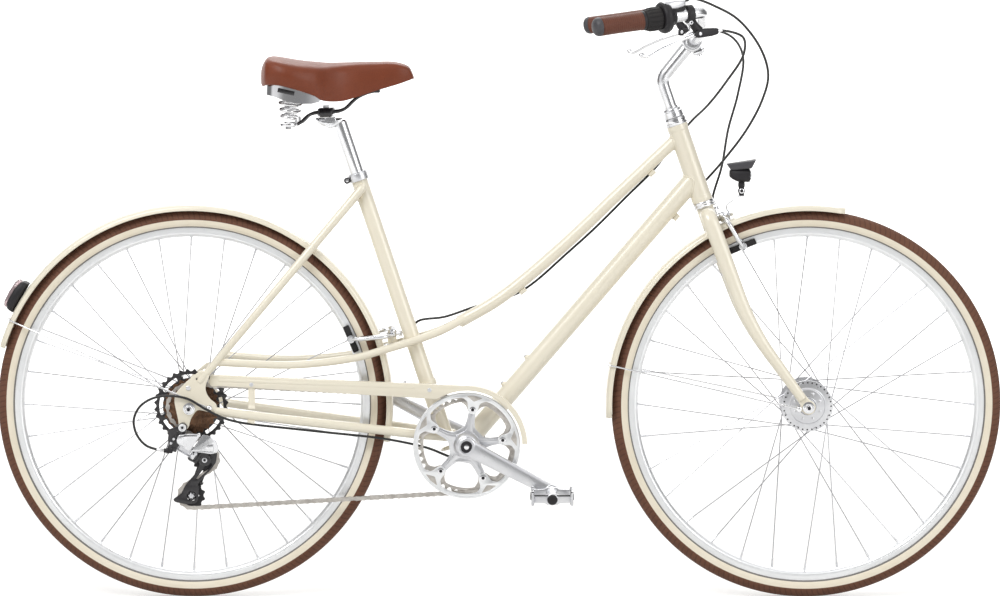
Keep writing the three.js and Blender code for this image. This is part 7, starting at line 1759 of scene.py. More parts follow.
# A rolled channel with beaded edges and rounded ends
def channel(axle, span, s):
    edge, outer, half, shoulder, thick = s["edge"], s["outer"], s["half"], s["shoulder"], s["thick"]
    skin = [(p.x, p.y) for p in bentPath([at(edge, -half, 0), at(mix(edge, outer, 0.62), -half + 1.2, 0),
        at(outer, -shoulder, 0), at(outer, shoulder, 0), at(mix(edge, outer, 0.62), half - 1.2, 0),
        at(edge, half, 0)], 7, 4)]
    under = [(r - thick * (0.95 if abs(y) < shoulder + 3 else 0.2),
              y * (1 - thick * (0.55 if abs(y) < shoulder else 0.92) / half)) for r, y in skin]
    section = skin + under[::-1]
    rings, steps = [], 96
    for i in range(steps + 1):
        angle = radians(mix(span[0], span[1], i / steps))
        fromEnd = min(i, steps - i) / steps * radians(abs(span[1] - span[0])) * outer
        narrow = 1 - 0.3 * max(0, 1 - fromEnd / 14) ** 2
        rings.append([axle + polar(r, angle, y * narrow) for r, y in section])
    rolled = []
    for side in (1, -1):
        line = []
        for i in range(steps + 1):
            angle = radians(mix(span[0] + 1.2, span[1] - 1.2, i / steps))
            line.append(axle + polar(edge + 0.6, angle, side * (half - 0.9)))
        rolled.append(sweep(line, s["roll"], 8, edge=0.4))
    return [loft(rings), *rolled]


# A wire from one axle end over the mudguard to the other, with a flattened eye at each end
def stayWire(axle, degrees, eye, eyeY, s):
    along = polar(1, radians(degrees))
    sideLines, eyes = [], []
    for side in (-1, 1):
        foot = axle + at(eye[0], side * eyeY, eye[1])
        rim = axle + along * s["outer"] + lateral * side * eyeY
        corners = [foot, foot.lerp(rim, 0.2), axle + along * 343.5 + lateral * side * s["stayY"],
                   axle + along * 361.9 + lateral * side * s["stayY"]]
        sideLines.append(corners)
        eyes.append(hoop(square(2.7, 5.0, -1.5, 1.5), 0.4, foot, lateral, 24))
        eyes += hexNut(foot + lateral * side * 1.5, lateral * side, 4.6, 3.4)
        eyes.append(roundRod(foot - lateral * side * 7.5, foot + lateral * side * 5.4, 2.5, 0.4, 14))
    line = bentPath(sideLines[0] + sideLines[1][::-1], 4, 5)
    return [sweep(line, s["stayWire"], 10, edge=0.3), *eyes]


def makeMudguards(s):
    makePiece("frontMudguard", [(channel(frontAxle, s["front"], s), creamPaint)], "steering",
              ["front_mudguard"], sharp=50)
    makePiece("rearMudguard", [(channel(rearAxle, s["rear"], s), creamPaint)], "frame",
              ["rear_mudguard"], sharp=50)
    frontBox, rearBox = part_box("front_mudguard_stay"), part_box("rear_mudguard_stay")
    frontEyeY, rearEyeY = (frontBox[1][1] - 0.0016) / toMetres, (rearBox[1][1] - 0.0016) / toMetres
    front = stayWire(frontAxle, s["frontStay"], (-17.0, -2.0), frontEyeY, s)
    rear = stayWire(rearAxle, s["rearStay"], (36.0, 1.5), rearEyeY, s)
    makePiece("frontMudguardStay", [(front, chromePlate)], "steering", ["front_mudguard_stay"])
    makePiece("rearMudguardStay", [(rear, chromePlate)], "frame", ["rear_mudguard_stay"])
    # small tabs that hold the mudguards to the crown and the bridge
    tabs = []
    for axle, place in ((frontAxle, steerPoint(-30)), (rearAxle, Vector(rearFrameSettings["bridgePlace"]))):
        way = (place - axle).normalized()
        tabs.append((block(axle + way * 364, way, lateral, (12, 16, 10), 1.5),
                     lathe([(0, 0), (4.5, 0), (4.5, 1.6), (2, 2.4), (0, 2.4)], 0.4, axle + way * 358.4, -way, 18)))
    makePiece("frontMudguardTab", [(list(tabs[0]), satinSilver)], "steering")
    makePiece("rearMudguardTab", [(list(tabs[1]), satinSilver)], "frame")


makeChainGuard(guardSettings)
makeMudguards(mudguardSettings)
print("guards made")

# Lamps
lampSettings = {"centre": (432, 0, 762), "pivot": (432, 0, 732), "tailTurn": 149.37, "tailFoot": 359.15}


def roundSection(centre, right, up, halfWide, halfHigh, power, count=32):
    ring = []
    for k in range(count):
        angle = 2 * pi * k / count
        a, b = flatPolar(1, angle)
        ring.append(centre + right * halfWide * copysign(abs(a) ** (2 / power), a)
                    + up * halfHigh * copysign(abs(b) ** (2 / power), b))
    return ring


def makeHeadlamp(s):
    centre, pivot = Vector(s["centre"]), Vector(s["pivot"])
    right, up = lateral, at(0, 0, 1)
    rows = [(410.4, 7, 763, 5.4), (412, 9.5, 762.6, 7), (416, 12, 761.6, 9), (424, 15, 760, 11.2),
            (434, 16.4, 760, 11.8), (443, 17.2, 759.6, 11.9), (446.4, 17.2, 759.8, 11.4),
            (446.4, 15.2, 760.2, 9.6), (440, 14.6, 760.2, 9.2)]
    shell = loft([roundSection(at(x, 0, z), right, up, a, b, 3.2) for x, a, z, b in rows])
    visor = []
    for top, low, half in (((405, 780.4), (412.6, 769.4), 9.0), ((406.5, 780.8), (413.6, 768.6), 11.5),
            ((430, 784.4), (430, 770.2), 17.5), ((454.8, 788.2), (447.8, 772.3), 21.4),
            ((456.7, 788.5), (449, 773.4), 20.6)):
        slant = at(top[0] - low[0], 0, top[1] - low[1])
        visor.append(roundSection(at((top[0] + low[0]) / 2, 0, (top[1] + low[1]) / 2), right,
            slant.normalized(), half, slant.length / 2, 6.0, 36))
    lens = loft([roundSection(at(x, 0, 760.2), right, up, a, b, 3.2) for x, a, b in ((441, 14.4, 9.0),
        (447.4, 14.4, 9.0), (449.2, 12.4, 7.6), (450.0, 7.0, 4.2))])
    bowl = turned([(9.2, 13), (7, 8), (4, 4), (0, 2)], at(430, 0, 760.2), at(1, 0, 0), 36)
    stalk = lathe([(0, -4), (5.4, -4), (6.2, -12), (4.6, -19), (4.0, -22), (0, -22)], 1.0,
                  centre - at(0, 0, 8), at(0, 0, 1), 24)
    ear = block(pivot + at(0, 0, 7), at(0, 0, 1), lateral, (20, 7.6, 9.6), 1.5)
    eye = hoop(square(3.05, 6.2, -3.8, 3.8), 0.5, pivot, lateral, 28)
    makePiece("headlamp", [([shell, ear, eye, stalk], blackPlastic), ([loft(visor)], greyPlastic),
        ([bowl], chromePlate), ([lens], clearLens)], "lamp", ["headlamp"])
    # bracket: an eye under the brake nut and a bent strip up to the lamp
    hub = steerPoint(brakeBolt, 36.15)
    neckTop = hub + steerUp * 15.6
    shelf = pivot - at(0, 0, 9)
    disc = hoop(square(4.1, 8.6, 34.9, 37.4), 0.4, steerPoint(brakeBolt), steerOut, 32)
    strip = sweep(bentPath([hub + steerUp * 5, neckTop, shelf - at(4, 0, 0)], 7, 6), (7.0, 1.25), 12,
                  side=lateral, edge=0.4, turn=pi / 12)
    floor = block(shelf, at(1, 0, 0), lateral, (14, 13, 2.5), 0.6)
    cheeks = [plate(softLine([(-4.5, -9), (4.5, -9), (4.5, 4), (-4.5, 4)], 3.2, 4), low, low + 2.4, [], 0.5,
                    pivot) for low in (4.0, -6.4)]
    pin = [roundRod(pivot - lateral * 7.5, pivot + lateral * 7.5, 3.0, 0.4, 18)] + hexNut(pivot
        + lateral * 6.5, lateral, 4.6, 3.0)
    cap, well = socketHead(pivot - lateral * 6.5, -lateral, 4.6, 2.6)
    # painted shade: the pivot bolt's socket lining is black
    makePiece("headlampBracket", [([disc, strip, floor], satinSilver), ([*pin, cap], chromePlate),
        ([well, *cheeks], blackPlastic)], "steering", ["headlamp_bracket"])


def makeTailLamp(s):
    turn = radians(s["tailTurn"])
    out, along = polar(1, turn), at(-sin(turn), 0, cos(turn))
    foot = rearAxle + out * (s["tailFoot"] + 1.2)
    rings = [roundSection(foot + along * a + out * h, lateral, out, w, h, 3.2, 28)
             for a, w, h in ((-39, 8, 3.5), (-37.5, 14, 5.6), (-31, 18.6, 7.8), (-18, 20.4, 9.4),
                 (0, 21, 9.6), (12, 19.6, 8.6), (19, 15, 6.4), (21, 9, 3.6))]
    lens = [roundSection(foot + along * a + out * 16, lateral, out, w, h, 3.0, 28)
            for a, w, h in ((-37, 5, 2.0), (-35, 10, 5.0), (-28, 14, 7.6), (-8, 16, 8.6), (10, 14.6, 7.4),
                (17, 10, 4.6), (19, 5, 2.0))]
    seat = block(foot + out * 0.6, along, lateral, (24, 17, 5), 1.2)
    makePiece("tailLamp", [([loft(rings), seat], blackPlastic), ([loft(lens)], tailLens)], "frame",
              ["tail_lamp"])


makeHeadlamp(lampSettings)
makeTailLamp(lampSettings)
print("lamps made")

# Brakes: reach runs from the bolt to the pads, out runs along the bolt
brakeSettings = {"layers": (19.0, 25.3), "armThick": 2.9, "spread": 37.0, "padY": 18.5, "padLength": 50.0,
                 "front": {"root": steerPoint(brakeBolt), "reach": -steerUp, "out": steerOut,
                     "padReach": 62.0, "padOut": 22.0, "bulge": 9.0, "axle": frontAxle},
                 "rear": {"root": Vector(rearFrameSettings["bridgePlace"]), "reach": at(-1, 0, 0),
                     "out": at(0, 0, 1), "padReach": 73.0, "padOut": -6.0, "bulge": 0.0, "axle": rearAxle}}


def brakePoint(brake, reach, out, side):
    return brake["root"] + brake["reach"] * reach + brake["out"] * out + lateral * side


def makeBrakeArm(name, node, brake, side, body, s):
    layer = s["layers"][1 if side > 0 else 0]
    padPlace = 19 + brake["padOut"]
    reach = brake["padReach"]
    bulge = brake["bulge"]
    corners = [brakePoint(brake, 0, layer, 0), brakePoint(brake, 0.12 * reach, layer + bulge,
        side * s["spread"]), brakePoint(brake, 0.75 * reach, mix(layer, padPlace, 0.6) + bulge * 0.5,
        side * s["spread"]), brakePoint(brake, reach, padPlace, side * 23.9)]
    line = bentPath(corners, 13, 8)
    metal = [sweep(line, sizesAlong([(0, s["armThick"], 6.8), (0.25, s["armThick"], 6.6), (0.4, 4.6, 6.4),
        (0.8, 4.8, 5.6), (1, 2.8, 6.0)]), 20, side=brake["out"], edge=1.2)]
    metal.append(hoop(square(4.1, 8.0, layer - 3, layer + 3), 0.8, brake["root"], brake["out"], 36))
    pad = brakePoint(brake, reach, padPlace, side * s["padY"])
    spokeWay = pad - brake["axle"]
    spokeWay.y = 0
    tangent = at(-spokeWay.z, 0, spokeWay.x).normalized()
    shoe = [block(pad - lateral * side * 0.8, tangent, lateral, (s["padLength"], 7.2, 10.6), 1.6, 3)]
    for k in (-2, -1, 1, 2):
        shoe.append(block(pad - lateral * side * 2.2 + tangent * k * 8.6, tangent, lateral, (6.4, 4.2, 11.0), 0.6))
    shoe.append(block(pad + lateral * side * 3.0, tangent, lateral, (s["padLength"] * 0.86, 3.4, 10.0), 1.2, 2))
    holder = []
    stud = brakePoint(brake, reach, padPlace, side * 29.6)
    holder += hexNut(stud - lateral * side * 2.0, lateral * side, 5.0, 4.4)
    holder.append(lathe(square(2.5, 7.0, 0, 1.6), 0.3, stud - lateral * side * 4.2, lateral * side, 24))
    # painted shade: a thin black sheet on the arm's end stands for the slot the pad's stud runs in
    armSlotShade = [block(brakePoint(brake, reach * 0.985, padPlace, side * 26.5), lateral, brake["reach"],
                  (1.0, 15, 4.6), 0.4)]
    if side < 0:
        end = brakePoint(brake, -15, 19, 32)
        start = brakePoint(brake, 0, 19, 0)
        metal.append(straightBar(start, end, lambda k: (s["armThick"], mix(4.6, 2.4, k)), 18,
            side=brake["out"], edge=1.0))
        metal.append(hoop([(3.8, -2.0), (5.4, -2.0), (5.4, 4.5), (2.0, 4.5), (2.0, 2.5), (3.8, 2.5)], 0.3,
                          end, brake["reach"], 20))
        metal.append(lathe([(0, 4), (3.4, 4), (3.4, 9.5), (0, 10)], 0.4, end, brake["reach"], 10))
    else:
        grip = brakePoint(brake, 4, layer + 1, 33)
        metal.append(lathe([(0, 0), (4.6, 0), (4.6, 3.4), (2.6, 4.0), (0, 4.0)], 0.4, grip, brake["out"], 6))
        coil = [brakePoint(brake, 3 + 7.0 * cos(t * 0.5), layer - 3.5 - 0.12 * t, 7.0 * sin(t * 0.5))
                for t in range(0, 16)]
        metal.append(sweep(coil, 0.9, 8, edge=0))
    makePiece(name, [(metal, polishedSilver), (holder, satinSilver), (shoe, blackRubber),
                     (armSlotShade, blackPlastic)], body, [node])


for end in ("front", "rear"):
    for sideName, side in (("Left", 1), ("Right", -1)):
        makeBrakeArm(end + "BrakeArm" + sideName, end + "_brake_arm_" + sideName.lower(), brakeSettings[end],
                     side, end + "_" + sideName.lower() + "_arm", brakeSettings)
rearBoltShapes = [roundRod(at(-192, 0, 465), at(-192, 0, 490.8), 4.0, 0.6, 18)] + hexNut(at(-192, 0, 483.6),
    at(0, 0, 1), 6.5, 6.0)
makePiece("rearBrakeBolt", [(rearBoltShapes, polishedSilver)], "frame")
# Bare inner wires from each cable's end across to the far arm
for name, brake, body in (("frontBrakeWire", brakeSettings["front"], "steering"),
        ("rearBrakeWire", brakeSettings["rear"], "frame")):
    wire = sweep([brakePoint(brake, -12, 19, 32), brakePoint(brake, 4, 22, 32.6),
                  brakePoint(brake, 9, 25, 33)], 0.75, 8, edge=0)
    makePiece(name, [([wire], spokeSteel)], body)
print("brakes made")

# Stem, handlebar, grips, shifter and levers
cockpitSettings = {"clamp": (342, 0, 998), "barRadius": 11.1, "barSweep": 182.0, "barHalf": 310.0,
    "barRise": 48.0, "gripLength": {1: 130.0, -1: 94.0}, "leverStation": 180.3, "pivotForward": 18.0,
    "pivotDrop": 36.0, "leverLength": 108.0, "leverDrop": 26.0}


def barPlace(side, sweepShare, spread, rise, s=cockpitSettings):
    return at(s["clamp"][0] + sweepShare * s["barSweep"], side * spread * s["barHalf"],
              s["clamp"][2] + rise * s["barRise"])


def barEnd(side):
    return barPlace(side, -1, 1, 0.54)


def barBend(side):
    return barPlace(side, 0.02, 0.735, 1.08)


def barWay(side):
    return (barBend(side) - barEnd(side)).normalized()


def gripPoint(side, inward):
    return barEnd(side) + barWay(side) * inward


def makeStem(s):
    clamp = Vector(s["clamp"])
    knee = steerPoint(230)
    line = bentPath([steerPoint(79.6), knee, clamp], 15, 12)
    neck = sweep(line, sizesAlong([(0, 11.1, 11.1), (0.6, 11.1, 11.1), (0.72, 12.4, 12.0), (0.86, 12.6, 11.6),
        (1, 13.6, 12.6)]), 36, side=lateral, edge=0.8)
    band = hoop([(12.8, -20), (16.6, -20), (18, -17.5), (18, 17.5), (16.6, 20), (12.8, 20)], 1.2, clamp, lateral, 56)
    under = clamp + at(10.8, 0, -17.1)
    ears = block(under, at(1, 0, 0.4), lateral, (19.8, 20, 12.6), 3.0, 3)
    # painted shade: a thin black block fills the slit between the clamp's ears
    gap = block(under + at(1.5, 0, 0.5), at(1, 0, 0.4), lateral, (20.2, 20.4, 1.3), 0.2)
    cap, well = socketHead(under - at(-0.4, 0, 1.0) * 6.2, at(0.37, 0, -0.93), 5.0, 3.2)
    nut = hexNut(under + at(-2.5, 0, 6.2), at(-0.37, 0, 0.93), 5.2, 3.0)
    topBolt, topSocketShade = socketHead(knee + steerUp * 8.2 - steerOut * 1.5, steerUp, 5.4, 3.0)
    rings = [hoop(square(11.0, 12.6, 175, 178), 0.4, headBottom, steerUp, 40)]
    # painted shade: both bolts' socket linings are black
    makePiece("stem", [([neck, band, ears, *rings], polishedSilver), ([cap, topBolt, *nut], chromePlate),
        ([gap, well, topSocketShade], blackPlastic)], "steering", ["stem"])


def barCorners(side):
    return [gripPoint(side, 5), barBend(side), barPlace(side, 0.07, 0.34, 0.42), barPlace(side, 0, 0.08, 0)]


def makeHandlebar(s):
    clamp = Vector(s["clamp"])
    bar = sweep(bentPath(barCorners(-1) + barCorners(1)[::-1], 17, 8), s["barRadius"], 32, edge=0.6)
    bulge = lathe([(11.0, -47), (11.2, -46), (12.7, -30), (12.7, 30), (11.2, 46), (11.0, 47)], 3, clamp, lateral, 40)
    knurls = [turned([(12.7, side * 20.4), (13.0, side * 20.8), (13.0, side * 22.8), (12.7, side * 23.2)],
                     clamp, lateral, 40) for side in (1, -1)]
    makePiece("handlebar", [([bar, bulge, *knurls], polishedSilver)], "steering", ["handlebar"])


def makeGrip(name, node, side, s):
    length = s["gripLength"][side]
    start, way = gripPoint(side, 0), barWay(side)
    end = turned([(0.01, 0), (7.5, 0), (11.5, 0.9), (14.0, 3.0), (15.6, 6.2), (16.2, 9.5), (16.2, 10.5),
                  (15.3, 11.4), (15.0, 12.6), (0.01, 12.6)], start, way, 40)
    profile = [(15.0, 11.6), (15.6, 12.0), (15.7, 12.6)]
    along = 13.0
    while along < length - 9:
        swell = 15.5 + 0.5 * abs(2 * (along / length) - 1) ** 2
        profile += [(swell - 0.12, along), (swell + 0.15, along + 0.7), (swell + 0.15, along + 2.2),
                    (swell - 0.12, along + 2.9)]
        along += 3.6
    profile += [(15.6, length - 7.0), (16.4, length - 6.4)]
    body = turned(profile + [(16.4, length - 5.2), (15.0, length - 5.0), (0.01, length - 5.0)], start, way, 40)
    ring = lathe(square(11.4, 16.5, length - 5.2, length), 0.7, start, way, 40)
    plug = lathe(square(0.01, 6.4, -0.3, 0.5), 0.3, start, way, 28)
    makePiece(name, [([body], brownRubber), ([end, plug], greyPlastic), ([ring], blackPlastic)], "steering",
              [node])


def makeShifter():
    start, way = gripPoint(-1, 0), barWay(-1)
    up = (at(0, 0, 1) - way * way.z).normalized()
    side = way.cross(up)
    # ribbed twist sleeve
    points, count = [], 96
    rows = [(12.0, 94.4, 0), (16.6, 94.4, 0), (17.6, 95.4, 0), (17.8, 98, 0.6), (19.6, 103, 1.3),
            (19.8, 112, 1.4), (19.6, 120, 1.2), (19.2, 122.5, 0), (18.6, 124.2, 0), (12.0, 124.2, 0)]
    for r, along, rib in rows:
        for j in range(count):
            angle = 2 * pi * j / count
            radius = r + (rib * 0.5 if (j // 3) % 2 == 0 else -rib * 0.5)
            points.append(start + way * along + (up * cos(angle) + side * sin(angle)) * radius)
    sleeve = (points, gridFaces(len(rows), count, True, False))
    makePiece("shifterSleeve", [([sleeve], blackRubber)], "shifter", ["shifter_sleeve"], sharp=25)
    flange = lathe([(11.4, 124.7), (22.95, 124.7), (25.4, 126), (27, 130), (26.6, 136), (24.6, 140),
                    (20, 143), (16.2, 146.6), (11.4, 146.6)], 1.5, start, way, 56)
    line = turned([(27.1, 130.5), (27.3, 131.2), (27.1, 132)], start, way, 56)
    centre = gripPoint(-1, 147.6) + at(0, 0, 19.9)
    wide = at(0, 0, 1).cross(way).normalized()
    housing = [roundSection(centre + way * a, wide, at(0, 0, 1), w, h, 3.2, 32)
               for a, w, h in ((-22.6, 9, 5.0), (-21.5, 12.5, 7.2), (-17, 14.8, 8.5), (0, 15, 8.5),
                   (14, 14.0, 7.6), (20.5, 11.5, 6.0), (22.6, 7.5, 4.0))]
    lower = block(centre - at(0, 0, 9.6), way, wide, (40, 22, 5.4), 1.6)
    window = [roundSection(centre + way * a + at(0, 0, 7.0), wide, at(0, 0, 1), w, 2.4, 3.2, 24)
              for a, w in ((-12, 4), (-11, 7), (0, 9.2), (9, 7), (10, 4))]
    barrelStart = gripPoint(-1, 168.3) + at(0, 0, 25)
    barrel = lathe([(0, -3), (4.5, -3), (4.5, 4.4), (3.8, 5.2), (3.8, 9.9), (0, 9.9)], 0.4, barrelStart, way, 20)
    knurl = lathe(square(0, 5.0, 0, 4), 0.4, barrelStart, way, 10)
    endCap = lathe([(11.4, 146), (16.2, 146), (15.4, 151), (11.4, 152)], 0.8, start, way, 40)
    makePiece("shifterBody", [([flange, line, lower, endCap], blackPlastic), ([loft(housing)], satinSilver),
        ([loft(window), barrel, knurl], greyPlastic)], "steering", ["shifter_body"])


def makeLever(sideName, side, s):
    way = barWay(side)
    inner = gripPoint(side, s["leverStation"])
    pivot = gripPoint(side, s["leverStation"] + s["pivotForward"]) - at(0, 0, s["pivotDrop"])
    across = way.cross(at(0, 0, 1)).normalized()
    # clamp band, neck and a slotted body of two cheeks
    band = hoop(square(11.3, 15.5, -6, 6), 1.0, inner, way, 44)
    bossPlace = inner - at(0, 0, 14.5)
    cap, well = socketHead(bossPlace + across * 7.5, across, 3.6, 2.6)
    neckRun = pivot - inner
    neck = sweep([inner + neckRun * 0.32, inner + neckRun * 0.6, inner + neckRun * 0.9 + way * 4],
                 tapering((6.4, 6.4), (6.0, 9.0)), 20, side=across, edge=1)
    cheeks = []
    for end in (-1, 1):
        row = [(-7.5, 5.0), (-3, 6.6), (6, 7.0), (22, 7.0), (31, 6.0), (35, 4.6)]
        rings = [roundSection(pivot + way * a + across * end * 6.6, across, at(0, 0, 1), 2.3, h, 3.0, 20)
                 for a, h in row]
        cheeks.append(loft(rings))
    core = loft([roundSection(pivot + way * a, across, at(0, 0, 1), w, h, 3.0, 24)
                 for a, w, h in ((9.5, 6.6, 6.8), (22, 7.8, 7.0), (31, 7.0, 6.0), (35, 5.2, 4.6))])
    pin = roundRod(pivot - across * 9.3, pivot + across * 9.3, 3.0, 0.5, 18)
    # painted shade: a black disc on the pin's end stands for a hole in it, and the clamp bolt's socket lining is
    # black
    pinHoleShade = lathe(square(0, 1.7, 0, 0.3), 0.1, pivot - across * 9.2, -across, 14)
    outlet = leftOutlet if side > 0 else rightOutlet
    barrel = lathe([(0, -14), (4.6, -14), (4.6, -6), (3.9, -5), (3.9, 0.4), (0, 0.4)], 0.4, outlet, way, 20)
    knurl = lathe(square(0, 5.3, -12, -6.5), 0.4, outlet, way, 12)
    makePiece("leverBody" + sideName, [([neck, *cheeks, core, band], blackPlastic),
        ([pin, cap, barrel, knurl], satinSilver), ([well, pinHoleShade], blackPlastic)], "steering",
              ["lever_body_" + sideName.lower()])
    # lever blade, curling down to a ball tip
    out = -way
    length, drop = s["leverLength"], s["leverDrop"]
    line = smoothPath([pivot, pivot + out * 0.3 * length - at(0, 0, 0.22 * drop), pivot + out * 0.68 * length
        - at(0, 0, 0.64 * drop), pivot + out * 0.93 * length - at(0, 0, drop), pivot + out * length
        - at(0, 0, 0.86 * drop)], 8)
    rows = [(0, 3.2, 4.2), (0.12, 3.6, 3.6), (0.3, 5.4, 2.8), (0.5, 6.2, 2.6), (0.85, 6.0, 2.6), (1, 4.6, 3.0)]
    blade = sweep(line, sizesAlong(rows), 24, side=across, edge=1.2)
    eye = hoop(square(3.05, 6.0, -3.2, 3.2), 0.5, pivot, across, 30)
    ball = turned([(0.1, -5), (2.6, -4.3), (4.3, -2.5), (5, 0), (4.3, 2.5), (2.6, 4.3), (0.1, 5)],
                  line[-1] + at(0, 0, 0.2), across, 24)
    makePiece("brakeLever" + sideName, [([blade, eye, ball], polishedSilver)], sideName.lower() + "_lever",
              ["brake_lever_" + sideName.lower()])


makeStem(cockpitSettings)
makeHandlebar(cockpitSettings)
makeGrip("gripLeft", "grip_left", 1, cockpitSettings)
makeGrip("gripRight", "grip_right", -1, cockpitSettings)
makeShifter()
makeLever("Left", 1, cockpitSettings)
makeLever("Right", -1, cockpitSettings)
print("cockpit made")

# Seat post, clamp and saddle
saddleSettings = {"noseX": -151.8, "length": 269.0, "halfWidth": 107.0, "base": 914.0, "height": 54.0,
                  "panTop": 913.7, "panLow": 910.7, "springX": -372.0, "springY": 50.0, "springFoot": 854.0,
                  "springTop": 903.0, "springLow": 13.0, "springHigh": 17.0, "wire": 2.4, "turns": 3,
                  "railRadius": 2.9, "clamp": (-308, 0, 871), "postRadius": 12.7}


def makeSeatPost(s):
    top = at(-284.81, 0, 856.58)
    foot = seatPoint(387)
    length = (top - foot).length
    post = lathe([(0, 0), (s["postRadius"], 0), (s["postRadius"], length - 3), (11.2, length), (0, length)],
                 0.6, foot, seatUp, 44)
    head = loft([roundSection(at(x, 0, z), lateral, at(0, 0, 1), w, h, 2.8, 32)
                 for x, w, h, z in ((-326.5, 10, 2.0, 860.2), (-323, 14, 4.6, 857.6),
                     (-315, 16.4, 7.4, 854.8), (-304, 16.8, 9.0, 853.2), (-294, 16.4, 8.6, 853.6),
                     (-286, 15, 6.6, 855.6), (-279.5, 11, 3.4, 858.6))])
    moon = lathe([(0, -16.4), (10.5, -16.4), (11.6, -14.5), (11.6, 14.5), (10.5, 16.4), (0, 16.4)], 1.0,
                 at(-300.6, 0, 855.4), lateral, 40)
    bolt, well = socketHead(at(-306.5, 0, 851.5), at(-0.25, 0, -0.97), 5.0, 4.0)
    # painted shade: the clamp bolt's socket lining is black
    makePiece("seatPost", [([post, head, moon], polishedSilver), ([bolt], chromePlate),
        ([well], blackPlastic)], "saddle", ["seat_post"])
    ring = hoop(square(14.4, 17.5, 483, 497), 1.0, seatFoot, seatUp, 52)
    lip = hoop(square(13.0, 16.4, 496.6, 498.0), 0.4, seatFoot, seatUp, 52)
    backWay = at(-0.949, 0, -0.316)
    ear = seatPoint(490) + backWay * 20.5
    ears = [block(ear + lateral * side * 4.2, backWay, lateral, (9.5, 5.4, 10.4), 1.8, 3) for side in (1, -1)]
    boltRod = roundRod(ear - lateral * 11.0, ear + lateral * 11.0, 3.0, 0.4, 18)
    cap, _ = socketHead(ear - lateral * 7.2, -lateral, 4.2, 4.6)
    # painted shade: a black sleeve round the bolt's head stands for the recess it sits in
    capRecessShade = hoop(square(3.6, 5.6, 7.2, 11.2), 0.5, ear, -lateral, 24)
    nut = hexNut(ear + lateral * 7.2, lateral, 4.6, 4.0)
    makePiece("seatClamp", [([ring, lip, *ears], satinSilver), ([boltRod, cap, *nut], chromePlate),
        ([capRecessShade], blackPlastic)], "frame", ["seat_clamp"])


# Each row: place along the saddle, half width, top and lower edge
saddleRows = [(0.0, 0.08, 0.36, 0.33), (0.012, 0.14, 0.53, 0.32), (0.042, 0.2, 0.76, 0.26),
              (0.103, 0.26, 0.86, 0.152), (0.157, 0.28, 0.894, 0.07), (0.256, 0.31, 0.888, -0.076),
              (0.37, 0.36, 0.88, -0.266), (0.47, 0.45, 0.865, -0.4), (0.56, 0.62, 0.858, -0.4),
              (0.607, 0.75, 0.87, -0.34), (0.638, 0.82, 0.885, -0.217), (0.714, 0.93, 0.913, -0.076),
              (0.8, 1.0, 0.97, 0.05), (0.867, 0.99, 1.027, 0.133), (0.943, 0.88, 1.07, 0.15),
              (0.98, 0.7, 0.91, 0.1), (1.0, 0.5, 0.64, 0.2)]


def makeSaddleCover(s):
    curve = smoothPath([at(place, width, top) for place, width, top, _ in saddleRows], 5)
    lows = smoothPath([at(place, low, 0) for place, _, _, low in saddleRows], 5)
    outer = [(0, 1), (0.14, 1.0), (0.3, 0.995), (0.44, 0.985), (0.56, 0.97), (0.67, 0.95), (0.77, 0.92),
             (0.86, 0.875), (0.925, 0.8), (0.965, 0.7), (0.985, 0.58), (1.0, 0.45), (0.995, 0.33),
             (0.98, 0.2), (0.965, 0.09), (0.95, 0.02), (0.925, 0.0), (0.89, 0.015)]
    rings = []
    for p, q in zip(curve, lows):
        x = s["noseX"] - p.x * s["length"]
        half, top, low = p.y * s["halfWidth"], s["base"] + p.z * s["height"], s["base"] + q.y * s["height"]
        right = []
        for y, z in outer:
            crown = -1.6 * exp(-((y * half) / 9.0) ** 2) * min(1, max(0, (p.x - 0.5) * 5)) if z > 0.5 else 0
            right.append(at(x, -y * half, low + z * (top - low) + crown))
        roof = max(s["base"] + 0.3, low + 2.5)
        right += [at(x, -0.862 * half, low + 2.2), at(x, -0.85 * half, mix(low + 2, roof, 0.7)),
                  at(x, -0.82 * half, roof), at(x, -0.4 * half, roof), at(x, 0, roof)]
        left = [at(v.x, -v.y, v.z) for v in right[1:-1]][::-1]
        rings.append(right + left)
    cover = makePiece("saddleCover", [([loft(rings)], brownVinyl)], "saddle", ["saddle_cover"],
                      sharp=60)
    smooth = cover.modifiers.new("smooth", "SUBSURF")
    smooth.levels = smooth.render_levels = 1


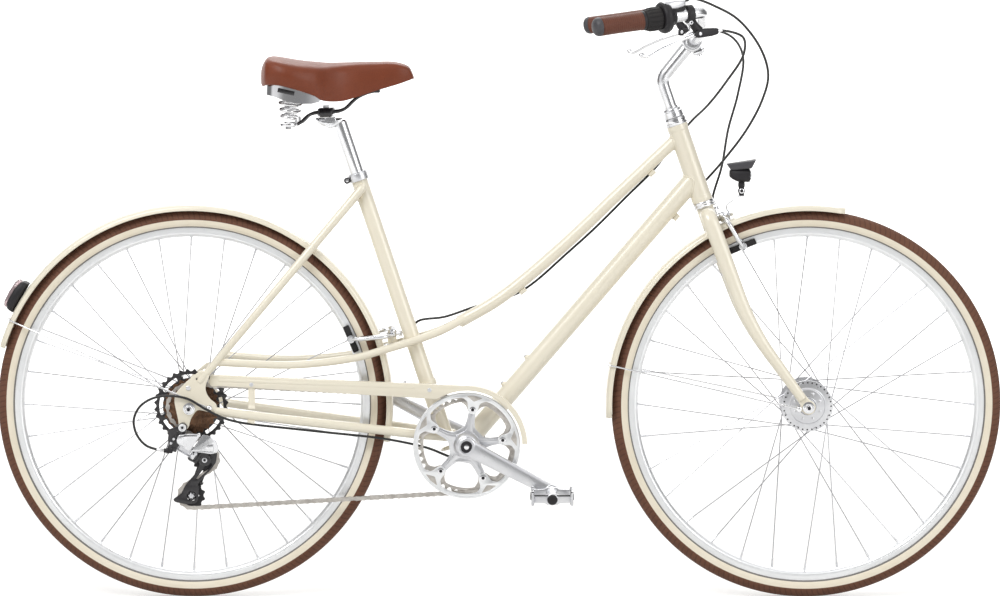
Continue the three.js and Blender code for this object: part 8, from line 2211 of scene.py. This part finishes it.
def makeSaddleFrame(s):
    panRows = [(0.26, 0.2), (0.32, 0.24), (0.4, 0.27), (0.53, 0.42), (0.62, 0.6), (0.7, 0.73), (0.8, 0.8),
               (0.88, 0.76)]
    corners = [(s["noseX"] - p * s["length"], w * s["halfWidth"]) for p, w in panRows]
    outline = softLine(corners + [(x, -y) for x, y in reversed(corners)], 12, 4)
    pan = plate(outline, s["panLow"], s["panTop"], [], 0.8, at(0, 0, 0), right=at(1, 0, 0), up=at(0, -1, 0))
    if pan[0][0].z < 0:
        pan = ([at(p.x, p.y, -p.z) for p in pan[0]], pan[1])
    rails, plates = [], []
    for side in (1, -1):
        corners = [at(-372, side * 50, 851), at(-355, side * 44.9, 851), at(-336, side * 22, 871),
                   at(-277.2, side * 22, 874.5), at(-256, side * 16, 897), at(-236, side * 12.5, 907),
                   at(-219, side * 11, 910.4)]
        rails.append(sweep(bentPath(corners, 14, 6), s["railRadius"], 20, edge=0.8))
        centre = at(s["springX"], side * s["springY"], 0)
        plates.append(lathe(square(0, 15.4, 849.0, 853.8), 1.0, centre, at(0, 0, 1), 36))
        plates.append(lathe(square(0, 19.4, 903.2, 910.9), 1.2, centre, at(0, 0, 1), 36))
        plates.append(lathe([(0, 903.4), (8.5, 900.5), (4.0, 898), (0, 898)], 1.0, centre, at(0, 0, 1), 24))
        plates += hexNut(centre + at(0, 0, 849.4), at(0, 0, -1), 6.0, 5.0, 1.2)
    # one chrome skirt runs round the back from side to side: x, y, low and top edges, and the way it faces
    wall = [(-316, 74.5, 893, 911.5, 0, 1), (-330, 79.5, 889.5, 911.5, 0, 1), (-350, 84, 889.5, 912.8, 0, 1),
            (-372, 85.5, 893, 919, 0, 1), (-392, 82, 901, 922.5, -0.2, 0.98),
            (-404, 73, 904, 922.5, -0.6, 0.8), (-411, 56, 905, 921.5, -0.9, 0.43),
            (-413.5, 30, 905.5, 921, -1, 0.1), (-414, 0, 905.5, 921, -1, 0)]
    skirt = []
    for x, y, low, top, nx, ny in wall + [(x, -y, low, top, nx, -ny) for x, y, low, top, nx, ny in wall[-2::-1]]:
        skirt.append([at(x + nx * a, y + ny * a, z) for a, z in ((-1.2, top), (1.0, top), (1.6, low),
            (-0.2, low - 0.6))])
    vents = [block(at(-374, side * 86.4, 910.5), at(1, 0, -0.22), at(0, 0, 1), (30, 7.5, 1.4), 0.5)
             for side in (1, -1)]
    nose = block(at(-219.05, 0, 910.6), at(1, 0, 0), lateral, (14, 32.5, 7.4), 2.0, 3)
    clamp = Vector(s["clamp"])
    lower = block(clamp + at(0, 0, -4.1), at(1, 0, 0.03), lateral, (29, 52, 7.4), 2.0, 3)
    upper = block(clamp + at(0, 0, 4.6), at(1, 0, 0.03), lateral, (28, 50, 8.4), 2.0, 3)
    # painted shade: black discs on the lower clamp's sides stand for its bolt holes
    holes = [turned([(3.0, 25.6), (3.0, 26.25), (0, 26.25)], clamp + at(x, 0, -4.1), lateral * side, 20)
             for side in (1, -1) for x in (-7, 7)]
    saddles = [lathe([(4.2, -11), (7.4, -11), (8.2, -9), (8.2, 9), (7.4, 11), (4.2, 11)], 0.8,
                     clamp + lateral * side * 22 + at(0, 0, 0.4), at(1, 0, 0.05), 28) for side in (1, -1)]
    bolts = [lathe(square(0, 8.2, 7.6, 9.0), 0.4, clamp, at(0, 0, 1), 28)] + hexNut(clamp + at(0, 0, 9.0),
        at(0, 0, 1), 6.2, 4.6)
    makePiece("saddleClamp", [([upper, *saddles], blackPaint), ([*bolts, lower], chromePlate),
        (holes, blackPlastic)], "saddle", ["saddle_clamp"])
    makePiece("saddleFrame", [([pan, *rails, nose, *vents], blackPaint),
        ([*plates, loft(skirt)], chromePlate)], "saddle", ["saddle_frame"])
    for sideName, side in (("Left", 1), ("Right", -1)):
        line, steps = [], 36 * s["turns"]
        low, high = s["springFoot"] + 3 * s["wire"], s["springTop"] - 3 * s["wire"]
        for i in range(steps + 1):
            k = i / steps
            radius, angle = mix(s["springLow"], s["springHigh"], k), 2 * pi * s["turns"] * k
            line.append(at(s["springX"] + radius * cos(angle), side * (radius * sin(angle) + s["springY"]),
                           mix(low, high, k)))
        line = [at(line[0].x, line[0].y, s["springFoot"])] + line + [at(line[-1].x, line[-1].y, s["springTop"])]
        makePiece("saddleSpring" + sideName, [([sweep(line, s["wire"], 14, edge=0.3)], chromePlate)],
                  "saddle", ["saddle_spring_" + sideName.lower()])


makeSeatPost(saddleSettings)
makeSaddleCover(saddleSettings)
makeSaddleFrame(saddleSettings)
print("saddle made")
